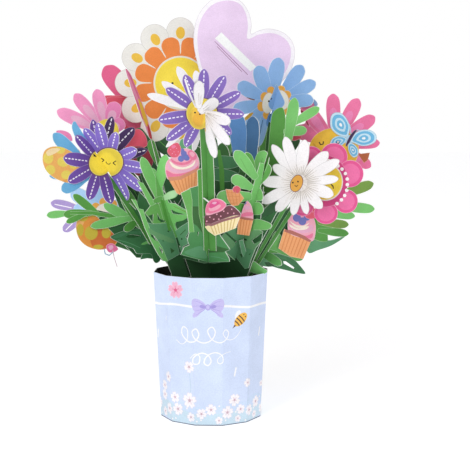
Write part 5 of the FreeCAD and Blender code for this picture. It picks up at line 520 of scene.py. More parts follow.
CARDS["aster_white_centre_b"] = ("AF", 0.4, "white", [
    ("c", [(-36.9, 153), (-45, 156), (-54, 159.2), (-61.9, 161.4), (-68.3, 162.7), (-72.1, 163), (-74.8, 162), (-72.6, 159.8), (-68.9, 158.2), (-62.7, 156.3), (-54.6, 154.7), (-45.4, 153.3), (-37, 152.2)]),
    ("c", [(-36.8, 153), (-42.8, 157.5), (-49.6, 162.3), (-55.8, 166.1), (-61, 168.7), (-64.3, 169.8), (-67.1, 169.6), (-65.9, 167.1), (-63.3, 164.8), (-58.4, 161.8), (-51.9, 158.5), (-44.2, 155.1), (-37.2, 152.3)]),
    ("c", [(-36.6, 152.9), (-40.3, 159), (-44.7, 165.8), (-49.1, 171.3), (-53, 175.5), (-55.8, 177.6), (-58.9, 178.4), (-59, 175.7), (-57.5, 172.7), (-54.1, 168.3), (-49.2, 163), (-43.1, 157.4), (-37.4, 152.4)]),
    ("c", [(-36.5, 152.7), (-37.5, 158), (-38.9, 163.9), (-40.6, 169), (-42.5, 172.9), (-44.2, 175.2), (-46.6, 176.4), (-47.7, 174.5), (-47.5, 171.9), (-46.2, 167.9), (-43.8, 163), (-40.6, 157.5), (-37.4, 152.5)]),
    ("c", [(-37.2, 152.8), (-42.1, 148.6), (-47.4, 143.9), (-51.8, 139.5), (-55.1, 135.7), (-56.8, 133.2), (-57.3, 130.9), (-55, 131.7), (-52.6, 133.6), (-49, 137.1), (-44.8, 141.9), (-40.5, 147.4), (-36.7, 152.4)]),
    ("c", [(-37.3, 152.7), (-38.5, 147.8), (-39.7, 142.2), (-40.4, 137.1), (-40.5, 132.9), (-40.1, 130.2), (-38.9, 128.2), (-37.4, 129.6), (-36.6, 132), (-36.1, 136.1), (-35.9, 141.3), (-36.2, 147.3), (-36.6, 152.6)]),
    ("c", [(-30.9, 152.7), (-31.2, 149.9), (-33, 147.9), (-35.9, 147.2), (-39, 147.9), (-41.6, 149.9), (-43, 152.6), (-42.7, 155.3), (-40.9, 157.3), (-38, 158), (-34.9, 157.3), (-32.3, 155.4)]),
], [
    (6, "white"),
    (0, "white"),
    (1, "white"),
    (2, "white"),
    (3, "white"),
    (4, "white"),
    (5, "white"),
    (("p", [(-40.4, 153.3), (-49.7, 154.7), (-49.7, 154.6), (-40.4, 153)]), "vein"),
    (("p", [(-40.3, 153.6), (-45.7, 154.9), (-45.7, 154.7), (-40.4, 153.3)]), "vein"),
    (("p", [(-40.2, 153.9), (-47.5, 156.2), (-47.5, 156.1), (-40.3, 153.6)]), "vein"),
    (("p", [(-40.1, 154.2), (-45.2, 156.5), (-45.2, 156.3), (-40.2, 154)]), "vein"),
    (("p", [(-40, 154.5), (-46.6, 158.2), (-46.7, 158), (-40.1, 154.2)]), "vein"),
    (("p", [(-39.8, 154.7), (-47.8, 160.1), (-47.9, 159.9), (-40, 154.5)]), "vein"),
    (("p", [(-39.3, 155.1), (-44.6, 160.3), (-44.8, 160.2), (-39.5, 155)]), "vein"),
    (("p", [(-39, 155.3), (-45.2, 162.4), (-45.3, 162.3), (-39.3, 155.1)]), "vein"),
    (("p", [(-38.8, 155.4), (-41.9, 159.7), (-42, 159.6), (-39, 155.3)]), "vein"),
    (("p", [(-38.3, 155.5), (-42.5, 163.5), (-42.7, 163.4), (-38.6, 155.5)]), "vein"),
    (("p", [(-38, 155.6), (-40, 160.3), (-40.2, 160.2), (-38.3, 155.5)]), "vein"),
    (("p", [(-37.7, 155.6), (-39.6, 162.1), (-39.8, 162.1), (-38, 155.6)]), "vein"),
    (("p", [(-38.8, 150.4), (-41.5, 146.7), (-41.3, 146.6), (-38.5, 150.2)]), "vein"),
    (("p", [(-39.1, 150.6), (-43.4, 146), (-43.2, 145.8), (-38.8, 150.4)]), "vein"),
    (("p", [(-39.3, 150.9), (-45.5, 145.6), (-45.4, 145.4), (-39.1, 150.6)]), "vein"),
    (("p", [(-37, 149.7), (-36.7, 143.1), (-36.5, 143), (-36.7, 149.6)]), "vein"),
    (("p", [(-37.4, 149.7), (-37.9, 141.5), (-37.7, 141.4), (-37, 149.7)]), "vein"),
    (("p", [(-37.7, 149.8), (-38.5, 145.3), (-38.3, 145.2), (-37.4, 149.7)]), "vein"),
])
# this A card's petals are painted in a darker purple as painted shade
CARDS["aster_purple_left"] = ("AB", 1.2, "purple_deep", [
    ("c", [(-57.9, 118.1), (-56.8, 123.8), (-55.8, 130.2), (-55.5, 135.9), (-55.9, 141.7), (-56.9, 145.1), (-59.2, 147.1), (-61.4, 144.3), (-62.3, 140.7), (-62.7, 134.8), (-62.3, 129.3), (-61.2, 123.2), (-60.1, 117.8)]),
    ("c", [(-58, 118.6), (-59.7, 122.9), (-61.8, 127.6), (-64.1, 131.4), (-67.2, 134.8), (-69.7, 136.4), (-72.8, 136.4), (-73.7, 133.4), (-72.8, 130.6), (-70.4, 126.7), (-67.5, 123.4), (-63.6, 120.1), (-59.9, 117.3)]),
    ("c", [(-58.6, 119.3), (-62.9, 121.5), (-67.9, 123.6), (-72.5, 124.8), (-77.6, 125.1), (-80.9, 124.3), (-83.7, 121.7), (-82.6, 118.6), (-80.1, 116.9), (-75.3, 115.7), (-70.5, 115.4), (-64.7, 115.9), (-59.4, 116.6)]),
    ("c", [(-59.5, 119.1), (-64.7, 118), (-70.4, 116.5), (-75.2, 114.6), (-79.7, 111.9), (-82.1, 109.5), (-82.9, 106.1), (-80, 104.6), (-76.7, 105), (-71.8, 106.9), (-67.4, 109.6), (-62.6, 113.2), (-58.5, 116.8)]),
    ("c", [(-60.2, 118.3), (-63.7, 114.1), (-67.3, 109.2), (-69.9, 104.8), (-71.9, 99.9), (-72.3, 96.7), (-70.8, 94), (-67.4, 95.1), (-65, 97.6), (-62.2, 102.2), (-60.3, 106.9), (-58.9, 112.5), (-57.8, 117.6)]),
    ("c", [(-60.3, 117.6), (-61.1, 112.1), (-61.7, 106), (-61.6, 100.7), (-60.6, 95.4), (-59.1, 92.4), (-56.1, 90.8), (-53.6, 93.5), (-52.8, 97), (-52.9, 102.5), (-53.9, 107.7), (-55.8, 113.3), (-57.7, 118.2)]),
    ("c", [(-58, 117.6), (-54.2, 123.2), (-50.2, 129.7), (-47.1, 135.6), (-44.6, 142), (-43.9, 146), (-45, 149.1), (-48.4, 147.2), (-51, 143.6), (-54.1, 137.4), (-56.5, 131.4), (-58.5, 124.4), (-60, 118.2)]),
    ("c", [(-58.1, 117), (-51.9, 120.3), (-45, 124.4), (-39.2, 128.5), (-33.7, 133.6), (-30.9, 137.3), (-30.5, 141.2), (-34.7, 141.4), (-38.9, 139.4), (-44.9, 135), (-50.1, 130.2), (-55.4, 124.3), (-59.8, 118.9)]),
    ("c", [(-58.9, 117), (-52.2, 117.5), (-44.5, 118.2), (-37.7, 119.5), (-30.6, 121.4), (-26.4, 123.3), (-23.7, 126.1), (-26.9, 127.5), (-31.3, 127.4), (-38.5, 126.1), (-45.2, 124.2), (-52.6, 121.5), (-59.1, 118.9)]),
    ("c", [(-51.5, 115.5), (-54.8, 111.7), (-59.1, 109.7), (-63.2, 110), (-66.1, 112.5), (-67, 116.5), (-65.6, 121), (-62.4, 124.8), (-58.1, 126.9), (-53.9, 126.6), (-50.9, 124.1), (-50.1, 120)]),
    ("p", [(-59.5, 110.9), (-51.5, 98.6), (-40.2, 76.9), (-26.2, 45.6), (-16.1, 26.7), (-12, 28.5), (-20.8, 48), (-35.5, 79.2), (-47.7, 100.9), (-56.4, 113)]),
], [
    (10, "stem"),
    (0, "purple_deep"),
    (1, "purple_deep"),
    (2, "purple_deep"),
    (3, "purple_deep"),
    (4, "purple_deep"),
    (5, "purple_deep"),
    # back-half petals painted darker still, as painted shadow
    (6, "plum"),
    (7, "plum"),
    (8, "plum"),
    (("p", [(-58.6, 128.3), (-58.7, 130), (-59.5, 129.9), (-59.5, 128.2)]), "dash"),
    (("p", [(-58.7, 130.9), (-58.7, 132.6), (-59.5, 132.5), (-59.5, 130.8)]), "dash"),
    (("p", [(-58.7, 133.6), (-58.7, 135.2), (-59.5, 135.1), (-59.5, 133.4)]), "dash"),
    (("p", [(-58.7, 136.2), (-58.7, 137.9), (-59.5, 137.7), (-59.5, 136.1)]), "dash"),
    (("p", [(-58.7, 138.8), (-58.7, 140.5), (-59.5, 140.4), (-59.5, 138.7)]), "dash"),
    (("p", [(-58.7, 141.4), (-58.7, 143.1), (-59.5, 143), (-59.5, 141.3)]), "dash"),
    (("p", [(-58.7, 144.1), (-58.7, 145.8), (-59.6, 145.6), (-59.6, 144)]), "dash"),
    (("p", [(-63.6, 124.8), (-64.4, 125.9), (-65.1, 125.4), (-64.3, 124.3)]), "dash"),
    (("p", [(-64.8, 126.4), (-65.6, 127.5), (-66.3, 127), (-65.5, 126)]), "dash"),
    (("p", [(-66.1, 128.1), (-66.9, 129.2), (-67.5, 128.7), (-66.7, 127.6)]), "dash"),
    (("p", [(-67.3, 129.8), (-68.1, 130.8), (-68.8, 130.3), (-68, 129.3)]), "dash"),
    (("p", [(-68.5, 131.4), (-69.3, 132.5), (-70, 132), (-69.2, 130.9)]), "dash"),
    (("p", [(-69.8, 133.1), (-70.6, 134.1), (-71.2, 133.6), (-70.4, 132.6)]), "dash"),
    (("p", [(-71, 134.7), (-71.8, 135.8), (-72.5, 135.3), (-71.7, 134.2)]), "dash"),
    (("p", [(-67.8, 119.7), (-69.2, 119.9), (-69.4, 119.2), (-68, 118.9)]), "dash"),
    (("p", [(-70, 120), (-71.4, 120.2), (-71.7, 119.5), (-70.2, 119.3)]), "dash"),
    (("p", [(-72.2, 120.4), (-73.7, 120.6), (-73.9, 119.8), (-72.5, 119.6)]), "dash"),
    (("p", [(-74.5, 120.7), (-75.9, 120.9), (-76.1, 120.2), (-74.7, 120)]), "dash"),
    (("p", [(-76.7, 121), (-78.1, 121.3), (-78.3, 120.5), (-76.9, 120.3)]), "dash"),
    (("p", [(-78.9, 121.4), (-80.3, 121.6), (-80.5, 120.9), (-79.1, 120.6)]), "dash"),
    (("p", [(-81.1, 121.7), (-82.5, 121.9), (-82.7, 121.2), (-81.3, 121)]), "dash"),
    (("p", [(-67.8, 114), (-69.2, 113.3), (-68.9, 112.6), (-67.5, 113.3)]), "dash"),
    (("p", [(-70, 112.9), (-71.3, 112.2), (-71, 111.6), (-69.7, 112.3)]), "dash"),
    (("p", [(-72.1, 111.9), (-73.5, 111.2), (-73.2, 110.5), (-71.8, 111.2)]), "dash"),
    (("p", [(-74.3, 110.8), (-75.6, 110.1), (-75.3, 109.5), (-74, 110.1)]), "dash"),
    (("p", [(-76.4, 109.7), (-77.8, 109.1), (-77.5, 108.4), (-76.1, 109.1)]), "dash"),
    (("p", [(-78.5, 108.7), (-79.9, 108), (-79.6, 107.4), (-78.2, 108)]), "dash"),
    (("p", [(-80.6, 107.6), (-82, 107), (-81.7, 106.3), (-80.4, 107)]), "dash"),
    (("p", [(-63.6, 109.4), (-64.3, 108.1), (-63.5, 107.8), (-62.9, 109.2)]), "dash"),
    (("p", [(-64.6, 107.3), (-65.3, 105.9), (-64.6, 105.7), (-63.9, 107)]), "dash"),
    (("p", [(-65.7, 105.1), (-66.4, 103.7), (-65.7, 103.5), (-65, 104.9)]), "dash"),
    (("p", [(-66.8, 103), (-67.4, 101.6), (-66.7, 101.4), (-66, 102.7)]), "dash"),
    (("p", [(-67.8, 100.8), (-68.5, 99.5), (-67.8, 99.2), (-67.1, 100.6)]), "dash"),
    (("p", [(-68.9, 98.7), (-69.5, 97.3), (-68.8, 97.1), (-68.1, 98.5)]), "dash"),
    (("p", [(-69.9, 96.6), (-70.6, 95.2), (-69.9, 95), (-69.2, 96.3)]), "dash"),
    (("p", [(-58.4, 108.1), (-58.2, 106.6), (-57.4, 106.7), (-57.6, 108.3)]), "dash"),
    (("p", [(-58.1, 105.7), (-57.9, 104.1), (-57.1, 104.3), (-57.3, 105.9)]), "dash"),
    (("p", [(-57.8, 103.2), (-57.7, 101.7), (-56.9, 101.9), (-57, 103.4)]), "dash"),
    (("p", [(-57.6, 100.8), (-57.4, 99.2), (-56.6, 99.4), (-56.8, 101)]), "dash"),
    (("p", [(-57.3, 98.4), (-57.2, 96.8), (-56.4, 97), (-56.5, 98.5)]), "dash"),
    (("p", [(-57.1, 95.9), (-56.9, 94.4), (-56.1, 94.5), (-56.3, 96.1)]), "dash"),
    (("p", [(-56.8, 93.5), (-56.6, 91.9), (-55.8, 92.1), (-56, 93.7)]), "dash"),
    (("p", [(-53.7, 128.8), (-52.9, 130.6), (-53.6, 130.8), (-54.4, 129)]), "dash"),
    (("p", [(-52.4, 131.6), (-51.6, 133.4), (-52.4, 133.6), (-53.2, 131.8)]), "dash"),
    (("p", [(-51.2, 134.4), (-50.4, 136.2), (-51.1, 136.4), (-51.9, 134.6)]), "dash"),
    (("p", [(-49.9, 137.2), (-49.1, 139), (-49.8, 139.2), (-50.7, 137.4)]), "dash"),
    (("p", [(-48.6, 140.1), (-47.8, 141.9), (-48.6, 142.1), (-49.4, 140.2)]), "dash"),
    (("p", [(-47.3, 142.9), (-46.5, 144.7), (-47.3, 144.9), (-48.1, 143.1)]), "dash"),
    (("p", [(-46.1, 145.7), (-45.2, 147.6), (-46, 147.8), (-46.8, 145.9)]), "dash"),
    (("p", [(-48.8, 125.8), (-47.1, 127.1), (-47.6, 127.7), (-49.3, 126.4)]), "dash"),
    (("p", [(-46.2, 127.9), (-44.6, 129.2), (-45.1, 129.8), (-46.7, 128.4)]), "dash"),
    (("p", [(-43.6, 130), (-42, 131.3), (-42.5, 131.9), (-44.1, 130.5)]), "dash"),
    (("p", [(-41.1, 132.1), (-39.4, 133.5), (-39.9, 134), (-41.6, 132.6)]), "dash"),
    (("p", [(-38.5, 134.2), (-36.8, 135.6), (-37.3, 136.1), (-39, 134.8)]), "dash"),
    (("p", [(-35.9, 136.3), (-34.2, 137.7), (-34.7, 138.3), (-36.4, 136.9)]), "dash"),
    (("p", [(-33.2, 138.5), (-31.6, 139.9), (-32.1, 140.4), (-33.7, 139)]), "dash"),
    (("p", [(-46.6, 120.4), (-44.6, 120.9), (-44.7, 121.6), (-46.7, 121.1)]), "dash"),
    (("p", [(-43.5, 121.1), (-41.4, 121.6), (-41.5, 122.3), (-43.6, 121.9)]), "dash"),
    (("p", [(-40.3, 121.9), (-38.3, 122.3), (-38.3, 123.1), (-40.4, 122.6)]), "dash"),
    (("p", [(-37.1, 122.6), (-35.1, 123.1), (-35.1, 123.8), (-37.2, 123.3)]), "dash"),
    (("p", [(-33.9, 123.3), (-31.9, 123.8), (-31.9, 124.6), (-34, 124.1)]), "dash"),
    (("p", [(-30.7, 124.1), (-28.6, 124.6), (-28.7, 125.3), (-30.8, 124.8)]), "dash"),
    (("p", [(-27.4, 124.8), (-25.4, 125.3), (-25.5, 126.1), (-27.5, 125.6)]), "dash"),
    (("c", [(-50.9, 115.3), (-54.5, 111.2), (-59.1, 109.1), (-63.6, 109.4), (-66.6, 112.1), (-67.6, 116.4), (-66.2, 121.2), (-62.6, 125.3), (-58, 127.5), (-53.5, 127.2), (-50.4, 124.5), (-49.4, 120.2)]), "disc_line"),
    (9, "yellow"),
    (("c", [(-61.5, 122.8), (-61.8, 122.3), (-62.3, 122.1), (-62.8, 122.3), (-62.9, 122.8), (-62.6, 123.3), (-62.1, 123.4), (-61.6, 123.2)]), "ink"),
    (("p", [(-63.1, 123.8), (-61.4, 121.7), (-60.8, 122.2), (-62.5, 124.2)]), "ink"),
])
# this B card's petals are painted in a lighter purple as painted light
CARDS["aster_purple_left_b"] = ("BF", 0.8, "purple", [
    ("c", [(-48.5, 120.1), (-49.8, 125.3), (-51.5, 130.9), (-53.8, 135.6), (-56.8, 139.7), (-59.6, 141.7), (-63.5, 142.1), (-65.4, 139), (-65, 135.9), (-62.9, 131.3), (-59.7, 127), (-55.3, 122.6), (-51.2, 118.8)]),
    ("c", [(-48.3, 119.8), (-46.9, 125.4), (-45.6, 131.6), (-45.2, 136.9), (-45.8, 141.7), (-47.2, 144.4), (-50.4, 145.8), (-53.6, 143.1), (-54.8, 139.9), (-55.3, 134.8), (-54.7, 129.6), (-53.1, 124), (-51.4, 119.1)]),
    ("c", [(-48.6, 119.2), (-44.7, 123), (-40.6, 127.4), (-37.7, 131.3), (-35.8, 135.1), (-35.4, 137.6), (-37.1, 139.6), (-40.7, 138.6), (-43.2, 136.5), (-46.1, 132.8), (-48.2, 128.7), (-49.9, 123.9), (-51.1, 119.6)]),
    ("c", [(-49.6, 118.3), (-43.9, 118.9), (-37.6, 119.8), (-32.3, 121.3), (-27.4, 123.3), (-24.6, 125.3), (-23.2, 128.3), (-25.8, 130), (-29, 130), (-34.1, 128.7), (-39.3, 126.6), (-45, 123.5), (-50.1, 120.6)]),
    ("c", [(-50.6, 118.2), (-45.1, 116.1), (-38.9, 114), (-33.1, 112.9), (-27.1, 112.6), (-23.1, 113.2), (-19.4, 115.5), (-20.3, 118.4), (-23.1, 119.9), (-28.5, 121.1), (-34.8, 121.5), (-42.3, 121.2), (-49.1, 120.7)]),
    ("c", [(-51, 118.6), (-47.7, 113.9), (-43.6, 109), (-39.4, 105), (-34.6, 101.8), (-31, 100.4), (-26.9, 100.9), (-26.2, 104.1), (-27.8, 107), (-31.7, 110.8), (-36.6, 114.2), (-42.9, 117.5), (-48.7, 120.3)]),
    ("c", [(-51.3, 118.9), (-51.2, 113.3), (-50.8, 107), (-49.7, 101.7), (-47.7, 97), (-45.5, 94.5), (-41.9, 93.7), (-39.5, 96.9), (-39.2, 100.3), (-40.2, 105.3), (-42.3, 110.2), (-45.4, 115.4), (-48.4, 119.9)]),
    ("c", [(-37.5, 119.7), (-40.7, 114.9), (-46.4, 111.2), (-53.1, 109.7), (-59.1, 110.8), (-62.5, 114.2), (-62.5, 119.1), (-59.1, 124), (-53.3, 127.6), (-46.6, 129), (-40.9, 127.9), (-37.6, 124.5)]),
], [
    (0, "purple_b"),
    (1, "purple_b"),
    (2, "purple_b"),
    (3, "purple_b"),
    (4, "purple_b"),
    (5, "purple_b"),
    (6, "purple_b"),
    (("p", [(-55.3, 129.6), (-56.1, 130.9), (-57.1, 130.4), (-56.3, 129.1)]), "dash"),
    (("p", [(-56.6, 131.6), (-57.4, 133), (-58.4, 132.5), (-57.6, 131.2)]), "dash"),
    (("p", [(-57.8, 133.7), (-58.6, 135), (-59.6, 134.6), (-58.8, 133.2)]), "dash"),
    (("p", [(-59.1, 135.8), (-59.9, 137.1), (-60.9, 136.7), (-60.1, 135.3)]), "dash"),
    (("p", [(-60.3, 137.9), (-61.1, 139.2), (-62.1, 138.7), (-61.3, 137.4)]), "dash"),
    (("p", [(-61.6, 139.9), (-62.4, 141.3), (-63.4, 140.8), (-62.6, 139.5)]), "dash"),
    (("p", [(-49.6, 131.1), (-49.6, 132.7), (-50.7, 132.4), (-50.6, 130.9)]), "dash"),
    (("p", [(-49.6, 133.5), (-49.7, 135.1), (-50.7, 134.9), (-50.7, 133.3)]), "dash"),
    (("p", [(-49.7, 135.9), (-49.7, 137.5), (-50.8, 137.3), (-50.7, 135.7)]), "dash"),
    (("p", [(-49.7, 138.3), (-49.8, 139.9), (-50.8, 139.7), (-50.8, 138.1)]), "dash"),
    (("p", [(-49.8, 140.7), (-49.8, 142.3), (-50.9, 142.1), (-50.8, 140.5)]), "dash"),
    (("p", [(-49.8, 143.1), (-49.9, 144.7), (-50.9, 144.5), (-50.9, 142.9)]), "dash"),
    (("p", [(-43.8, 128.3), (-43, 129.4), (-43.9, 129.6), (-44.7, 128.4)]), "dash"),
    (("p", [(-42.6, 130.1), (-41.9, 131.3), (-42.8, 131.4), (-43.5, 130.3)]), "dash"),
    (("p", [(-41.4, 131.9), (-40.7, 133.1), (-41.6, 133.3), (-42.4, 132.1)]), "dash"),
    (("p", [(-40.3, 133.8), (-39.6, 134.9), (-40.5, 135.1), (-41.2, 133.9)]), "dash"),
    (("p", [(-39.1, 135.6), (-38.4, 136.8), (-39.3, 136.9), (-40, 135.8)]), "dash"),
    (("p", [(-38, 137.4), (-37.3, 138.6), (-38.2, 138.7), (-38.9, 137.6)]), "dash"),
    (("p", [(-38, 123), (-36.4, 123.5), (-36.6, 124.2), (-38.1, 123.7)]), "dash"),
    (("p", [(-35.5, 123.8), (-34, 124.3), (-34.1, 125), (-35.7, 124.5)]), "dash"),
    (("p", [(-33.1, 124.6), (-31.5, 125.1), (-31.7, 125.8), (-33.3, 125.3)]), "dash"),
    (("p", [(-30.7, 125.4), (-29.1, 125.9), (-29.3, 126.6), (-30.8, 126.1)]), "dash"),
    (("p", [(-28.3, 126.2), (-26.7, 126.7), (-26.9, 127.4), (-28.4, 126.9)]), "dash"),
    (("p", [(-25.9, 127), (-24.4, 127.5), (-24.5, 128.2), (-26.1, 127.7)]), "dash"),
    (("p", [(-36.6, 117.3), (-34.8, 117.1), (-34.4, 117.9), (-36.2, 118.1)]), "dash"),
    (("p", [(-33.8, 117), (-32, 116.7), (-31.6, 117.5), (-33.4, 117.7)]), "dash"),
    (("p", [(-31, 116.6), (-29.2, 116.4), (-28.8, 117.1), (-30.6, 117.4)]), "dash"),
    (("p", [(-28.2, 116.3), (-26.5, 116), (-26.1, 116.8), (-27.8, 117)]), "dash"),
    (("p", [(-25.5, 115.9), (-23.7, 115.7), (-23.3, 116.4), (-25.1, 116.7)]), "dash"),
    (("p", [(-22.7, 115.6), (-21, 115.3), (-20.6, 116.1), (-22.3, 116.3)]), "dash"),
    (("p", [(-40.2, 111), (-38.8, 109.9), (-38, 110.5), (-39.3, 111.6)]), "dash"),
    (("p", [(-38.1, 109.3), (-36.7, 108.2), (-35.9, 108.8), (-37.2, 109.9)]), "dash"),
    (("p", [(-36, 107.6), (-34.6, 106.5), (-33.8, 107.1), (-35.1, 108.2)]), "dash"),
    (("p", [(-33.9, 105.9), (-32.5, 104.8), (-31.7, 105.4), (-33, 106.5)]), "dash"),
    (("p", [(-31.8, 104.2), (-30.4, 103.1), (-29.6, 103.7), (-30.9, 104.8)]), "dash"),
    (("p", [(-29.7, 102.5), (-28.3, 101.4), (-27.5, 102.1), (-28.9, 103.1)]), "dash"),
    (("p", [(-46.9, 108.1), (-46.4, 106.6), (-45.4, 106.9), (-45.9, 108.4)]), "dash"),
    (("p", [(-46.2, 105.7), (-45.7, 104.2), (-44.7, 104.6), (-45.2, 106.1)]), "dash"),
    (("p", [(-45.4, 103.3), (-45, 101.8), (-44, 102.2), (-44.4, 103.7)]), "dash"),
    (("p", [(-44.7, 101), (-44.2, 99.5), (-43.2, 99.9), (-43.7, 101.4)]), "dash"),
    (("p", [(-44, 98.6), (-43.5, 97.1), (-42.5, 97.5), (-43, 99)]), "dash"),
    (("p", [(-43.2, 96.3), (-42.8, 94.7), (-41.8, 95.1), (-42.2, 96.7)]), "dash"),
    (("c", [(-36.7, 119.7), (-40.1, 114.6), (-46.2, 110.7), (-53.4, 109), (-59.6, 110.2), (-63.3, 113.9), (-63.3, 119.1), (-59.7, 124.3), (-53.5, 128.2), (-46.4, 129.6), (-40.3, 128.4), (-36.8, 124.8)]), "disc_line"),
    (7, "yellow"),
    (("p", [(-55.8, 121.7), (-53.7, 120.4), (-53, 121), (-55.2, 122.3)]), "ink"),
    (("p", [(-53.5, 120.9), (-56.3, 119.5), (-56, 119), (-53.2, 120.5)]), "ink"),
    (("p", [(-43.1, 120.8), (-46.3, 119.4), (-46.1, 118.9), (-42.9, 120.3)]), "ink"),
    (("p", [(-46.6, 118.9), (-44.8, 117.3), (-44.1, 117.8), (-45.9, 119.4)]), "ink"),
    (("p", [(-52.5, 119.6), (-51.7, 118.1), (-49.8, 117.8), (-48.1, 118.9), (-48.4, 119.2), (-49.8, 118.3), (-51.2, 118.5), (-51.8, 119.9)]), "ink"),
])
CARDS["bloom_blue"] = ("AM", 0.4, "blue", [
    ("c", [(47.7, 149.1), (50.7, 155.5), (53.8, 162.8), (56, 169.4), (56.5, 174), (55.6, 176.9), (52.1, 179.3), (47.7, 178.1), (45.4, 175.6), (43.6, 171.3), (42.2, 164.7), (41.4, 157.1), (40.9, 150.3)]),
    ("c", [(47.5, 150.5), (46.6, 156.2), (45.3, 162.6), (43.6, 168.1), (41.7, 171.5), (39.4, 173.2), (35.2, 173.6), (32, 171.2), (31.4, 168.6), (32.1, 164.9), (34.5, 159.7), (37.9, 153.9), (41.1, 148.9)]),
    ("c", [(46, 152), (41, 155.5), (35.3, 159.4), (30, 162.3), (26.1, 163.7), (23.1, 163.7), (19.8, 161.8), (19.3, 158.5), (20.7, 156.4), (24, 154.2), (29.6, 151.7), (36.4, 149.4), (42.6, 147.4)]),
    ("c", [(43.8, 152), (37.1, 151.8), (29.8, 151.5), (23.4, 150.8), (19.3, 149.7), (17.1, 148.2), (16, 145.3), (18.2, 142.9), (20.9, 142.2), (25.2, 142.4), (31.5, 143.7), (38.5, 145.5), (44.8, 147.4)]),
    ("c", [(42.3, 151.4), (36.4, 147.9), (30.1, 143.9), (24.8, 140), (21.9, 137), (20.8, 134.6), (21.7, 131.6), (25.3, 130.7), (28.2, 131.5), (32, 133.9), (36.8, 138.1), (41.9, 143.3), (46.3, 148)]),
    ("c", [(42.2, 150.2), (39.2, 143.9), (36, 136.9), (33.6, 130.6), (32.6, 126.3), (32.7, 123.5), (34.5, 121.2), (37.5, 122.3), (39.4, 124.6), (41.3, 128.8), (43.2, 135.3), (45, 142.6), (46.4, 149.2)]),
    ("c", [(48.2, 149.2), (47, 145.9), (44.8, 143.6), (42.3, 142.9), (40.1, 144.1), (38.8, 146.8), (38.8, 150.2), (40, 153.5), (42.1, 155.8), (44.6, 156.4), (46.8, 155.3), (48.1, 152.6)]),
    ("c", [(49.8, 162.1), (53.8, 156.3), (57.1, 149.8), (53.1, 145.9), (46.7, 145.2), (43.5, 149), (46.6, 155.5)]),
    ("p", [(40, 140.2), (36.5, 119.6), (30, 97.2), (19.1, 65.2), (9.9, 43), (6, 26.1), (9.7, 25.1), (15.1, 41.4), (24.3, 63.6), (35.3, 95.9), (41.2, 118.8), (43.9, 139.8)]),
], [
    (8, "stem"),
    (0, "blue"),
    (1, "blue"),
    (2, "blue"),
    (3, "blue"),
    (4, "blue"),
    (5, "blue"),
    (("c", [(21.7, 138), (26.3, 141.9), (31.7, 143.5), (29.4, 140.6), (24.8, 138)]), "amber_dk"),
    (("c", [(48.6, 157.8), (48.2, 156.5), (47, 155.6), (45.4, 155.2), (43.8, 155.5), (42.7, 156.5), (42.3, 157.7), (42.7, 159), (43.8, 160), (45.4, 160.4), (47, 160.1), (48.2, 159.1)]), "marigold"),
    (("c", [(44.3, 153.6), (43.8, 151.9), (42.5, 150.8), (40.7, 150.3), (38.9, 150.7), (37.6, 151.9), (37.2, 153.5), (37.6, 155.1), (38.9, 156.3), (40.7, 156.7), (42.5, 156.3), (43.8, 155.2)]), "marigold"),
    (("c", [(41.9, 147.4), (41.4, 145.8), (40.1, 144.6), (38.4, 144.2), (36.6, 144.6), (35.3, 145.7), (34.8, 147.4), (35.3, 149), (36.6, 150.2), (38.3, 150.6), (40.1, 150.2), (41.4, 149)]), "marigold"),
    (("c", [(45.5, 141.9), (45.1, 140.5), (43.9, 139.4), (42.3, 139), (40.7, 139.4), (39.6, 140.4), (39.2, 141.9), (39.6, 143.4), (40.7, 144.4), (42.3, 144.8), (43.9, 144.4), (45.1, 143.4)]), "marigold"),
    (6, "cream"),
    (("c", [(46.6, 152.3), (46.4, 151.8), (45.8, 151.6), (45.3, 151.8), (45, 152.3), (45.3, 152.7), (45.8, 152.9), (46.4, 152.8)]), "ink"),
    (("c", [(44.9, 150.7), (44.7, 150.3), (44.3, 150.1), (43.8, 150.3), (43.6, 150.7), (43.8, 151), (44.3, 151.2), (44.7, 151)]), "ink"),
    (("c", [(44.3, 143.2), (48.3, 144.5), (51.5, 140.6), (50.7, 134.8), (45.9, 132.8), (41.9, 136.1)]), "blue_mid"),
    (7, "blue"),
    (("p", [(21.7, 152), (27, 152.1), (32.7, 151.3), (32.9, 151.9), (27.1, 153.1), (21.7, 152.8)]), "brown_dk"),
    (("p", [(38.8, 138.7), (36.9, 131), (34.4, 121.3), (34.8, 121.2), (37.5, 130.8), (39.4, 138.6)]), "blue_deep"),
    (("c", [(44.7, 150.9), (44.5, 150.4), (43.9, 150.2), (43.4, 150.4), (43.2, 150.8), (43.4, 151.3), (43.9, 151.5), (44.5, 151.3)]), "ink"),
    (("p", [(45.8, 151.7), (46.6, 152.7), (46, 153), (45.2, 152.1)]), "ink"),
])
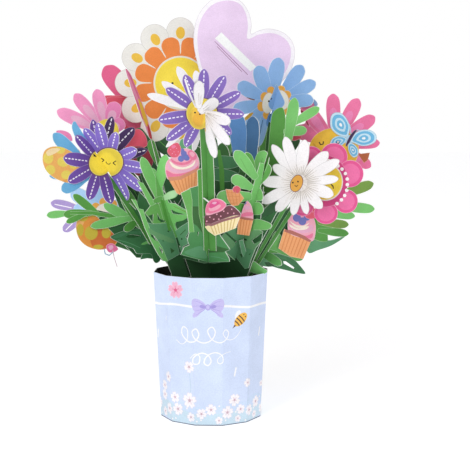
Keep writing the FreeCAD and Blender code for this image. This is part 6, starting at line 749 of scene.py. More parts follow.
CARDS["bloom_blue_b"] = ("BK", 0.4, "blue", [
    ("c", [(23.8, 155.5), (28, 160.4), (32.5, 166), (35.9, 171.3), (37.4, 175.2), (37.2, 178.1), (34.6, 181.5), (30.3, 181.9), (27.7, 180.5), (25, 177.1), (22.3, 171.4), (19.8, 164.7), (17.8, 158.6)]),
    ("c", [(22.6, 154.8), (29.2, 157), (36.4, 159.6), (42.4, 162.2), (45.9, 164.5), (47.4, 166.7), (46.9, 170), (43.3, 171.8), (40.1, 171.7), (35.9, 170.2), (30.3, 167), (24.2, 163), (19, 159.2)]),
    ("c", [(21.5, 154.5), (27.8, 153.9), (34.9, 153.3), (40.9, 153.3), (44.8, 153.9), (46.9, 155.1), (47.7, 158), (45.4, 160.8), (42.7, 161.9), (38.6, 162.2), (32.6, 161.7), (26, 160.6), (20.1, 159.5)]),
    ("c", [(17.7, 157.7), (16.2, 154.6), (14.8, 151.1), (14.1, 147.8), (14.4, 145.4), (15.7, 143.8), (19.1, 142.1), (22.8, 142.2), (24.3, 143.2), (25.1, 145.3), (25.2, 148.7), (24.6, 152.7), (23.8, 156.3)]),
    ("c", [(28, 159.5), (29, 156.1), (28.4, 153.2), (26.3, 151.8), (23.3, 152.1), (20.2, 154), (17.8, 157.2), (16.7, 160.6), (17.4, 163.5), (19.5, 165), (22.5, 164.6), (25.6, 162.6)]),
    ("c", [(15.8, 169.4), (21.1, 163.1), (25.7, 156.3), (22.6, 152.2), (16.3, 151.6), (12.3, 155.7), (14, 162.6)]),
    ("c", [(24.2, 165.4), (24, 164.1), (23.1, 163.1), (21.6, 162.8), (19.9, 163.2), (18.5, 164.2), (17.8, 165.6), (18, 166.9), (18.9, 167.9), (20.4, 168.2), (22.1, 167.8), (23.5, 166.8)]),
    ("c", [(29.7, 161.6), (29.5, 160.1), (28.5, 159), (26.8, 158.6), (24.9, 159.1), (23.4, 160.2), (22.6, 161.7), (22.7, 163.3), (23.8, 164.4), (25.5, 164.7), (27.4, 164.3), (28.9, 163.2)]),
    ("c", [(31.3, 155.5), (31.2, 153.9), (30.3, 152.6), (28.9, 152.2), (27.2, 152.7), (25.8, 153.9), (25, 155.6), (25.1, 157.3), (26, 158.5), (27.5, 159), (29.1, 158.5), (30.5, 157.2)]),
    ("c", [(30.3, 150.8), (30.2, 149.5), (29.4, 148.5), (28.1, 148.2), (26.7, 148.5), (25.5, 149.5), (24.8, 150.9), (24.9, 152.2), (25.7, 153.2), (27, 153.6), (28.5, 153.2), (29.7, 152.2)]),
], [
    (0, "blue"),
    (1, "blue"),
    (2, "blue"),
    (3, "blue_mid"),
    (6, "marigold"),
    (7, "marigold"),
    (8, "marigold"),
    (9, "marigold"),
    (4, "cream"),
    (5, "blue"),
])
CARDS["bloom_orange"] = ("H31", 0, "offwhite", [
    ("c", [(-14.6, 208.1), (-16.3, 202.1), (-21.1, 198.4), (-27.1, 198.4), (-32, 202.2), (-34, 208.2), (-32.3, 214.2), (-27.5, 218), (-21.5, 217.9), (-16.6, 214.2)]),
    ("c", [(3.1, 203.1), (1.3, 197.1), (-3.5, 193.4), (-9.4, 193.4), (-14.3, 197.1), (-16.3, 203.2), (-14.6, 209.2), (-9.8, 212.9), (-3.8, 212.9), (1.1, 209.1)]),
    ("c", [(16.1, 189.5), (14.3, 183.6), (9.5, 179.9), (3.6, 179.9), (-1.3, 183.6), (-3.2, 189.6), (-1.5, 195.6), (3.3, 199.2), (9.3, 199.2), (14.2, 195.5)]),
    ("c", [(20.9, 171.2), (19.1, 165.3), (14.4, 161.7), (8.5, 161.7), (3.6, 165.3), (1.7, 171.2), (3.5, 177.2), (8.2, 180.8), (14.2, 180.8), (19, 177.1)]),
    ("c", [(16.4, 153.1), (14.7, 147.2), (10, 143.6), (4.1, 143.6), (-0.7, 147.2), (-2.7, 153.1), (-0.9, 158.9), (3.8, 162.6), (9.7, 162.6), (14.6, 158.9)]),
    ("c", [(3.9, 139.9), (2.2, 134.1), (-2.5, 130.5), (-8.4, 130.5), (-13.2, 134.1), (-15.1, 139.9), (-13.4, 145.7), (-8.7, 149.3), (-2.8, 149.3), (2, 145.7)]),
    ("c", [(-13.2, 135.1), (-15, 129.3), (-19.6, 125.7), (-25.5, 125.7), (-30.4, 129.3), (-32.3, 135.1), (-30.6, 140.9), (-25.9, 144.5), (-20, 144.5), (-15.2, 140.9)]),
    ("c", [(-30.6, 139.9), (-32.3, 134.1), (-37, 130.5), (-42.9, 130.5), (-47.8, 134.1), (-49.8, 139.9), (-48.1, 145.7), (-43.4, 149.3), (-37.5, 149.3), (-32.6, 145.7)]),
    ("c", [(-43.7, 153.1), (-45.4, 147.2), (-50.1, 143.6), (-56, 143.6), (-60.9, 147.2), (-62.9, 153.1), (-61.3, 159), (-56.6, 162.6), (-50.6, 162.6), (-45.7, 159)]),
    ("c", [(-48.9, 171.3), (-50.5, 165.4), (-55.3, 161.7), (-61.2, 161.7), (-66.1, 165.4), (-68.2, 171.3), (-66.5, 177.3), (-61.8, 180.9), (-55.8, 180.9), (-50.9, 177.2)]),
    ("c", [(-44.7, 189.7), (-46.3, 183.7), (-51.1, 180), (-57.1, 180), (-62, 183.7), (-64.1, 189.7), (-62.4, 195.7), (-57.6, 199.4), (-51.6, 199.4), (-46.7, 195.7)]),
    ("c", [(-32.1, 203.2), (-33.8, 197.2), (-38.6, 193.5), (-44.6, 193.5), (-49.5, 197.2), (-51.6, 203.3), (-49.9, 209.3), (-45.1, 213), (-39.1, 213), (-34.1, 209.2)]),
    ("c", [(7.6, 171.2), (6.7, 162.8), (3.7, 155), (-1.2, 148.3), (-7.5, 143.2), (-14.9, 140), (-22.9, 138.9), (-30.9, 140), (-38.4, 143.2), (-45, 148.3), (-50.1, 155), (-53.5, 162.9), (-54.8, 171.3), (-54, 179.8), (-51, 187.7), (-46.2, 194.5), (-39.9, 199.8), (-32.3, 203.1), (-24.2, 204.2), (-16.1, 203), (-8.4, 199.7), (-1.9, 194.4), (3.2, 187.6), (6.4, 179.7)]),
    ("c", [(-20.1, 118.8), (-27.5, 118.8), (-35.6, 122.2), (-42.5, 129.2), (-46.1, 138.9), (-39.3, 136.8), (-31.8, 133.3), (-25, 129.2), (-19.5, 124.3)]),
    ("c", [(-15.1, 68.5), (-21.4, 83.3), (-23.7, 98.2), (-20.6, 111.9), (-18.9, 124.3), (-12.3, 132.7), (-5.7, 135.4), (1.1, 132.7), (3.2, 120.9), (5.4, 107.2), (5, 90.1), (1.3, 68.6)]),
    ("c", [(-0.8, 76.6), (0.3, 96.9), (2.6, 117.5), (6.4, 134.1), (11.7, 139.6), (15.8, 135.5), (15.9, 120.9), (14.1, 103.8), (9.7, 86.8), (4.6, 72.6)]),
    ("c", [(-9.5, 93.3), (-10.3, 99.9), (-11.3, 107.3), (-12.5, 113.9), (-14.3, 120.1), (-16, 123.7), (-18.9, 125.7), (-20.6, 122.7), (-20.7, 118.7), (-19.7, 112.4), (-18, 105.9), (-15.8, 98.7), (-13.7, 92.4)]),
    ("c", [(-3.2, 90), (-2.2, 97.8), (-1.3, 106.6), (-0.8, 114.5), (-0.9, 122.1), (-1.8, 126.7), (-4.2, 129.9), (-6.9, 127), (-8.1, 122.5), (-8.8, 114.9), (-8.8, 107), (-8.4, 98.1), (-8, 90.2)]),
    ("c", [(7.8, 92.5), (9.6, 101.1), (11.6, 110.7), (13, 119.4), (13.8, 127.9), (13.6, 133.1), (11.7, 136.8), (8.9, 133.8), (7.3, 128.9), (5.8, 120.6), (4.8, 111.8), (4, 102), (3.4, 93.2)]),
    ("p", [(-20.8, 159.2), (-4.6, 30), (-2.6, 30), (-17.4, 159.2)]),
    ("h", [(-19.13, 108), (-12.3, 67.68), (-9.23, 53.3), (-9.15, 53.08), (-8.93, 53), (-8.38, 53.04), (-8.17, 53.13), (-8.08, 53.34), (-17.5, 108.95), (-17.59, 109.17), (-17.8, 109.25), (-18.01, 109.17), (-18.58, 108.72), (-19.04, 108.22)]),
], [
    (19, "stem"),
    (13, "leaf_dark2"),
    (14, "leaf_dark2"),
    (15, "leaf_dark2"),
    (16, "leaf_deep"),
    (17, "leaf_deep"),
    (18, "leaf_deep"),
    (("p", [(-21.4, 120.4), (-30.8, 125.2), (-41.8, 135.6), (-42.1, 135.3), (-31.1, 124.8), (-21.6, 119.9)]), "leaf_mid"),
    (("p", [(-6.7, 90.1), (-4.6, 124.3), (-5, 124.4), (-7.2, 90.1)]), "leaf_mid"),
    (12, "offwhite"),
    (0, "offwhite"),
    (1, "offwhite"),
    (2, "offwhite"),
    (3, "offwhite"),
    (4, "offwhite"),
    (5, "offwhite"),
    (6, "offwhite"),
    (7, "offwhite"),
    (8, "offwhite"),
    (9, "offwhite"),
    (10, "offwhite"),
    (11, "offwhite"),
    (("c", [(-23.5, 189.1), (-23.6, 193.4), (-23.6, 197.7), (-22.7, 201.3), (-19.6, 203.5), (-16, 203.3), (-12.7, 201.6), (-11.1, 198), (-11.9, 194.4), (-13.7, 190.6), (-15.7, 186.9)]), "orange"),
    (("c", [(-15, 186.4), (-13.1, 190.2), (-10.9, 193.8), (-8.5, 196.4), (-4.7, 196.7), (-1.7, 194.6), (0.3, 191.5), (0.1, 187.5), (-2.3, 184.9), (-5.7, 182.6), (-9.2, 180.5)]), "orange"),
    (("c", [(-8.8, 179.7), (-5.3, 181.9), (-1.8, 183.9), (1.6, 184.8), (5, 183.1), (6.7, 179.8), (6.9, 176), (4.8, 172.8), (1.5, 171.8), (-2.5, 171.6), (-6.6, 171.7)]), "orange"),
    (("c", [(-6.6, 170.8), (-2.5, 170.9), (1.5, 170.7), (4.9, 169.7), (7.1, 166.5), (6.9, 162.7), (5.3, 159.4), (2, 157.8), (-1.4, 158.7), (-5, 160.6), (-8.5, 162.8)]), "orange"),
    (("c", [(-8.9, 162), (-5.4, 160), (-1.9, 157.7), (0.6, 155.1), (0.9, 151.2), (-1, 148.1), (-3.9, 146.1), (-7.6, 146.4), (-10.2, 148.9), (-12.4, 152.5), (-14.4, 156.2)]), "orange"),
    (("c", [(-15.2, 155.7), (-13, 152.1), (-11.1, 148.4), (-10.2, 144.9), (-11.7, 141.4), (-14.8, 139.7), (-18.3, 139.5), (-21.4, 141.8), (-22.5, 145.2), (-22.7, 149.4), (-22.7, 153.6)]), "orange"),
    (("c", [(-23.6, 153.6), (-23.4, 149.4), (-23.5, 145.2), (-24.4, 141.8), (-27.4, 139.5), (-31, 139.7), (-34.2, 141.4), (-35.8, 144.9), (-35.1, 148.4), (-33.3, 152.1), (-31.3, 155.8)]), "orange"),
    (("c", [(-32, 156.2), (-33.9, 152.5), (-36, 149), (-38.4, 146.4), (-42.1, 146.1), (-45.2, 148.1), (-47.2, 151.2), (-47, 155.1), (-44.7, 157.7), (-41.3, 160), (-37.8, 162)]), "orange"),
    (("c", [(-38.2, 162.8), (-41.7, 160.7), (-45.2, 158.7), (-48.6, 157.8), (-52, 159.5), (-53.7, 162.8), (-54, 166.5), (-52, 169.7), (-48.6, 170.8), (-44.6, 170.9), (-40.5, 170.8)]), "orange"),
    (("c", [(-40.5, 171.8), (-44.6, 171.7), (-48.7, 171.9), (-52.1, 172.9), (-54.3, 176.1), (-54.2, 179.9), (-52.7, 183.2), (-49.3, 184.9), (-45.9, 184), (-42.2, 182), (-38.7, 179.8)]), "orange"),
    (("c", [(-38.2, 180.6), (-41.9, 182.7), (-45.4, 185), (-47.9, 187.6), (-48.3, 191.6), (-46.4, 194.7), (-43.5, 196.8), (-39.7, 196.5), (-37.1, 193.9), (-34.8, 190.2), (-32.7, 186.5)]), "orange"),
    (("c", [(-32, 186.9), (-34.2, 190.6), (-36.2, 194.4), (-37.1, 198), (-35.6, 201.6), (-32.4, 203.4), (-28.8, 203.5), (-25.7, 201.3), (-24.6, 197.7), (-24.4, 193.4), (-24.4, 189.1)]), "orange"),
    (("c", [(-21.2, 207.1), (-21.7, 204.4), (-23.2, 202.8), (-25.1, 202.8), (-26.7, 204.4), (-27.4, 207.1), (-26.8, 209.7), (-25.3, 211.3), (-23.4, 211.3), (-21.8, 209.7)]), "amber"),
    (("c", [(-4.4, 200.6), (-6.1, 198.6), (-8.2, 198), (-9.9, 199), (-10.5, 201.2), (-9.8, 203.8), (-8.1, 205.8), (-6, 206.4), (-4.3, 205.4), (-3.7, 203.1)]), "amber"),
    (("c", [(7.1, 186.2), (4.7, 185.5), (2.6, 186.1), (1.6, 187.8), (2.2, 190), (4, 191.8), (6.4, 192.6), (8.5, 192), (9.5, 190.3), (8.9, 188.1)]), "amber"),
    (("c", [(10.3, 168), (7.9, 168.6), (6.3, 170.2), (6.3, 172.2), (7.8, 173.8), (10.3, 174.4), (12.7, 173.8), (14.3, 172.2), (14.3, 170.2), (12.8, 168.6)]), "amber"),
    (("c", [(4.5, 150.9), (2.7, 152.7), (2.1, 154.8), (3, 156.5), (5.1, 157.1), (7.5, 156.3), (9.4, 154.5), (9.9, 152.4), (9, 150.7), (7, 150.1)]), "amber"),
    (("c", [(-8.7, 139.2), (-9.5, 141.7), (-8.9, 143.9), (-7.3, 144.9), (-5.3, 144.3), (-3.5, 142.4), (-2.7, 139.9), (-3.3, 137.7), (-4.9, 136.8), (-6.9, 137.3)]), "amber"),
    (("c", [(-25.8, 136.1), (-25.3, 138.7), (-23.8, 140.2), (-22, 140.2), (-20.4, 138.7), (-19.8, 136.1), (-20.3, 133.6), (-21.8, 132), (-23.6, 132), (-25.2, 133.6)]), "amber"),
    (("c", [(-42.4, 142.4), (-40.7, 144.3), (-38.7, 144.9), (-37, 143.9), (-36.4, 141.7), (-37.1, 139.2), (-38.7, 137.3), (-40.8, 136.8), (-42.4, 137.7), (-43.1, 139.9)]), "amber"),
    (("c", [(-54, 156.4), (-51.6, 157.1), (-49.5, 156.6), (-48.5, 154.9), (-49, 152.7), (-50.8, 150.9), (-53.2, 150.1), (-55.3, 150.7), (-56.3, 152.4), (-55.8, 154.6)]), "amber"),
    (("c", [(-57.6, 174.5), (-55.1, 173.9), (-53.5, 172.3), (-53.5, 170.3), (-54.9, 168.7), (-57.4, 168.1), (-59.9, 168.7), (-61.5, 170.3), (-61.5, 172.3), (-60.1, 173.9)]), "amber"),
    (("c", [(-52, 191.9), (-50.1, 190.1), (-49.5, 187.9), (-50.4, 186.2), (-52.4, 185.6), (-54.9, 186.4), (-56.8, 188.2), (-57.5, 190.4), (-56.6, 192.1), (-54.5, 192.7)]), "amber"),
    (("c", [(-38.7, 203.9), (-37.9, 201.3), (-38.4, 199.1), (-40, 198.1), (-42.1, 198.7), (-43.9, 200.7), (-44.7, 203.3), (-44.2, 205.5), (-42.6, 206.5), (-40.5, 205.9)]), "amber"),
    (("c", [(-5.2, 171.2), (-6, 165.3), (-8.5, 160), (-12.5, 155.8), (-17.5, 153.1), (-23.1, 152.2), (-28.8, 153.1), (-33.9, 155.8), (-38.1, 160.1), (-40.8, 165.4), (-41.9, 171.3), (-41.1, 177.2), (-38.6, 182.6), (-34.7, 186.9), (-29.6, 189.6), (-23.9, 190.5), (-18.2, 189.6), (-13.1, 186.8), (-8.9, 182.5), (-6.2, 177.2)]), "offwhite"),
    (("c", [(-6.4, 171.2), (-7.1, 165.7), (-9.5, 160.7), (-13.2, 156.8), (-17.9, 154.3), (-23.2, 153.4), (-28.5, 154.3), (-33.3, 156.8), (-37.2, 160.8), (-39.7, 165.7), (-40.7, 171.3), (-40, 176.8), (-37.7, 181.9), (-34, 185.9), (-29.2, 188.4), (-23.9, 189.3), (-18.6, 188.4), (-13.7, 185.8), (-9.8, 181.8), (-7.3, 176.8)]), "yellow"),
    (("c", [(-28.2, 171.1), (-28.4, 170.5), (-28.9, 170.3), (-29.5, 170.5), (-29.7, 171.1), (-29.5, 171.6), (-29, 171.8), (-28.4, 171.6)]), "ink"),
    (("p", [(-27.2, 168), (-25.9, 167), (-24.3, 167.2), (-24.4, 167.9), (-25.7, 167.6), (-26.8, 168.6)]), "ink"),
])
CARDS["heart_card"] = ("H26", 0, "lilac", [
    ("c", [(6, 138.5), (-1.6, 157), (-9.2, 174.2), (-12.3, 184.6), (-14.5, 197.2), (-13.4, 210.5), (-8.5, 221.1), (-1.1, 227.4), (8.4, 229.1), (17.2, 225.5), (22.6, 217.4), (24.4, 209), (24.1, 202.8), (29.5, 205.1), (36.8, 206.3), (45.6, 203.7), (51.6, 197.7), (53.6, 188.7), (50.6, 176.9), (42.3, 166.6), (30.4, 156.3), (19.2, 147.4), (11.9, 141.2)]),
    ("c", [(7, 101.3), (9.5, 116.1), (16, 129.7), (25.2, 140.6), (31.8, 144.7), (33.2, 133.8), (26.7, 120.2), (17.5, 105.4)]),
    ("c", [(8.4, 100), (17.4, 117.5), (27.9, 132.4), (37.1, 147.4), (41.8, 141.9), (40.5, 128.3), (32.6, 116.2), (20.2, 102.7)]),
    ("c", [(9.7, 96), (24.1, 112.1), (38.5, 124.3), (50.4, 131.1), (57, 129.7), (53, 121.6), (41.2, 110.8), (25.5, 98.7)]),
    ("p", [(12, 163.9), (1.5, 30), (3.5, 30), (15.4, 163.9)]),
], [
    (4, "stem"),
    (1, "leaf_dark2"),
    (2, "leaf_deep"),
    (3, "leaf_dark2"),
    (("p", [(12.4, 107.9), (29.3, 137.8), (29.1, 137.9), (12, 108.2)]), "leaf_mid"),
    (("p", [(15.1, 103.9), (38.6, 140.5), (38.3, 140.7), (14.7, 104.2)]), "leaf_mid"),
    (("p", [(17.7, 99.8), (51.8, 126.9), (51.6, 127.1), (17.5, 100.2)]), "leaf_mid"),
    (0, "cream_white"),
    (("c", [(5.9, 141.9), (-0.6, 158.4), (-7.2, 174.9), (-10.3, 186), (-11.9, 198.6), (-10.7, 209.8), (-6.4, 218.9), (-0.4, 224.2), (8.4, 226.2), (16.2, 223.8), (20.6, 216.7), (22, 208.3), (21.8, 199.3), (28.8, 202), (36.9, 203.3), (44.2, 201.2), (49.3, 196.3), (51, 188.7), (48, 177.6), (40.3, 168.6), (28.4, 159), (17.2, 150.1), (10.6, 144)]), "lilac"),
    (("p", [(4.2, 203.8), (27.9, 179.7), (23.9, 176.6), (-0.1, 199.6)]), "paperwhite"),
    (("p", [(-0.4, 197.4), (22, 174.2), (22.3, 174.5), (-0.1, 197.6)]), "violet_line"),
    (("p", [(1.2, 193.9), (18.1, 176.3), (18.4, 176.5), (1.5, 194.1)]), "violet_line"),
])
CARDS["bloom_rose_edge"] = ("KLs", 0, "rose", [
    ("c", [(10.4, 183.8), (15.5, 180.5), (16.8, 172.1), (17.5, 162.9), (18.2, 153.8), (16.8, 143.9), (13.9, 135.2), (10.1, 136.3), (9.3, 145.3), (8.4, 155.1), (8.7, 163.5), (9, 173.9)]),
    ("p", [(12.9, 139), (6.2, 110), (0.8, 30), (2.2, 30), (7.8, 110), (14.7, 139)]),
], [
    (1, "stem"),
    (0, "rose"),
    (("c", [(10.7, 183.4), (12.2, 178.9), (13.5, 170.6), (13.9, 161.5), (11.1, 160.7), (9.3, 169), (8.1, 176.7)]), "pink_light"),
    (("c", [(13.7, 162.9), (16.9, 159.4), (16.9, 148.8), (15.3, 143.9), (11.4, 144.6), (11.3, 153.7)]), "amber"),
    (("c", [(14.8, 145.3), (16.2, 141.1), (13.9, 135.2), (10.1, 136.3)]), "red"),
    (("c", [(9.2, 148.1), (11.2, 146.7), (10.9, 138.4), (9.4, 138.4)]), "pink_pale"),
])
CARDS["bloom_pink_left"] = ("H20", 0, "pink_light", [
    ("c", [(-69.2, 134.7), (-76.3, 139.1), (-84.3, 143.8), (-91.7, 147.6), (-96.9, 149.4), (-100.4, 149.6), (-103.6, 147.8), (-102.7, 144.1), (-100.2, 141.7), (-95.3, 139), (-87.7, 135.9), (-78.8, 133.1), (-70.9, 130.8)]),
    ("c", [(-68.5, 134), (-72.6, 140.6), (-77.4, 147.8), (-82.1, 153.9), (-85.8, 157.5), (-88.7, 159.2), (-92.2, 158.9), (-93, 155.4), (-91.9, 152.3), (-88.9, 148.1), (-83.7, 142.5), (-77.4, 136.6), (-71.6, 131.4)]),
    ("c", [(-68.1, 133.2), (-68.7, 140.1), (-69.6, 147.7), (-71, 154.4), (-72.5, 158.7), (-74.4, 161.1), (-77.6, 162.2), (-79.9, 159.8), (-80.4, 156.8), (-79.7, 152.3), (-77.6, 145.8), (-74.8, 138.6), (-72, 132.3)]),
    ("c", [(-67.8, 132.1), (-65.3, 136.4), (-62.8, 141.3), (-61.2, 145.8), (-60.8, 149), (-61.6, 151.3), (-64.5, 153.5), (-68, 153.2), (-69.8, 151.7), (-71.2, 148.7), (-72, 143.9), (-72.3, 138.4), (-72.3, 133.4)]),
    ("c", [(-68.9, 131.1), (-65.7, 132), (-62.3, 133.2), (-59.7, 134.7), (-58.3, 136.2), (-57.9, 137.9), (-59, 140.8), (-61.3, 142.6), (-63, 142.9), (-64.9, 142), (-67.2, 140), (-69.4, 137.1), (-71.3, 134.4)]),
    ("c", [(-62.2, 134.1), (-63.1, 130.1), (-66, 127.1), (-69.9, 126.1), (-73.9, 127.1), (-76.9, 130.1), (-78, 134.1), (-77.1, 138.1), (-74.2, 141), (-70.2, 142.1), (-66.2, 141), (-63.3, 138.1)]),
    ("c", [(-40.8, 73.9), (-50.1, 85.1), (-58.2, 97.6), (-62.4, 109.5), (-56.5, 110.8), (-47.1, 100.2), (-37.7, 85.8)]),
    ("c", [(-36.2, 72.6), (-42.3, 89.7), (-47.8, 105.5), (-50, 117.4), (-43.4, 114.8), (-36.6, 101.6), (-31.1, 80.5)]),
    ("p", [(-71.1, 132.7), (-16.7, 30), (-14.7, 30), (-67.7, 132.7)]),
], [
    (8, "stem"),
    (6, "leaf_dark2"),
    (7, "leaf_deep"),
    (("p", [(-42, 79.3), (-58.2, 105.6), (-58.5, 105.4), (-42.4, 79)]), "leaf_mid"),
    (("p", [(-35.4, 79.3), (-46.4, 110.9), (-46.8, 110.8), (-35.8, 79.1)]), "leaf_mid"),
    (0, "pink_light"),
    (1, "pink_light"),
    (2, "pink_light"),
    (3, "pink_mid"),
    (4, "pink_mid"),
    (("c", [(-79.1, 137.7), (-81.7, 139.7), (-84.8, 141.8), (-87.6, 143.3), (-90.5, 144.3), (-92.4, 144.5), (-94.2, 143.6), (-93.7, 141.6), (-92.2, 140.3), (-89.5, 138.8), (-86.5, 137.7), (-83, 136.8), (-79.8, 136.2)]), "pink_pale"),
    (("c", [(-75.6, 140.6), (-77, 143.3), (-78.7, 146.3), (-80.5, 148.7), (-82.5, 150.7), (-84.1, 151.6), (-86, 151.5), (-86.4, 149.7), (-85.7, 148), (-84, 145.6), (-82, 143.5), (-79.3, 141.3), (-76.9, 139.5)]), "pink_pale"),
    (("c", [(-71.4, 141.2), (-71.4, 143.9), (-71.5, 146.9), (-71.9, 149.6), (-72.8, 152), (-73.8, 153.3), (-75.5, 153.9), (-76.7, 152.6), (-76.9, 151), (-76.5, 148.4), (-75.7, 145.9), (-74.3, 143.2), (-73, 140.8)]), "pink_pale"),
    (("c", [(-67.6, 138.3), (-66.3, 139.8), (-65.1, 141.7), (-64.3, 143.4), (-64.1, 145.2), (-64.5, 146.5), (-66, 147.7), (-67.9, 147.5), (-68.9, 146.6), (-69.6, 145), (-69.9, 143.1), (-69.7, 140.8), (-69.4, 138.8)]), "pink_pale"),
    (("c", [(-66.5, 134.3), (-65.1, 134.4), (-63.6, 134.7), (-62.5, 135.2), (-61.7, 136.1), (-61.6, 137), (-62.1, 138.5), (-63.3, 139.5), (-64.3, 139.6), (-65.3, 139.1), (-66.2, 138.2), (-66.9, 136.9), (-67.5, 135.7)]), "pink_pale"),
    (5, "yellow"),
])
CARDS["petals_rose_back"] = ("H36", 0, "rose_deep", [
    ("c", [(-44.4, 151.2), (-50.2, 161.1), (-57, 172.1), (-63.7, 181.3), (-68.2, 185.8), (-71.9, 187.5), (-77, 186.4), (-78.9, 181.3), (-78, 177.1), (-74.6, 171.7), (-67.1, 163.2), (-58.1, 154.2), (-49.8, 146.5)]),
    ("c", [(-79.1, 163.3), (-75.1, 165.1), (-68.2, 165.1), (-55.9, 164.8), (-51.4, 154.6), (-60.9, 152.5), (-73.2, 152.8), (-78.2, 157.5)]),
    ("c", [(-43.2, 153.2), (-44, 149.6), (-46.4, 146.9), (-49.8, 146), (-53.2, 146.9), (-55.8, 149.6), (-56.8, 153.2), (-56, 156.8), (-53.6, 159.4), (-50.2, 160.4), (-46.8, 159.4), (-44.2, 156.8)]),
    ("c", [(-75, 162.6), (-65.4, 164), (-55.8, 161.8), (-47.3, 154.6), (-44.2, 143.1), (-46.6, 133.1), (-54.9, 136), (-63.3, 142.4), (-70.4, 150.3)]),
    ("p", [(-49, 153.2), (-10.3, 30), (-8.3, 30), (-45.6, 153.2)]),
], [
    (4, "stem"),
    (2, "rose_deep"),
    (0, "rose_deep"),
    (1, "rose_red"),
    (3, "rose_red"),
    (("c", [(-70.7, 157.5), (-63.9, 159), (-56.9, 156.1), (-51.2, 149.6), (-49.6, 140.3), (-56.4, 141), (-64.1, 146.7)]), "rose"),
])
CARDS["petals_blue_left"] = ("AB", 0.4, "blue_sky", [
    ("c", [(-66.7, 118), (-69.6, 123), (-73.1, 128.5), (-76.6, 133), (-80.5, 136.8), (-83.6, 138.5), (-87.4, 138.1), (-88.3, 134.5), (-87.2, 131.2), (-84, 126.8), (-80, 122.7), (-75.1, 118.5), (-70.5, 114.9)]),
    ("c", [(-61.9, 121.1), (-62.7, 126.5), (-63.7, 132.6), (-65.1, 137.9), (-67.1, 142.6), (-69.1, 145.1), (-72.2, 146), (-74, 143), (-74, 139.6), (-72.8, 134.6), (-70.9, 129.6), (-68.3, 124.2), (-65.7, 119.5)]),
    ("c", [(-69.1, 111.7), (-73.4, 110.7), (-78.1, 109.4), (-82.1, 107.9), (-85.6, 105.8), (-87.4, 103.8), (-87.8, 100.7), (-85.4, 99), (-82.8, 99.1), (-79, 100.4), (-75.2, 102.5), (-71.2, 105.3), (-67.6, 108)]),
    ("c", [(-71.1, 109.4), (-75.7, 110.5), (-80.7, 111.5), (-85.3, 112.1), (-89.7, 112.2), (-92.5, 111.9), (-94.5, 110.6), (-93.1, 109), (-90.6, 108.2), (-86.3, 107.6), (-81.7, 107.4), (-76.3, 107.5), (-71.5, 107.8)]),
    ("c", [(-85.1, 139.7), (-80.4, 140), (-76, 137.7), (-75.4, 133), (-80.7, 133.8), (-84.3, 136.4)]),
    ("c", [(-80.2, 128.5), (-74.7, 129.1), (-71.1, 125.7), (-74.5, 121.8), (-79.6, 123.9)]),
    ("c", [(-60.6, 114.9), (-62.4, 111), (-65.9, 108.2), (-70.2, 107.3), (-74.1, 108.4), (-76.6, 111.4), (-77, 115.3), (-75.3, 119.2), (-71.8, 122), (-67.5, 123), (-63.5, 121.9), (-61, 118.9)]),
    ("p", [(-82.6, 132.7), (-79.6, 123.8), (-74.8, 118.2), (-69.2, 122.7), (-73.6, 127.8), (-78.8, 134.8)]),
], [
    (6, "blue_sky"),
    (3, "blue_sky"),
    (4, "pink_mid"),
    (5, "orange"),
    (0, "blue_sky"),
    (1, "blue_sky"),
    (2, "blue_sky"),
])
CARDS["balloon_upper"] = ("AB", 0.8, "balloon", [
    ("c", [(-97.5, 120.8), (-95.5, 126.3), (-91.1, 129), (-85.6, 129.3), (-80.5, 127.7), (-73.8, 123), (-68.8, 116.3), (-71.3, 109.8), (-77.4, 105.7), (-84.1, 105.9), (-91.6, 109.1), (-96.4, 114.4)]),
], [
    (0, "balloon"),
    (("c", [(-90.2, 122), (-90.9, 120.1), (-92.4, 118.7), (-94.1, 118.2), (-95.7, 118.7), (-96.7, 120.2), (-96.8, 122.1), (-96, 124), (-94.6, 125.4), (-92.9, 125.9), (-91.3, 125.4), (-90.3, 123.9)]), "balloon_spot"),
    (("c", [(-81.3, 127.1), (-82, 125.8), (-83.4, 124.8), (-85.1, 124.5), (-86.7, 124.9), (-87.8, 125.9), (-88, 127.2), (-87.4, 128.5), (-86, 129.4), (-84.2, 129.7), (-82.6, 129.4), (-81.5, 128.4)]), "balloon_spot"),
    (("c", [(-79.9, 119.2), (-80.7, 117.6), (-82.4, 116.4), (-84.5, 116), (-86.4, 116.5), (-87.7, 117.7), (-88, 119.3), (-87.2, 121), (-85.5, 122.1), (-83.4, 122.5), (-81.5, 122), (-80.2, 120.8)]), "balloon_spot"),
    (("c", [(-90.1, 114.2), (-90.8, 112.6), (-92.2, 111.5), (-93.9, 111.1), (-95.5, 111.6), (-96.5, 112.8), (-96.7, 114.4), (-96, 116), (-94.6, 117.1), (-92.9, 117.5), (-91.3, 117), (-90.3, 115.8)]), "balloon_spot"),
    (("c", [(-80, 110.7), (-80.7, 109.2), (-82.1, 108.2), (-83.8, 107.9), (-85.4, 108.3), (-86.5, 109.4), (-86.7, 110.9), (-86, 112.3), (-84.6, 113.3), (-82.9, 113.7), (-81.2, 113.3), (-80.2, 112.2)]), "balloon_spot"),
    (("c", [(-74.8, 117.1), (-75.4, 115.8), (-76.6, 114.9), (-78, 114.6), (-79.3, 114.9), (-80.1, 115.9), (-80.2, 117.2), (-79.7, 118.5), (-78.5, 119.4), (-77.1, 119.8), (-75.8, 119.4), (-75, 118.4)]), "balloon_spot"),
    (("c", [(-94.2, 126), (-89.9, 128.2), (-84.6, 127.8), (-87.7, 125.2), (-93.3, 123.3)]), "balloon_light"),
    (("c", [(-86.7, 106.6), (-78.7, 106), (-71.3, 109.8), (-69.3, 115), (-73.8, 111.2), (-81, 108.8)]), "balloon_shade"),
])
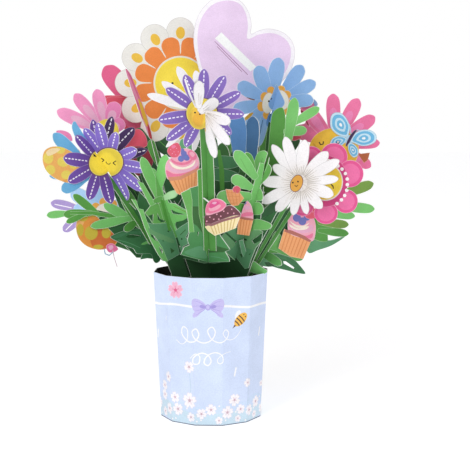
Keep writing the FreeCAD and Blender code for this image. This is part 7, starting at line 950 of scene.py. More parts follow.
CARDS["balloon_lower"] = ("AB", -0.36, "balloon", [
    ("c", [(-81.9, 76.9), (-79.5, 82.9), (-74.7, 86.8), (-69, 88.1), (-63.8, 86.3), (-59.1, 81.5), (-56.1, 74.8), (-54.8, 68.9), (-57.3, 64.5), (-62.5, 62.6), (-69.4, 62.2), (-76.5, 64.8), (-81, 69.8)]),
    ("c", [(-63.6, 64.3), (-59.2, 65.6), (-55.7, 61.8), (-59.5, 59.8), (-62.9, 60.4)]),
    ("p", [(-62.7, 66), (-48.3, 60.1), (-33.7, 53.9), (-31.6, 57.5), (-46.2, 63.7), (-60.3, 70.1)]),
    ("p", [(-65.7, 62.4), (-65.6, 59), (-62.6, 57.6), (-59.2, 59.8), (-59.7, 60.4), (-62.6, 58.5), (-64.7, 59.5), (-64.9, 62.5)]),
    ("p", [(-59.9, 61.4), (-59.7, 56.2), (-58.7, 50.3), (-58.2, 50.5), (-59.2, 56.3), (-59.3, 61.5)]),
], [
    (2, "stem_dark"),
    (0, "balloon_low"),
    # painted light on the left of the lower balloon and painted shade on its lower right
    (("c", [(-81.2, 78.2), (-78, 83.4), (-72, 87), (-75.8, 80.4), (-79.8, 73), (-79.2, 68.5)]), "balloon_pale"),
    (("c", [(-67.7, 76.1), (-61.3, 77.1), (-56.5, 74.2), (-55.1, 68.9), (-57.9, 64.8), (-62.4, 62.9), (-69.4, 62.5), (-73.1, 64.9), (-73.3, 71.3)]), "balloon_dk"),
    (("c", [(-72.6, 83.5), (-73.3, 82.1), (-74.7, 81.1), (-76.4, 80.8), (-78, 81.3), (-79.1, 82.4), (-79.3, 83.8), (-78.6, 85.2), (-77.2, 86.2), (-75.4, 86.5), (-73.8, 86.1), (-72.8, 85)]), "spot_low"),
    (("c", [(-67.9, 72.9), (-68.9, 70.7), (-70.8, 69.2), (-73.1, 68.7), (-75.2, 69.4), (-76.5, 71.2), (-76.7, 73.4), (-75.7, 75.6), (-73.8, 77.2), (-71.5, 77.6), (-69.4, 76.9), (-68.1, 75.2)]), "spot_low"),
    (("c", [(-59, 72.4), (-59.7, 70.7), (-61.1, 69.4), (-62.7, 69.1), (-64.2, 69.6), (-65.1, 71), (-65.2, 72.8), (-64.5, 74.5), (-63.1, 75.7), (-61.5, 76.1), (-60, 75.6), (-59.1, 74.2)]), "spot_low"),
    (("c", [(-77, 75.4), (-77.7, 73.5), (-78.7, 72.1), (-80, 71.7), (-81.1, 72.3), (-81.7, 73.7), (-81.7, 75.6), (-81.1, 77.5), (-80, 78.9), (-78.7, 79.3), (-77.6, 78.7), (-77, 77.3)]), "spot_low"),
    (("c", [(-65.7, 63.8), (-66.3, 63.1), (-67.6, 62.7), (-69.4, 62.6), (-71, 62.9), (-72.2, 63.5), (-72.5, 64.2), (-71.9, 64.9), (-70.6, 65.3), (-68.9, 65.4), (-67.2, 65.1), (-66.1, 64.5)]), "spot_low"),
    (("c", [(-66.1, 85.1), (-66.6, 84.2), (-67.8, 83.5), (-69.2, 83.3), (-70.5, 83.7), (-71.4, 84.4), (-71.6, 85.4), (-71, 86.3), (-69.9, 87), (-68.5, 87.2), (-67.2, 86.9), (-66.3, 86.1)]), "spot_low"),
    (1, "rose"),
    (3, "ribbon_blue"),
    (4, "thread"),
    (("c", [(-62.3, 63.9), (-59.4, 64.6), (-59, 62.7), (-61.3, 61.5)]), "pink_pale"),
])
CARDS["bloom_sky_left"] = ("BF", 0.4, "blue_pale", [
    ("c", [(-61.9, 85.5), (-66, 89.5), (-70.9, 93.9), (-75.8, 97.3), (-81.4, 99.8), (-86, 100.3), (-91.9, 98.4), (-93.7, 94), (-92.2, 90.8), (-87.7, 87.3), (-82, 84.4), (-75.1, 81.7), (-68.8, 79.5)]),
    ("c", [(-61.2, 84.2), (-61.1, 88.6), (-61.3, 93.3), (-62.1, 97.3), (-63.9, 100.7), (-66.3, 102.3), (-71.2, 102.1), (-75.3, 98.9), (-76.5, 96), (-76, 92), (-74.5, 88.2), (-72, 84.3), (-69.5, 80.9)]),
    ("c", [(-64, 80.6), (-59.7, 82.2), (-54.9, 84.1), (-50.9, 86.1), (-47.5, 88.5), (-45.9, 90.5), (-45.8, 93.4), (-48.6, 94.6), (-51.4, 94.2), (-55.3, 92.5), (-59.1, 90.2), (-63.1, 87.2), (-66.7, 84.5)]),
    ("c", [(-67.1, 80.2), (-63.6, 78.6), (-59.6, 77), (-55.8, 75.8), (-51.8, 75.4), (-48.8, 75.9), (-45.6, 78), (-45.3, 80.8), (-46.8, 82.3), (-50.2, 83.6), (-54.3, 84.2), (-59.1, 84.6), (-63.6, 84.9)]),
    ("c", [(-68.6, 81), (-68.3, 77.5), (-67.8, 73.7), (-66.8, 70.5), (-65, 67.8), (-62.8, 66.7), (-58.8, 67.2), (-55.8, 70), (-55.1, 72.4), (-55.8, 75.6), (-57.4, 78.4), (-59.8, 81.4), (-62, 84)]),
    ("c", [(-63.6, 85.3), (-68.6, 86.9), (-74.3, 88.4), (-79.7, 89.4), (-85.4, 89.6), (-89.4, 88.8), (-93.6, 86), (-93.3, 82.7), (-90.8, 81.1), (-85.7, 79.9), (-79.8, 79.5), (-73.1, 79.5), (-67, 79.7)]),
    ("c", [(-68.6, 87.3), (-69.7, 85.6), (-71.7, 84.3), (-74, 83.8), (-75.9, 84.1), (-77.1, 85.3), (-77.1, 86.9), (-75.9, 88.6), (-73.9, 89.9), (-71.6, 90.5), (-69.7, 90.1), (-68.6, 89)]),
    ("c", [(-60, 91.3), (-61.1, 89.6), (-63.1, 88.3), (-65.3, 87.8), (-67.3, 88.1), (-68.4, 89.3), (-68.4, 90.9), (-67.3, 92.6), (-65.3, 93.9), (-63.1, 94.4), (-61.2, 94), (-60, 92.9)]),
    ("c", [(-52.4, 90.3), (-53.5, 88.6), (-55.4, 87.3), (-57.6, 86.8), (-59.6, 87.1), (-60.7, 88.2), (-60.7, 89.9), (-59.6, 91.5), (-57.7, 92.8), (-55.4, 93.3), (-53.5, 93), (-52.4, 91.9)]),
    ("c", [(-50.7, 84.8), (-51.8, 83.1), (-53.7, 81.8), (-55.9, 81.2), (-57.9, 81.5), (-59, 82.7), (-59, 84.3), (-57.9, 86), (-56, 87.3), (-53.8, 87.8), (-51.8, 87.5), (-50.7, 86.4)]),
    ("c", [(-54.2, 76.1), (-55.2, 74.4), (-57.1, 73.2), (-59.2, 72.6), (-61.1, 72.9), (-62.2, 74), (-62.2, 75.6), (-61.1, 77.2), (-59.3, 78.5), (-57.1, 79), (-55.3, 78.7), (-54.2, 77.6)]),
    ("c", [(-59.7, 72.2), (-60.7, 70.6), (-62.5, 69.4), (-64.5, 68.8), (-66.3, 69.1), (-67.4, 70.1), (-67.4, 71.6), (-66.3, 73.2), (-64.5, 74.5), (-62.5, 75), (-60.7, 74.7), (-59.7, 73.7)]),
    ("c", [(-71.7, 80.7), (-72.9, 79), (-74.9, 77.7), (-77.2, 77.1), (-79.2, 77.4), (-80.3, 78.6), (-80.3, 80.2), (-79.2, 82), (-77.1, 83.3), (-74.8, 83.9), (-72.9, 83.5), (-71.7, 82.4)]),
    ("c", [(-55.1, 82.4), (-57.9, 78), (-62.8, 74.5), (-68.5, 73), (-73.5, 73.9), (-76.3, 76.9), (-76.2, 81.2), (-73.3, 85.7), (-68.3, 89.1), (-62.6, 90.5), (-57.8, 89.6), (-55.1, 86.6)]),
    ("c", [(-87.3, 86.9), (-91.9, 88.5), (-97.2, 90.1), (-102.3, 90.9), (-107.6, 91.1), (-111.3, 90.4), (-114.8, 88.3), (-114.2, 85.7), (-111.7, 84.4), (-106.8, 83.5), (-101.3, 83.3), (-94.7, 83.8), (-88.9, 84.3)]),
    ("c", [(-86.6, 82.4), (-92, 80.5), (-98, 78.1), (-103.1, 75.6), (-107.7, 72.6), (-110, 70.3), (-110.5, 67.3), (-107.2, 66.6), (-103.7, 67.5), (-98.8, 69.9), (-94.1, 73), (-89.3, 76.8), (-85.1, 80.4)]),
], [
    (14, "lavender"),
    (15, "lavender"),
    (("p", [(-111.5, 87), (-95.9, 85.2), (-95.4, 85.9), (-111, 87.7)]), "dash"),
    (("p", [(-107.5, 68), (-98.6, 73.8), (-99.1, 74.3), (-108, 68.5)]), "dash"),
    (0, "blue_pale"),
    (1, "blue_pale"),
    (2, "blue_pale"),
    (3, "blue_pale"),
    (4, "blue_pale"),
    (5, "blue_pale"),
    (6, "marigold"),
    (7, "marigold"),
    (8, "marigold"),
    (9, "marigold"),
    (10, "marigold"),
    (11, "marigold"),
    (12, "marigold"),
    (13, "cream"),
    (("c", [(-70.7, 83.7), (-71.2, 83.1), (-72, 82.8), (-72.7, 83), (-72.8, 83.5), (-72.3, 84.1), (-71.5, 84.4), (-70.8, 84.2)]), "ink"),
    (("c", [(-70.3, 81.2), (-71, 80.4), (-72.1, 80), (-72.9, 80.3), (-73.1, 81), (-72.4, 81.8), (-71.3, 82.2), (-70.4, 81.9)]), "ink"),
    (("c", [(-61.9, 80.6), (-62.4, 80.1), (-63.1, 79.8), (-63.7, 80), (-63.8, 80.5), (-63.3, 81), (-62.6, 81.3), (-62, 81.1)]), "ink"),
])
CARDS["bloom_pink_right"] = ("H10", 0, "rose", [
    ("c", [(80.4, 124), (81.4, 131.3), (82.3, 139.4), (82.4, 146.7), (81.9, 151.6), (80.6, 154.4), (77.6, 156.3), (74.6, 154.3), (73.5, 151.4), (73.1, 146.5), (73.7, 139.3), (74.9, 131.1), (76.2, 123.9)]),
    ("c", [(80.2, 123), (84.7, 128.9), (89.5, 135.8), (93.3, 142.2), (95.2, 146.7), (95.6, 149.9), (93.9, 153.1), (90.3, 152.8), (87.8, 150.7), (85.1, 146.6), (81.9, 139.9), (78.9, 132), (76.5, 124.9)]),
    ("c", [(79.5, 122.3), (85.9, 125.3), (93.1, 128.9), (99.1, 132.6), (102.8, 135.6), (104.5, 138.1), (104.4, 141.6), (101.3, 142.9), (98.3, 142.3), (94.1, 140), (88.4, 135.8), (82.4, 130.5), (77.2, 125.6)]),
    ("c", [(78.4, 122.3), (85, 121.5), (92.4, 120.9), (99, 120.8), (103.4, 121.2), (106, 122.2), (107.7, 124.6), (105.9, 126.9), (103.2, 127.8), (98.8, 128.1), (92.2, 127.7), (84.8, 126.7), (78.3, 125.6)]),
    ("c", [(77.4, 122.4), (82.2, 118.3), (87.7, 113.8), (92.8, 110.3), (96.6, 108.4), (99.3, 107.9), (102, 109.2), (101.9, 112.3), (100.4, 114.5), (97, 117), (91.5, 120.1), (85.1, 123), (79.3, 125.5)]),
    ("c", [(80.1, 125.3), (76.5, 131.9), (72.3, 139), (68, 145), (64.6, 148.5), (61.8, 150), (58, 149.6), (56.8, 146.1), (57.6, 143), (60.2, 138.8), (65.1, 133.3), (71.1, 127.5), (76.6, 122.6)]),
    ("c", [(76.7, 122.6), (78.2, 119.1), (79.9, 115.4), (82, 112.4), (83.9, 110.9), (85.7, 110.6), (88.6, 111.8), (90.3, 114.4), (90.3, 116.3), (89.1, 118.4), (86.5, 120.9), (83.1, 123.3), (79.9, 125.3)]),
    ("c", [(60.3, 141.9), (67.4, 143.8), (72.5, 138.1), (72.6, 126.5), (65.5, 124.6), (55.3, 127.1), (48.8, 130.4), (53.9, 135.5), (59.7, 137.4)]),
    ("c", [(47.5, 131.6), (54, 129.7), (57.8, 128.4), (52.7, 125.9), (48.2, 128.4)]),
    ("c", [(94.3, 120.1), (93.1, 114.7), (89.7, 110.1), (84.5, 107.1), (78.4, 106), (72.3, 107.1), (67.1, 110.1), (63.6, 114.7), (62.3, 120.1), (63.5, 125.5), (67, 130.1), (72.2, 133.1), (78.3, 134.2), (84.4, 133.1), (89.6, 130.1), (93.1, 125.5)]),
    ("p", [(93.7, 117.6), (101.3, 118.5), (100.1, 113.7), (97.5, 111.8)]),
    ("c", [(55.2, 151.5), (58.4, 153.7), (63.5, 153.8), (67.3, 150.9), (67.2, 148.1), (61.6, 146.4), (56.5, 146.4)]),
    ("p", [(74.1, 120.1), (17.9, 30), (19.9, 30), (77.5, 120.1)]),
    ("h", [(55.38, 148.08), (55.47, 147.87), (55.76, 147.27), (55.98, 147.18), (56.58, 147.11), (56.79, 147.2), (56.88, 147.41), (59.34, 153.79), (59.25, 154.01), (59.04, 154.09), (58.4, 154), (57.54, 153.66), (57.45, 153.44)]),
], [
    (12, "stem"),
    (7, "rose"),
    (8, "rose_red"),
    (11, "blue_grey"),
    (("c", [(65.6, 148.9), (65.3, 147.4), (64, 146.1), (62, 145.4), (59.9, 145.5), (58.3, 146.4), (57.5, 147.8), (57.9, 149.3), (59.2, 150.6), (61.2, 151.2), (63.2, 151.1), (64.9, 150.3)]), "rose"),
    (0, "rose"),
    (1, "rose"),
    (2, "rose"),
    (3, "rose"),
    (4, "rose"),
    (5, "rose"),
    (6, "rose"),
    (("c", [(79, 133.7), (79.6, 136.4), (80.2, 139.4), (80.4, 142.1), (80.1, 144.7), (79.4, 146.3), (77.8, 147.3), (76.2, 146.2), (75.6, 144.6), (75.4, 142), (75.7, 139.4), (76.4, 136.3), (77.2, 133.6)]), "pink_mid"),
    (("c", [(83.8, 132.3), (85.7, 134.4), (87.7, 136.8), (89.2, 139.1), (90.3, 141.6), (90.4, 143.3), (89.5, 145), (87.6, 144.8), (86.3, 143.7), (84.8, 141.5), (83.7, 139), (82.9, 135.9), (82.2, 133.1)]), "pink_mid"),
    (("c", [(86.6, 128.5), (89.2, 129.4), (92, 130.5), (94.3, 131.8), (96.3, 133.4), (97.2, 134.8), (97.1, 136.6), (95.4, 137.4), (93.8, 137.1), (91.6, 135.8), (89.6, 134.2), (87.5, 132), (85.7, 130)]), "pink_mid"),
    (("c", [(87.2, 123.5), (89.6, 122.9), (92.4, 122.5), (94.9, 122.4), (97.2, 122.6), (98.6, 123.1), (99.5, 124.4), (98.5, 125.7), (97.1, 126.2), (94.7, 126.3), (92.3, 126.1), (89.6, 125.5), (87.1, 124.8)]), "pink_mid"),
    (("c", [(85, 118.9), (86.7, 117.1), (88.6, 115.3), (90.5, 113.9), (92.5, 112.9), (93.9, 112.7), (95.4, 113.4), (95.4, 115), (94.5, 116.2), (92.7, 117.5), (90.7, 118.6), (88.1, 119.5), (85.8, 120.2)]), "pink_mid"),
    (("c", [(73, 132.2), (71.9, 134.9), (70.6, 137.7), (69.1, 140), (67.2, 141.9), (65.7, 142.7), (63.7, 142.4), (63, 140.5), (63.5, 138.9), (64.9, 136.7), (66.7, 134.7), (69.2, 132.7), (71.5, 131.1)]), "pink_mid"),
    (("c", [(80.7, 119.7), (81, 118.2), (81.5, 116.7), (82.2, 115.5), (83.2, 114.7), (84.2, 114.5), (85.7, 115.2), (86.6, 116.6), (86.6, 117.6), (86, 118.8), (85, 119.6), (83.5, 120.3), (82.1, 120.9)]), "pink_mid"),
    (9, "yellow_deep"),
    (10, "brown"),
    (("p", [(68.4, 125), (69.5, 123.2), (71.6, 123.6), (72, 125.5), (71.2, 125.7), (71, 124.1), (69.9, 123.9), (69.1, 125.4)]), "ink"),
    (("p", [(55.4, 145.1), (57.4, 145.5), (59, 144.5), (57.1, 142.9)]), "red_dark"),
    (("c", [(60.1, 139.7), (61.2, 138.3), (62.3, 135.5), (60.9, 136.8)]), "red_dark"),
    (("c", [(63.1, 135.5), (62.9, 135.1), (62.5, 134.9), (62.1, 135.1), (62, 135.5), (62.1, 135.9), (62.5, 136.1), (62.9, 135.9)]), "pink_pale"),
    (("c", [(64.9, 124.6), (69.4, 120.1), (74.5, 118.2), (78.3, 118.8), (75.8, 115.6), (68.1, 117.5)]), "amber_shade"),
])
CARDS["butterfly"] = ("H10", 0.36, "wing", [
    ("c", [(86.6, 128.4), (80.8, 129.7), (76.3, 134.2), (76, 140.6), (78.2, 143.8), (82.7, 143.8), (86.5, 139.9), (88.5, 134.8), (87.9, 131)]),
    ("c", [(86.6, 126.5), (82.8, 122.6), (78.3, 121.4), (75.8, 123.3), (77, 127.1), (80.8, 129.1), (85.3, 128.4)]),
    ("c", [(88.5, 125.9), (91.1, 130.3), (95.5, 132.9), (101.3, 132.9), (105.1, 130), (105.1, 125.9), (101.3, 123.3), (96.2, 122.7), (91.7, 124.3)]),
    ("c", [(87.9, 124.6), (91.1, 123.9), (93.7, 120.7), (93.7, 116.9), (91.1, 115.3), (88.6, 117.5), (87.3, 121.4)]),
    ("p", [(86.4, 122.4), (88.5, 125), (90.4, 128.5), (92, 131.1), (93, 132.6), (92.3, 133.2), (90.7, 132.2), (88.5, 129.6), (86.7, 126), (85.6, 122.9)]),
    ("c", [(90.6, 126.5), (90.2, 124.9), (89.2, 123.7), (87.9, 123.3), (86.6, 123.7), (85.6, 124.9), (85.2, 126.5), (85.6, 128.1), (86.5, 129.3), (87.9, 129.7), (89.2, 129.3), (90.2, 128.1)]),
    ("p", [(91.9, 131.4), (93.3, 132.8), (95.3, 132.1), (95.3, 130.8), (94.5, 131.2), (94.4, 130.8), (95.7, 130.5), (95.7, 132.4), (93.2, 133.3), (91.5, 131.8)]),
    ("p", [(89.4, 130.4), (89.1, 134.2), (88.3, 136.9), (86.4, 136.9), (86.7, 135.1), (87.1, 135.2), (86.8, 136.6), (88, 136.6), (88.6, 134.1), (88.9, 130.3)]),
], [
    (0, "wing_pale"),
    (("c", [(85.9, 129.8), (81.2, 130.9), (77.5, 134.5), (77.2, 139.8), (79, 142.4), (82.7, 142.4), (85.8, 139.3), (87.4, 135.1), (86.9, 131.9)]), "wing"),
    (("c", [(84.8, 131.9), (81.6, 132.6), (79.2, 135.1), (79, 138.6), (80.2, 140.4), (82.7, 140.4), (84.8, 138.3), (85.8, 135.5), (85.5, 133.3)]), "wing_pale"),
    (("c", [(84.1, 133.4), (82, 133.9), (80.4, 135.5), (80.2, 137.8), (81, 139), (82.6, 139), (84, 137.6), (84.7, 135.7), (84.5, 134.3)]), "wing"),
    (("c", [(83.2, 135.1), (82.4, 135.3), (81.7, 136), (81.7, 136.9), (82, 137.3), (82.6, 137.3), (83.2, 136.8), (83.4, 136), (83.4, 135.5)]), "paperwhite"),
    (1, "wing_pale"),
    (("c", [(85.6, 126.3), (82.5, 123.2), (78.8, 122.1), (76.7, 123.7), (77.7, 126.8), (80.9, 128.4), (84.5, 127.9)]), "wing"),
    (("c", [(84.1, 126), (82, 123.9), (79.5, 123.2), (78.1, 124.3), (78.8, 126.4), (80.9, 127.4), (83.4, 127.1)]), "wing_pale"),
    (("c", [(83, 125.8), (81.6, 124.5), (80, 124), (79.1, 124.7), (79.5, 126.1), (80.9, 126.8), (82.5, 126.5)]), "wing"),
    (("c", [(81.7, 125.6), (81.2, 125.1), (80.6, 124.9), (80.2, 125.2), (80.4, 125.7), (80.9, 126), (81.6, 125.9)]), "paperwhite"),
    (2, "wing_pale"),
    (("c", [(90.1, 126.2), (92.2, 129.8), (95.8, 131.9), (100.5, 131.9), (103.7, 129.6), (103.7, 126.2), (100.6, 124.1), (96.4, 123.5), (92.7, 124.9)]), "wing"),
    (("c", [(92.5, 126.6), (93.9, 129.1), (96.3, 130.5), (99.5, 130.5), (101.6, 128.9), (101.6, 126.6), (99.5, 125.2), (96.7, 124.9), (94.2, 125.7)]), "wing_pale"),
    (("c", [(94.1, 127), (95.1, 128.6), (96.7, 129.5), (98.7, 129.5), (100.1, 128.5), (100.1, 127), (98.7, 126), (96.9, 125.8), (95.3, 126.4)]), "wing"),
    (("c", [(96.1, 127.3), (96.4, 128), (97.1, 128.3), (97.9, 128.3), (98.4, 127.9), (98.4, 127.3), (97.9, 127), (97.2, 126.9), (96.5, 127.1)]), "paperwhite"),
    (3, "wing_pale"),
    (("c", [(88.4, 123.8), (91, 123.2), (93.1, 120.6), (93.1, 117.5), (91, 116.1), (88.9, 118), (87.8, 121.1)]), "wing"),
    (("c", [(89, 122.5), (90.8, 122.2), (92.2, 120.4), (92.2, 118.3), (90.8, 117.4), (89.4, 118.7), (88.7, 120.8)]), "wing_pale"),
    (("c", [(89.5, 121.7), (90.7, 121.4), (91.6, 120.3), (91.6, 118.9), (90.7, 118.3), (89.8, 119.1), (89.3, 120.5)]), "wing"),
    (("c", [(90.1, 120.7), (90.5, 120.6), (90.9, 120.1), (90.9, 119.6), (90.6, 119.4), (90.2, 119.7), (90, 120.2)]), "paperwhite"),
    (4, "violet_dark"),
    (("c", [(81.9, 124.9), (81.6, 124.1), (80.9, 123.8), (80.1, 124.1), (79.8, 124.9), (80.1, 125.7), (80.9, 126), (81.6, 125.7)]), "violet_dark"),
    (("c", [(81.4, 125.2), (81.2, 124.8), (80.9, 124.7), (80.5, 124.8), (80.3, 125.2), (80.5, 125.6), (80.9, 125.7), (81.2, 125.6)]), "paperwhite"),
])
CARDS["bloom_scalloped"] = ("H-12", 0, "magenta", [
    ("c", [(85.3, 117), (84.3, 112.8), (81.3, 109.7), (77.1, 108.6), (72.9, 109.7), (69.8, 112.8), (68.7, 117), (69.7, 121.2), (72.7, 124.3), (76.8, 125.4), (81, 124.3), (84.1, 121.2)]),
    ("c", [(95.4, 106.4), (94.4, 102.2), (91.5, 99.1), (87.5, 97.9), (83.5, 99), (80.5, 102.1), (79.3, 106.4), (80.3, 110.6), (83.2, 113.7), (87.2, 114.8), (91.2, 113.7), (94.2, 110.6)]),
    ("c", [(92.2, 89.1), (91.3, 85.2), (88.7, 82.4), (85, 81.4), (81.3, 82.4), (78.6, 85.2), (77.5, 89), (78.5, 92.8), (81.1, 95.6), (84.7, 96.6), (88.4, 95.6), (91.2, 92.9)]),
    ("c", [(80, 81.4), (79.1, 77.9), (76.4, 75.3), (72.7, 74.3), (68.9, 75.2), (66.1, 77.8), (65.1, 81.3), (66, 84.8), (68.7, 87.4), (72.5, 88.4), (76.2, 87.4), (79, 84.9)]),
    ("c", [(65, 86.4), (64.1, 82.9), (61.6, 80.3), (58.2, 79.4), (54.8, 80.3), (52.2, 82.9), (51.3, 86.4), (52.2, 89.9), (54.7, 92.5), (58.1, 93.4), (61.5, 92.5), (64, 89.9)]),
    ("c", [(62.3, 103.5), (61.4, 99.7), (58.7, 97), (54.9, 95.9), (51.2, 96.9), (48.5, 99.7), (47.4, 103.5), (48.4, 107.3), (51.1, 110), (54.8, 111), (58.5, 110), (61.3, 107.3)]),
    ("c", [(70.2, 116.1), (69.3, 112.3), (66.6, 109.6), (62.9, 108.5), (59.2, 109.6), (56.4, 112.3), (55.4, 116.1), (56.4, 119.8), (59, 122.5), (62.7, 123.5), (66.4, 122.5), (69.2, 119.8)]),
    ("c", [(85.9, 101.7), (84.1, 93.5), (79, 87.4), (71.9, 85.2), (64.7, 87.4), (59.4, 93.4), (57.4, 101.6), (59.2, 109.8), (64.4, 115.8), (71.4, 117.9), (78.5, 115.8), (83.8, 109.8)]),
    ("p", [(57.6, 95.9), (17.5, 30), (19.5, 30), (61, 95.9)]),
], [
    (8, "stem"),
    (7, "magenta"),
    (0, "magenta"),
    (1, "magenta"),
    (2, "magenta"),
    (3, "magenta"),
    (4, "magenta"),
    (5, "magenta"),
    (6, "magenta"),
    (("c", [(83.1, 117), (82.4, 113.9), (80.1, 111.6), (77.1, 110.8), (74, 111.6), (71.7, 113.9), (70.8, 117), (71.6, 120.1), (73.8, 122.4), (76.9, 123.2), (80, 122.4), (82.3, 120.1)]), "magenta_lift"),
    (("c", [(93.3, 106.4), (92.6, 103.3), (90.4, 101), (87.5, 100.1), (84.5, 101), (82.3, 103.2), (81.4, 106.4), (82.1, 109.5), (84.3, 111.8), (87.2, 112.7), (90.2, 111.8), (92.4, 109.5)]), "magenta_lift"),
    (("c", [(90.3, 89), (89.6, 86.2), (87.7, 84.1), (85, 83.4), (82.3, 84.1), (80.2, 86.2), (79.5, 89), (80.1, 91.8), (82.1, 93.9), (84.8, 94.7), (87.5, 93.9), (89.5, 91.9)]), "magenta_lift"),
    (("c", [(78.1, 81.4), (77.4, 78.8), (75.4, 76.9), (72.6, 76.1), (69.8, 76.8), (67.8, 78.7), (67, 81.3), (67.7, 83.9), (69.7, 85.8), (72.5, 86.5), (75.3, 85.9), (77.3, 84)]), "magenta_lift"),
    (("c", [(63.2, 86.4), (62.6, 83.8), (60.7, 81.9), (58.2, 81.2), (55.6, 81.9), (53.8, 83.8), (53.1, 86.4), (53.7, 89), (55.6, 90.9), (58.1, 91.6), (60.6, 90.9), (62.5, 89)]), "magenta_lift"),
    (("c", [(60.4, 103.5), (59.7, 100.7), (57.7, 98.7), (54.9, 97.9), (52.2, 98.6), (50.1, 100.7), (49.4, 103.5), (50.1, 106.3), (52.1, 108.3), (54.8, 109.1), (57.6, 108.3), (59.6, 106.3)]), "magenta_lift"),
    (("c", [(68.3, 116.1), (67.6, 113.3), (65.6, 111.3), (62.9, 110.5), (60.1, 111.2), (58.1, 113.3), (57.3, 116.1), (58, 118.8), (60, 120.9), (62.7, 121.6), (65.5, 120.9), (67.5, 118.8)]), "magenta_lift"),
    (7, "magenta_dark"),
    (("c", [(82.8, 101.4), (81.4, 95.3), (77.4, 90.8), (71.8, 89.2), (66.2, 90.8), (62, 95.2), (60.5, 101.3), (61.9, 107.4), (65.9, 111.8), (71.5, 113.4), (77.1, 111.8), (81.2, 107.4)]), "offwhite"),
    (("c", [(82.1, 101.4), (80.8, 95.7), (77, 91.5), (71.8, 89.9), (66.6, 91.5), (62.7, 95.6), (61.2, 101.3), (62.6, 107), (66.3, 111.1), (71.5, 112.6), (76.7, 111.1), (80.6, 107)]), "yellow"),
    (("c", [(83.1, 109.2), (82.8, 108.4), (82.1, 108.1), (81.3, 108.4), (81, 109.2), (81.3, 110), (82, 110.3), (82.8, 110)]), "paperwhite"),
    (("c", [(85.2, 106.5), (84.9, 105.7), (84.2, 105.4), (83.4, 105.7), (83.1, 106.5), (83.4, 107.2), (84.1, 107.6), (84.9, 107.2)]), "paperwhite"),
    (("c", [(86.5, 103.1), (86.2, 102.3), (85.4, 102), (84.6, 102.3), (84.3, 103.1), (84.6, 103.8), (85.4, 104.2), (86.1, 103.8)]), "paperwhite"),
    (("c", [(86.6, 99.5), (86.3, 98.8), (85.5, 98.4), (84.7, 98.8), (84.4, 99.5), (84.7, 100.3), (85.5, 100.6), (86.3, 100.3)]), "paperwhite"),
    (("c", [(86.3, 96), (86, 95.2), (85.2, 94.9), (84.4, 95.2), (84.1, 96), (84.4, 96.8), (85.2, 97.1), (85.9, 96.8)]), "paperwhite"),
    (("c", [(85, 92.7), (84.7, 91.9), (84, 91.6), (83.2, 91.9), (82.9, 92.7), (83.2, 93.5), (83.9, 93.8), (84.7, 93.5)]), "paperwhite"),
    (("c", [(83.1, 89.9), (82.8, 89.1), (82, 88.8), (81.3, 89.1), (80.9, 89.9), (81.2, 90.7), (82, 91), (82.8, 90.7)]), "paperwhite"),
    (("c", [(80.4, 87.5), (80.1, 86.7), (79.3, 86.4), (78.6, 86.7), (78.2, 87.5), (78.5, 88.3), (79.3, 88.6), (80.1, 88.3)]), "paperwhite"),
    (("c", [(74.7, 114.5), (74.4, 113.7), (73.6, 113.4), (72.9, 113.7), (72.5, 114.5), (72.9, 115.3), (73.6, 115.6), (74.4, 115.3)]), "paperwhite"),
    (("c", [(77.8, 113), (77.5, 112.2), (76.8, 111.9), (76, 112.2), (75.7, 113), (76, 113.7), (76.7, 114), (77.5, 113.7)]), "paperwhite"),
    (("c", [(80.6, 111.2), (80.3, 110.4), (79.6, 110.1), (78.8, 110.4), (78.5, 111.2), (78.8, 112), (79.5, 112.3), (80.3, 112)]), "paperwhite"),
    (("c", [(70.1, 115.1), (69.8, 114.4), (69, 114), (68.2, 114.4), (67.9, 115.1), (68.2, 115.9), (69, 116.2), (69.7, 115.9)]), "paperwhite"),
    (("p", [(75.1, 99.5), (76.3, 98.3), (76.6, 96.9), (77.2, 97), (77, 98.7), (75.7, 100)]), "ink"),
    (("p", [(73.9, 97.4), (75.2, 95.8), (75.7, 96.2), (74.4, 97.8)]), "ink"),
])
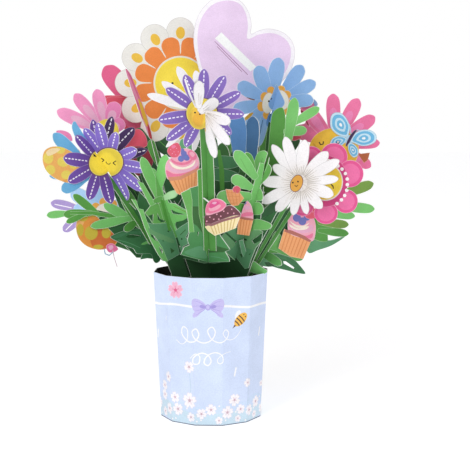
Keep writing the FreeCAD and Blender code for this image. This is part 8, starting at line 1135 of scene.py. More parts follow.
CARDS["daisy_right"] = ("H-20", 0, "white", [
    ("c", [(55.9, 102.2), (53.5, 107.7), (50.6, 113.7), (47.6, 118.7), (44.2, 123.1), (41.6, 125.3), (38.7, 126), (38.3, 122.9), (39.5, 119.7), (42.4, 115), (46, 110.4), (50.6, 105.6), (54.8, 101.4)]),
    ("c", [(56.1, 102.1), (55.5, 108.3), (54.6, 115.1), (53.2, 121), (51.2, 126.4), (49.4, 129.4), (46.6, 130.9), (45.1, 128.1), (45.2, 124.5), (46.6, 118.9), (48.7, 113.3), (51.7, 107.1), (54.6, 101.6)]),
    ("c", [(56.2, 101.7), (58.2, 107), (60.2, 112.9), (61.2, 118.3), (61.5, 123.5), (60.9, 126.7), (58.7, 129.1), (56.1, 127.4), (54.7, 124.4), (53.7, 119.3), (53.4, 113.9), (53.9, 107.6), (54.5, 101.9)]),
    ("c", [(56, 101.2), (60.5, 104.3), (65.3, 107.9), (69.1, 111.5), (72.1, 115.5), (73.3, 118.5), (72.8, 121.6), (69.7, 121.8), (67, 120.3), (63.4, 116.8), (60.2, 112.6), (57.2, 107.3), (54.7, 102.4)]),
    ("c", [(55.8, 101.1), (61.3, 102.9), (67.4, 105.2), (72.4, 107.7), (76.9, 110.8), (79.2, 113.3), (79.9, 116.3), (76.9, 117.2), (73.7, 116.4), (68.9, 114), (64.2, 110.8), (59.3, 106.5), (55, 102.5)]),
    ("c", [(55.5, 101.2), (60.4, 100.7), (65.9, 100.4), (70.8, 100.7), (75.3, 101.5), (78, 102.6), (79.6, 104.7), (77.5, 106.4), (74.6, 106.8), (70, 106.6), (65.3, 105.7), (60, 104.1), (55.3, 102.5)]),
    ("c", [(55.1, 101), (58.9, 98.2), (63.3, 95.3), (67.4, 93.4), (71.6, 92.3), (74.3, 92.4), (76.7, 94.3), (75.8, 97.2), (73.7, 99.1), (69.8, 100.9), (65.4, 102), (60.3, 102.5), (55.6, 102.6)]),
    ("c", [(54.8, 101.3), (56.7, 97.3), (59.1, 92.9), (61.7, 89.5), (64.7, 86.7), (67, 85.5), (69.8, 85.9), (70.3, 88.7), (69.3, 91.2), (66.8, 94.5), (63.7, 97.3), (59.7, 100.1), (55.9, 102.4)]),
    ("c", [(54.8, 101.7), (55, 97.5), (55.3, 92.9), (56.1, 88.9), (57.3, 85.2), (58.5, 83.1), (60.5, 82), (61.7, 84), (61.8, 86.4), (61, 90.3), (59.7, 94.1), (57.8, 98.3), (55.9, 102)]),
    ("c", [(54.7, 101.9), (53.1, 98.1), (51.4, 93.7), (50.4, 89.7), (50, 85.8), (50.3, 83.3), (51.9, 81.4), (54, 82.6), (55.1, 84.8), (56.1, 88.6), (56.4, 92.8), (56.3, 97.5), (56, 101.7)]),
    ("c", [(54.8, 102.3), (51.1, 99.5), (47.1, 96.1), (44, 92.7), (41.6, 89), (40.7, 86.4), (41.3, 83.6), (44.1, 83.6), (46.4, 85.1), (49.3, 88.4), (51.8, 92.2), (54.1, 97), (56, 101.4)]),
    ("c", [(55, 102.5), (49.9, 101.1), (44.2, 99.3), (39.4, 97.2), (35.1, 94.5), (32.8, 92.3), (32, 89.3), (34.8, 88.3), (37.8, 88.9), (42.5, 91), (46.9, 93.8), (51.6, 97.6), (55.7, 101.2)]),
    ("c", [(55.4, 102.7), (50.9, 104.2), (45.9, 105.6), (41.4, 106.2), (37.1, 106), (34.4, 105.1), (32.6, 102.7), (34.2, 100.2), (36.8, 99.1), (41.1, 98.6), (45.7, 98.8), (50.8, 99.8), (55.3, 101)]),
    ("c", [(55.8, 102.5), (53.2, 105.7), (50.2, 109), (47.3, 111.5), (44, 113.3), (41.7, 113.8), (39.3, 112.8), (39.4, 110.2), (40.7, 108.2), (43.6, 105.8), (46.9, 103.9), (51.1, 102.4), (55, 101.2)]),
    ("c", [(61.5, 101.8), (60.7, 98.3), (58.5, 95.8), (55.4, 94.8), (52.4, 95.8), (50.1, 98.3), (49.2, 101.8), (50, 105.3), (52.2, 107.8), (55.3, 108.8), (58.4, 107.9), (60.7, 105.3)]),
    ("p", [(52.5, 99.9), (15.3, 30), (17.3, 30), (55.9, 99.9)]),
], [
    (15, "stem"),
    (14, "white"),
    (0, "white"),
    (1, "white"),
    (2, "white"),
    (3, "white"),
    (4, "white"),
    (5, "white"),
    (6, "white"),
    (7, "white"),
    (8, "white"),
    (9, "white"),
    (10, "white"),
    (11, "white"),
    (12, "white"),
    (13, "white"),
    (("p", [(60.3, 101.5), (65.8, 101.5), (65.8, 101.7), (60.3, 101.9)]), "vein"),
    (("p", [(60.2, 100.8), (66.7, 99.9), (66.7, 100.1), (60.3, 101.1)]), "vein"),
    (("p", [(60.1, 100.1), (67.3, 98.2), (67.4, 98.3), (60.2, 100.4)]), "vein"),
    (("p", [(59.9, 99.4), (67.7, 96.1), (67.7, 96.3), (60, 99.8)]), "vein"),
    (("p", [(59.6, 98.8), (64.2, 96.4), (64.3, 96.5), (59.8, 99.1)]), "vein"),
    (("p", [(59.3, 98.3), (64.2, 94.6), (64.3, 94.8), (59.5, 98.5)]), "vein"),
    (("p", [(58.9, 97.8), (63.8, 92.7), (63.9, 92.9), (59.1, 98)]), "vein"),
    (("p", [(58.4, 97.4), (63, 90.9), (63.2, 91), (58.7, 97.6)]), "vein"),
    (("p", [(57.9, 97.1), (60.2, 93), (60.4, 93.1), (58.2, 97.2)]), "vein"),
    (("p", [(57.4, 96.9), (59.2, 91.5), (59.4, 91.6), (57.7, 97)]), "vein"),
    (("p", [(56.9, 96.8), (57.9, 90.2), (58.1, 90.2), (57.2, 96.8)]), "vein"),
    (("p", [(56.4, 96.8), (56.3, 89.1), (56.5, 89.1), (56.7, 96.7)]), "vein"),
    (("p", [(55.9, 96.9), (55, 92.4), (55.2, 92.4), (56.2, 96.8)]), "vein"),
    (("p", [(55.3, 97.1), (53.4, 91.8), (53.6, 91.7), (55.7, 96.9)]), "vein"),
    (("p", [(54.9, 97.4), (51.6, 91.4), (51.8, 91.3), (55.2, 97.2)]), "vein"),
    (("p", [(54.4, 97.7), (49.7, 91.4), (49.8, 91.3), (54.7, 97.5)]), "vein"),
    (("p", [(54, 98.2), (50.4, 94.9), (50.5, 94.7), (54.3, 98)]), "vein"),
    (("p", [(53.7, 98.8), (48.7, 95.2), (48.8, 95), (53.9, 98.5)]), "vein"),
    (("p", [(53.4, 99.4), (46.9, 95.9), (47, 95.7), (53.5, 99.1)]), "vein"),
    (("p", [(53.2, 100), (45.3, 97), (45.3, 96.8), (53.3, 99.7)]), "vein"),
    (("p", [(53, 100.7), (47.7, 99.5), (47.7, 99.3), (53.1, 100.4)]), "vein"),
    (("p", [(52.9, 101.4), (46.4, 100.7), (46.4, 100.5), (53, 101.1)]), "vein"),
    (("p", [(52.9, 102.1), (45.3, 102.2), (45.3, 102.1), (52.9, 101.8)]), "vein"),
    (("p", [(53, 102.9), (44.5, 104.1), (44.5, 103.9), (52.9, 102.5)]), "vein"),
    (("p", [(53.1, 103.6), (47.8, 104.9), (47.8, 104.7), (53, 103.2)]), "vein"),
    (("p", [(53.3, 104.2), (47.4, 106.6), (47.3, 106.4), (53.2, 103.9)]), "vein"),
    (("p", [(53.6, 104.8), (47.3, 108.4), (47.2, 108.3), (53.5, 104.5)]), "vein"),
    (("p", [(54, 105.4), (47.6, 110.4), (47.4, 110.3), (53.8, 105.1)]), "vein"),
    (("p", [(54.3, 105.9), (50.8, 109.2), (50.7, 109.1), (54.1, 105.6)]), "vein"),
    (("p", [(54.8, 106.3), (51.3, 110.9), (51.2, 110.8), (54.5, 106.1)]), "vein"),
    (("p", [(55.3, 106.6), (52.2, 112.5), (52.1, 112.4), (55, 106.4)]), "vein"),
    (("p", [(55.8, 106.8), (53.5, 114.1), (53.3, 114), (55.5, 106.7)]), "vein"),
    (("p", [(56.3, 106.9), (55.6, 111.2), (55.4, 111.2), (56, 106.8)]), "vein"),
    (("p", [(56.8, 106.9), (56.9, 112.3), (56.7, 112.3), (56.5, 106.9)]), "vein"),
    (("p", [(57.3, 106.8), (58.5, 113.2), (58.3, 113.2), (57, 106.9)]), "vein"),
    (("p", [(57.9, 106.6), (60.4, 113.8), (60.2, 113.9), (57.5, 106.7)]), "vein"),
    (("p", [(58.3, 106.3), (60.7, 110.3), (60.5, 110.4), (58, 106.5)]), "vein"),
    (("p", [(58.8, 105.9), (62.4, 110.5), (62.2, 110.6), (58.5, 106.1)]), "vein"),
    (("p", [(59.2, 105.4), (64.2, 110.3), (64, 110.4), (58.9, 105.7)]), "vein"),
    (("p", [(59.5, 104.9), (66.1, 109.8), (66, 109.9), (59.3, 105.2)]), "vein"),
    (("p", [(59.8, 104.3), (64.5, 106.6), (64.4, 106.8), (59.7, 104.6)]), "vein"),
    (("p", [(60, 103.6), (66, 105.8), (65.9, 106), (59.9, 104)]), "vein"),
    (("p", [(60.2, 102.9), (67.5, 104.7), (67.4, 104.9), (60.1, 103.3)]), "vein"),
    (("p", [(60.3, 102.2), (68.8, 103.2), (68.8, 103.4), (60.2, 102.6)]), "vein"),
    (("c", [(57.4, 100.1), (55.9, 97.6), (53.9, 96.2), (51.9, 96.3), (50.4, 97.7), (49.8, 100.1), (50.4, 103), (51.9, 105.5), (53.9, 106.9), (55.9, 106.9), (57.4, 105.5), (58, 103)]), "disc_line"),
    (("c", [(57.1, 100.2), (55.7, 97.9), (53.9, 96.6), (52, 96.6), (50.7, 97.9), (50.2, 100.2), (50.7, 102.9), (52.1, 105.2), (53.9, 106.5), (55.8, 106.5), (57.1, 105.2), (57.6, 102.9)]), "amber_face"),
    (("c", [(52.1, 102.1), (52, 101.7), (51.6, 101.5), (51.2, 101.7), (51, 102.1), (51.2, 102.5), (51.6, 102.6), (51.9, 102.5)]), "ink"),
    (("c", [(55.3, 102.7), (55.1, 102.3), (54.8, 102.1), (54.4, 102.3), (54.2, 102.7), (54.4, 103.1), (54.7, 103.3), (55.1, 103.1)]), "ink"),
    (("p", [(52.6, 100.1), (53.8, 99.3), (54.9, 100.3), (54.6, 100.6), (53.8, 99.8), (52.8, 100.5)]), "ink"),
])
CARDS["frond_right_a"] = ("AF", 0.4, "leaf_light", [
    ("p", [(9.7, 120), (8.2, 102.6), (6.3, 86), (6.5, 66.8), (12.7, 65.2), (13.2, 84.2), (14.2, 101.1), (13.4, 119.2)]),
    ("c", [(10.8, 111), (7.6, 115.3), (3.9, 120), (0.2, 123.8), (-3.8, 127), (-6.8, 128.3), (-10.2, 128.1), (-10.7, 125.1), (-9.4, 122.5), (-6, 118.8), (-1.9, 115.3), (3.2, 111.8), (7.9, 108.7)]),
    ("c", [(9.4, 110.3), (8.2, 114), (6.8, 118), (5.1, 121.5), (3, 124.6), (1, 126.3), (-1.8, 127), (-3.1, 125.2), (-2.9, 123), (-1.4, 119.7), (0.8, 116.4), (3.6, 112.7), (6.4, 109.5)]),
    ("c", [(8.5, 104.9), (5.5, 107.3), (2.1, 109.8), (-1.1, 111.6), (-4.4, 112.7), (-6.6, 112.7), (-8.7, 111.1), (-8.3, 108.3), (-6.7, 106.6), (-3.7, 104.7), (-0.4, 103.4), (3.7, 102.5), (7.3, 101.8)]),
    ("c", [(7.8, 100.1), (2.5, 101.3), (-3.4, 102.4), (-8.4, 102.8), (-13, 102.4), (-15.5, 101.3), (-16.7, 98.3), (-14.1, 95.3), (-11, 94.1), (-6.1, 93.5), (-1.2, 93.8), (4.2, 94.8), (8.9, 95.9)]),
    ("c", [(9.2, 91.4), (6.1, 92.5), (2.6, 93.6), (-0.4, 94.1), (-3.2, 94), (-4.7, 93.3), (-5.5, 91.3), (-4, 89), (-2.2, 88), (0.7, 87.4), (3.6, 87.4), (6.9, 87.8), (9.7, 88.4)]),
    ("p", [(-7.9, 71.6), (-5.3, 74.8), (-0.2, 76.9), (6.2, 77.9), (10.1, 73.5), (9.1, 68.1), (7.6, 61.3), (10.2, 52.7), (15.1, 47.7), (1, 57.6), (-2.4, 60.7), (0.7, 62.2)]),
    ("h", [(-5.9, 74.1), (-4.9, 74.7), (4.3, 67.7), (3.6, 66.7)]),
], [
    (2, "leaf_mid"),
    (0, "leaf_light"),
    (5, "leaf_mid"),
    (4, "leaf_light"),
    (3, "leaf_light"),
    (1, "leaf_light"),
    (6, "leaf_teal"),
    (("p", [(-7.6, 71.6), (-6.2, 74.1), (3.6, 66.5), (3.2, 64.3), (1, 62.4)]), "leaf_teal_lt"),
    (("p", [(-2, 60.4), (6.9, 53.5), (14.6, 47.9), (14.8, 48.3), (7.1, 53.8), (-1.8, 60.7)]), "leaf_pale"),
    (("p", [(4.8, 111.4), (-5, 123.3), (-5.4, 123.1), (4.4, 111.2)]), "leaf_fresh"),
])
CARDS["frond_right_b"] = ("BM", 0.4, "leaf_light", [
    ("p", [(38.3, 112.8), (32.6, 96.3), (26.9, 80.5), (22.6, 62.6), (28.7, 62), (33.6, 79.6), (38.6, 95.3), (41.9, 112.2)]),
    ("c", [(39.4, 102.8), (41.7, 106), (43.9, 109.6), (45.2, 112.9), (45.6, 116.1), (44.8, 118.3), (42, 120.1), (38.3, 119.4), (36.4, 117.7), (35, 114.6), (34.4, 111.2), (34.5, 107.2), (34.8, 103.6)]),
    ("c", [(38.9, 98.8), (41.5, 100.9), (44.3, 103.3), (46.2, 105.6), (47.3, 108.1), (47.2, 110), (45.3, 112), (42.2, 112.1), (40.2, 111.1), (38.3, 108.9), (36.9, 106.3), (36, 103.2), (35.3, 100.3)]),
    ("c", [(33.2, 90.1), (35.2, 89.5), (37.4, 89.1), (39.2, 89.2), (40.6, 90), (41.2, 91.4), (40.9, 94.1), (39.4, 96.6), (38.1, 97.4), (36.3, 97.4), (34.8, 96.7), (33.2, 95.3), (31.9, 93.8)]),
    ("c", [(32, 80.4), (34.5, 80.3), (37.2, 80.5), (39.3, 81), (40.9, 82.2), (41.5, 83.6), (40.9, 86.2), (38.9, 88.1), (37.2, 88.5), (35.1, 88.1), (33.3, 87), (31.6, 85.3), (30.1, 83.6)]),
    ("c", [(31.1, 75.7), (35.7, 77.9), (40.2, 77.6), (46.2, 76), (47.7, 74.1), (44.8, 71.8), (37.2, 71.1), (31.8, 71.4)]),
    ("p", [(23.3, 72.8), (32.6, 78.3), (35.7, 76), (37.2, 71.8), (41.1, 70.4), (40.3, 64.5), (35.7, 59.8), (32.6, 53.4), (30.3, 46.9), (27.2, 46.2), (23.3, 50.1), (19, 54.2), (18.6, 58), (21.8, 65.2)]),
    ("h", [(25.7, 65.5), (28.5, 65.2), (29.2, 63.8), (26.4, 64)]),
    ("h", [(32.6, 64.4), (41, 69.8), (39.5, 64.8), (34.5, 62.3)]),
], [
    (2, "leaf_fresh"),
    (0, "leaf_fresh"),
    (3, "leaf_light"),
    (4, "leaf_light"),
    (1, "leaf_light"),
    (6, "leaf_teal_lt"),
    (("p", [(19.1, 54.2), (20.2, 60), (28, 59.3), (34.2, 58.5), (31.9, 52.1), (30.2, 46.9), (27.2, 46.4), (23.3, 50.3)]), "leaf_teal"),
    (5, "leaf_light"),
    (("p", [(23.3, 72.8), (32.6, 77.7), (34.1, 70.9), (28, 66.8), (22.5, 66.5)]), "leaf_fresh"),
    (("p", [(21, 60.7), (23, 60.5), (22.2, 59.4)]), "leaf_deep"),
    (("p", [(23.3, 55.1), (25.8, 55.6), (24.9, 52.9)]), "leaf_deep"),
    (("p", [(30.2, 55.3), (32.2, 57), (31.4, 55.3)]), "leaf_deep"),
    (("p", [(35.8, 103.1), (41.1, 115.5), (40.6, 115.6), (35.3, 103.2)]), "leaf_fresh"),
])
CARDS["sprig_left_a"] = ("AM", 0.4, "leaf_light", [
    ("p", [(-40.9, 106.7), (-39.9, 92.2), (-35, 76), (-30.1, 64.4), (-23.4, 66.3), (-28.3, 77.7), (-34.5, 93.1), (-37.5, 107)]),
    ("c", [(-37.1, 91.3), (-38.5, 96.7), (-40.2, 102.6), (-42.2, 107.8), (-44.7, 112.5), (-46.8, 115), (-49.8, 116.2), (-51.1, 113.6), (-50.8, 110.4), (-49, 105.5), (-46.5, 100.6), (-43.3, 95.1), (-40.2, 90.3)]),
    ("c", [(-37.1, 96.2), (-37.4, 99.1), (-37.9, 102.4), (-38.7, 105.2), (-40.1, 107.7), (-41.5, 109), (-44, 109.4), (-45.7, 107.8), (-46, 106), (-45.3, 103.3), (-43.9, 100.6), (-42, 97.8), (-40.1, 95.3)]),
    ("p", [(-53.1, 101.7), (-49, 100.4), (-44.2, 92.9), (-39.4, 85.9), (-35.9, 79.5), (-38.8, 76), (-44.3, 86.1), (-49, 94.3)]),
    ("p", [(-48.1, 82), (-44.3, 86.1), (-39.4, 87.7), (-35.9, 85.7), (-31.7, 75.6), (-28.9, 69.8), (-33.2, 69.4), (-38.8, 73.5), (-43, 75.6), (-45, 78.7)]),
    ("p", [(-47.8, 76.4), (-43, 75.2), (-37.4, 75), (-31.7, 75.3), (-28.5, 70.4), (-26, 64), (-23.6, 55), (-29, 52.6), (-32.6, 51.2), (-35.4, 55.2), (-37.5, 61.6), (-40.9, 66.8), (-44.4, 70.7), (-46.5, 73.3)]),
    ("p", [(-57.3, 90.9), (-53.9, 90.2), (-52.2, 84.9), (-49.1, 84.2), (-47.1, 78.2), (-44.4, 71.9), (-38.9, 64.2), (-36.1, 60.2), (-31.9, 50.9), (-35.4, 51.4), (-38.9, 55.4), (-43.8, 63.8), (-48.2, 72.7), (-51.9, 82.7)]),
    ("c", [(-41.8, 87.8), (-42.1, 90), (-38.6, 91.7), (-35.8, 91.9), (-35.8, 88.8), (-38.7, 87.7)]),
    ("h", [(-45.8, 80.1), (-42.2, 81), (-42.5, 76.1), (-44.3, 78.4)]),
    ("h", [(-39.5, 81.6), (-37.3, 77.7), (-33.1, 76.2), (-36.6, 75.5), (-39.2, 77.8)]),
    ("h", [(-44.4, 69.2), (-41.6, 67.4), (-39, 64), (-41, 64.7), (-43.7, 67.1)]),
    ("h", [(-38.3, 60.8), (-35.7, 58.3), (-36.1, 56), (-37.8, 58.5)]),
], [
    (3, "leaf_light"),
    (2, "leaf_light"),
    (1, "leaf_light"),
    (4, "leaf_fresh"),
    (0, "leaf_fresh"),
    (5, "leaf_teal"),
    (6, "leaf_light"),
    (7, "leaf_fresh"),
    (("p", [(-37.2, 89.5), (-35.1, 89.4), (-29.6, 69.9), (-31.7, 70)]), "leaf_mid"),
    (("c", [(-45.8, 72.6), (-40.2, 69.8), (-33.2, 66.9), (-27.5, 64.1), (-28.9, 62.3), (-36, 64.6), (-43, 67.5)]), "leaf_teal_lt"),
    (("p", [(-32.9, 70.2), (-30.9, 70.2), (-31.3, 69)]), "leaf_dark2"),
    (("p", [(-30.4, 59.5), (-27.2, 57.4), (-29.7, 55.8)]), "leaf_deep"),
    (("p", [(-35.9, 64.6), (-35, 64.4), (-35.5, 63.1)]), "leaf_dark2"),
    (("p", [(-40.3, 87.8), (-39.6, 88.1), (-39.4, 86.8)]), "leaf_dark"),
])
CARDS["sprig_left_b"] = ("BF", 0.4, "leaf_light", [
    ("p", [(-13.8, 113.3), (-17.4, 97.5), (-16.7, 80), (-14.5, 67.6), (-6, 70.8), (-8.1, 82.8), (-10.5, 99), (-9.6, 113.9)]),
    ("c", [(-13.1, 100), (-9.2, 104.9), (-5.2, 110.4), (-2.1, 115.3), (0.1, 120), (0.6, 123), (-1, 125.3), (-4.7, 123.8), (-7.3, 121.2), (-10.4, 116.6), (-12.8, 111.5), (-15.1, 105.7), (-16.9, 100.5)]),
    ("c", [(-17.9, 93.4), (-12.6, 97.3), (-5.8, 100.9), (-0.7, 102), (1.2, 100.2), (-1.6, 97.3), (-8.3, 95.3), (-14.5, 93.5)]),
    ("p", [(-8.8, 93.5), (-2.5, 93.1), (1.6, 90.6), (5.2, 89.2), (7.3, 86.9), (5.6, 84.8), (0.8, 82.2), (-5.7, 80.5), (-8.2, 84.4), (-9.9, 89.7)]),
    ("p", [(-15.8, 94.8), (-8.3, 95.2), (-7.7, 90.5), (-7.6, 86.4), (-4.9, 84.6), (-4.3, 82.6), (-7, 79), (-7.3, 74.9), (-11.5, 73.3), (-14.5, 79.9)]),
    ("p", [(-12.1, 73.9), (-7.8, 74.9), (-2.9, 77.7), (2.8, 80.6), (6.2, 81.5), (6.6, 79.2), (3.2, 74.9), (-0.9, 70.6), (1.6, 68), (-1, 65.7), (-5.3, 63.7), (-6, 61.2), (-9.5, 57.5), (-10.8, 64.3), (-11.9, 69.1)]),
    ("h", [(-7.7, 89.1), (-4, 87.7), (3.1, 86.2), (-3, 85.8), (-6.9, 86.2)]),
], [
    (3, "leaf_mid"),
    (0, "leaf_fresh"),
    (4, "leaf_fresh"),
    (1, "leaf_light"),
    (2, "leaf_light"),
    (5, "leaf_teal"),
    (("p", [(-4.8, 71.7), (0.8, 75.6), (0.4, 76), (-5.1, 72.1)]), "leaf_deep"),
    (("c", [(-3.8, 69.2), (-4.1, 68.7), (-4.7, 68.5), (-5.2, 68.6), (-5.3, 69.1), (-4.9, 69.5), (-4.4, 69.8), (-3.9, 69.6)]), "leaf_dark2"),
    (("p", [(-4.8, 91.1), (4.6, 87.6), (5, 88), (-4.4, 91.5)]), "leaf_olive"),
])
CARDS["leaf_front_a"] = ("AF", 0.4, "leaf_front", [
    ("p", [(-42.3, 101.9), (-36.4, 104.9), (-33.5, 97.1), (-31.6, 87.3), (-28, 75.9), (-31.9, 76.1), (-33.5, 82.8), (-36.4, 90.8)]),
    ("p", [(-37.1, 104.9), (-30.6, 106.6), (-27.3, 93.6), (-26.7, 87), (-21.6, 75.5), (-17.2, 64.4), (-13.1, 54.5), (-20, 56.6), (-27.6, 59), (-34.8, 61.3), (-33.2, 66.2), (-29.9, 67.3), (-31.9, 70.8), (-31.6, 76.1)]),
    ("p", [(-33.8, 116.2), (-28.1, 118.6), (-20.7, 86.7), (-16.4, 69.8), (-12.9, 54.5), (-16.7, 61.6), (-21.9, 75.5), (-27.2, 87.7)]),
    ("h", [(-26.1, 76), (-24.7, 76.1), (-24.9, 73.1)]),
], [
    (1, "leaf_front"),
    (("p", [(-34.2, 93.2), (-27.5, 92.9), (-24.4, 82.3), (-21.3, 74.1), (-26.7, 79.8), (-31.4, 82.7)]), "leaf_deep"),
    (("c", [(-32.5, 62.8), (-27.3, 65.1), (-21.1, 66), (-17.4, 61.7), (-15.8, 57.5), (-21.7, 58.2), (-27.8, 60.1)]), "leaf_teal"),
    (0, "leaf_fresh"),
    (2, "leaf_mid"),
    (("p", [(-27.4, 103.3), (-20, 76.7), (-14.4, 57.3), (-13.8, 57.3), (-19.4, 76.7), (-26.9, 103.3)]), "leaf_fresh"),
])
CARDS["leaf_front_b"] = ("BF", 0.4, "leaf_front", [
    ("p", [(28.5, 117.4), (29.8, 111.1), (26.6, 93.6), (24.6, 80.3), (27.3, 73.2), (30, 68.7), (32.2, 64.9), (28.1, 62.9), (30, 58.7), (29.7, 56.2), (21.1, 55.3), (13, 54.5), (19.7, 83.3)]),
], [
    (0, "leaf_front"),
    (("p", [(15.7, 65), (23.2, 66.2), (31.7, 64.9), (26.8, 62.5), (14.8, 61.2)]), "leaf_deep"),
    (("p", [(28.9, 116.1), (29.4, 111.1), (25.8, 93.5), (23.8, 80.3), (21.5, 71.5), (16.5, 68.4)]), "leaf_mid"),
    (("p", [(15.7, 58.6), (22.6, 58.2), (28.4, 57), (28.7, 57.4), (22.8, 58.7), (15.9, 59.1)]), "leaf_teal"),
])
CARDS["leaf_stem_right"] = ("BB", 0.4, "leaf_mid", [
    ("p", [(27.3, 80), (30.8, 84.8), (40.9, 88), (36.8, 75.9), (30.4, 62.3), (24.2, 50.6), (20.6, 51), (24.4, 65.8)]),
    ("p", [(40.4, 85.8), (32.9, 68.3), (25.9, 55.3), (28.3, 54.2), (35.3, 67.3), (42.6, 84.9)]),
    ("c", [(23.1, 58), (26.7, 55.7), (30.9, 53.2), (34.7, 51.4), (38.5, 50.1), (41.1, 49.8), (43.4, 50.8), (42.7, 53.1), (40.8, 54.7), (37.3, 56.5), (33.3, 58), (28.5, 59.3), (24.3, 60.3)]),
    ("c", [(26.8, 63), (27.8, 66.9), (28.6, 71.2), (28.9, 75.1), (28.5, 79), (27.5, 81.4), (24.9, 83.2), (22.4, 81.9), (21.4, 79.8), (21, 76), (21.3, 72), (22.2, 67.4), (23.3, 63.4)]),
], [
    (3, "leaf_light"),
    (1, "leaf_deep"),
    (2, "leaf_light"),
    (0, "leaf_mid"),
    (("p", [(39.3, 85.4), (29.8, 62.6), (23.6, 50.9), (24.1, 50.7), (30.4, 62.4), (39.9, 85.2)]), "leaf_pale"),
    (("p", [(33.1, 84.9), (39.6, 87), (35.7, 77.1), (31.5, 68.9)]), "leaf_moss"),
])
CARDS["leaf_spray_right"] = ("AF", 0.4, "leaf_mid", [
    ("c", [(65.6, 75.9), (70.9, 74.4), (76.8, 73), (82.1, 72), (87.1, 71.7), (90, 72.2), (91.6, 74.1), (89.2, 76.4), (86, 77.6), (80.9, 78.6), (75.8, 79), (70.1, 78.9), (65.1, 78.8)]),
    ("c", [(67.1, 70.1), (72.4, 68.6), (78.4, 66.9), (83.7, 65.9), (88.8, 65.4), (91.7, 65.7), (93.5, 67.4), (91.1, 69.7), (88, 71), (82.8, 72.1), (77.6, 72.6), (71.8, 72.8), (66.7, 72.9)]),
    ("c", [(78.1, 93.5), (84.1, 94.2), (90.9, 95.2), (96.5, 96.5), (101.6, 98.4), (104, 100.4), (104.4, 103.4), (100.5, 105.2), (96.7, 105.2), (91.2, 104), (85.9, 102.1), (80.5, 99.4), (75.8, 96.9)]),
    ("c", [(79.2, 86.3), (85.6, 84.7), (92.9, 83), (99.3, 82), (105.4, 81.6), (109, 82.2), (111, 84.4), (108, 87.1), (104, 88.5), (97.8, 89.6), (91.5, 90), (84.6, 90), (78.6, 89.7)]),
    ("c", [(67, 82.9), (72.6, 81.3), (79.1, 79.6), (84.8, 78.5), (90.3, 77.9), (93.5, 78.3), (95.4, 80), (92.9, 82.5), (89.5, 83.8), (83.9, 84.9), (78.3, 85.5), (72.1, 85.7), (66.6, 85.8)]),
    ("c", [(65.4, 81.8), (69.5, 83.8), (74, 86.2), (77.6, 88.7), (80.5, 91.6), (81.5, 93.9), (80.6, 96.8), (77.1, 97.6), (74.4, 96.8), (70.8, 94.5), (67.8, 91.5), (64.8, 87.8), (62.4, 84.4)]),
    ("c", [(57.4, 70.7), (62.2, 83.2), (73.8, 82.6), (80.4, 76.5), (75.7, 69.5), (76.6, 62.9), (67.2, 64.3)]),
    ("c", [(60, 60.4), (65.3, 65.1), (79, 63.5), (91, 65.7), (81.7, 59.7), (70.8, 56.8), (63.8, 55.1)]),
    ("p", [(72.4, 86.4), (50.5, 70.9), (30.6, 61.1), (20.4, 51.5), (26.2, 46.2), (36.5, 54.8), (56, 65.2), (77.7, 81.5)]),
    ("c", [(29.9, 66.7), (33.1, 72.8), (39.1, 67.5), (42.8, 58.8), (50.4, 53.9), (59.5, 51.2), (55.4, 49.9), (45.6, 53.8), (36.7, 58.1), (30.1, 61.1)]),
], [
    (8, "leaf_mid"),
    (7, "leaf_teal"),
    (6, "leaf_mid"),
    (5, "leaf_light"),
    (4, "leaf_light"),
    (3, "leaf_light"),
    (2, "leaf_olive"),
    (1, "leaf_mid"),
    (0, "leaf_olive"),
    (9, "leaf_fresh"),
])
CARDS["leaf_foot_light"] = ("Hf", 0, "leaf_light", [
    ("c", [(23, 49.8), (25.2, 53.6), (28.3, 52.9), (32.7, 49.2), (36.1, 46.6), (33.3, 44.2), (28.9, 44.7), (24.8, 46.4)]),
    ("p", [(26.8, 53.6), (22.9, 60), (20.9, 67.8), (18.5, 67.1), (20, 58.7), (23.6, 51.5)]),
    ("h", [(21.23, 55.65), (21.32, 55.43), (21.65, 54.76), (21.91, 54.24), (22.13, 54.15), (22.34, 54.24), (22.43, 54.45), (24.1, 58.52), (24.01, 58.74), (23.73, 59.21), (23.36, 59.81), (23.15, 59.89), (22.94, 59.81)]),
], [
    (1, "leaf_teal"),
    (0, "leaf_light"),
])
CARDS["leaf_foot_right"] = ("AF", 0.8, "leaf_dark", [
    ("c", [(27.2, 54.4), (30.4, 57), (36.6, 57.3), (45.1, 54.8), (51.3, 52.2), (56.9, 47.8), (64.3, 40.4), (57.3, 41.3), (49.5, 43.6), (39.2, 46.6), (31.3, 49.8)]),
    ("c", [(22.3, 51.9), (23.9, 56.8), (29.8, 56.3), (37.5, 53.6), (40.1, 49.1), (34.2, 47.8), (26.8, 49.1)]),
    ("h", [(43.6, 51), (45.7, 50.8), (54, 45.5), (53.7, 44.5), (44.4, 49.3)]),
], [
    (0, "leaf_dark"),
    (1, "leaf_teal"),
    (("p", [(28.6, 51.4), (34.9, 51.3), (38.3, 48.5), (32.8, 46.8)]), "leaf_dark2"),
    (("p", [(32.4, 55.2), (43.9, 52.9), (58.8, 44.5), (59, 44.9), (44, 53.4), (32.3, 55.7)]), "leaf_teal2"),
])
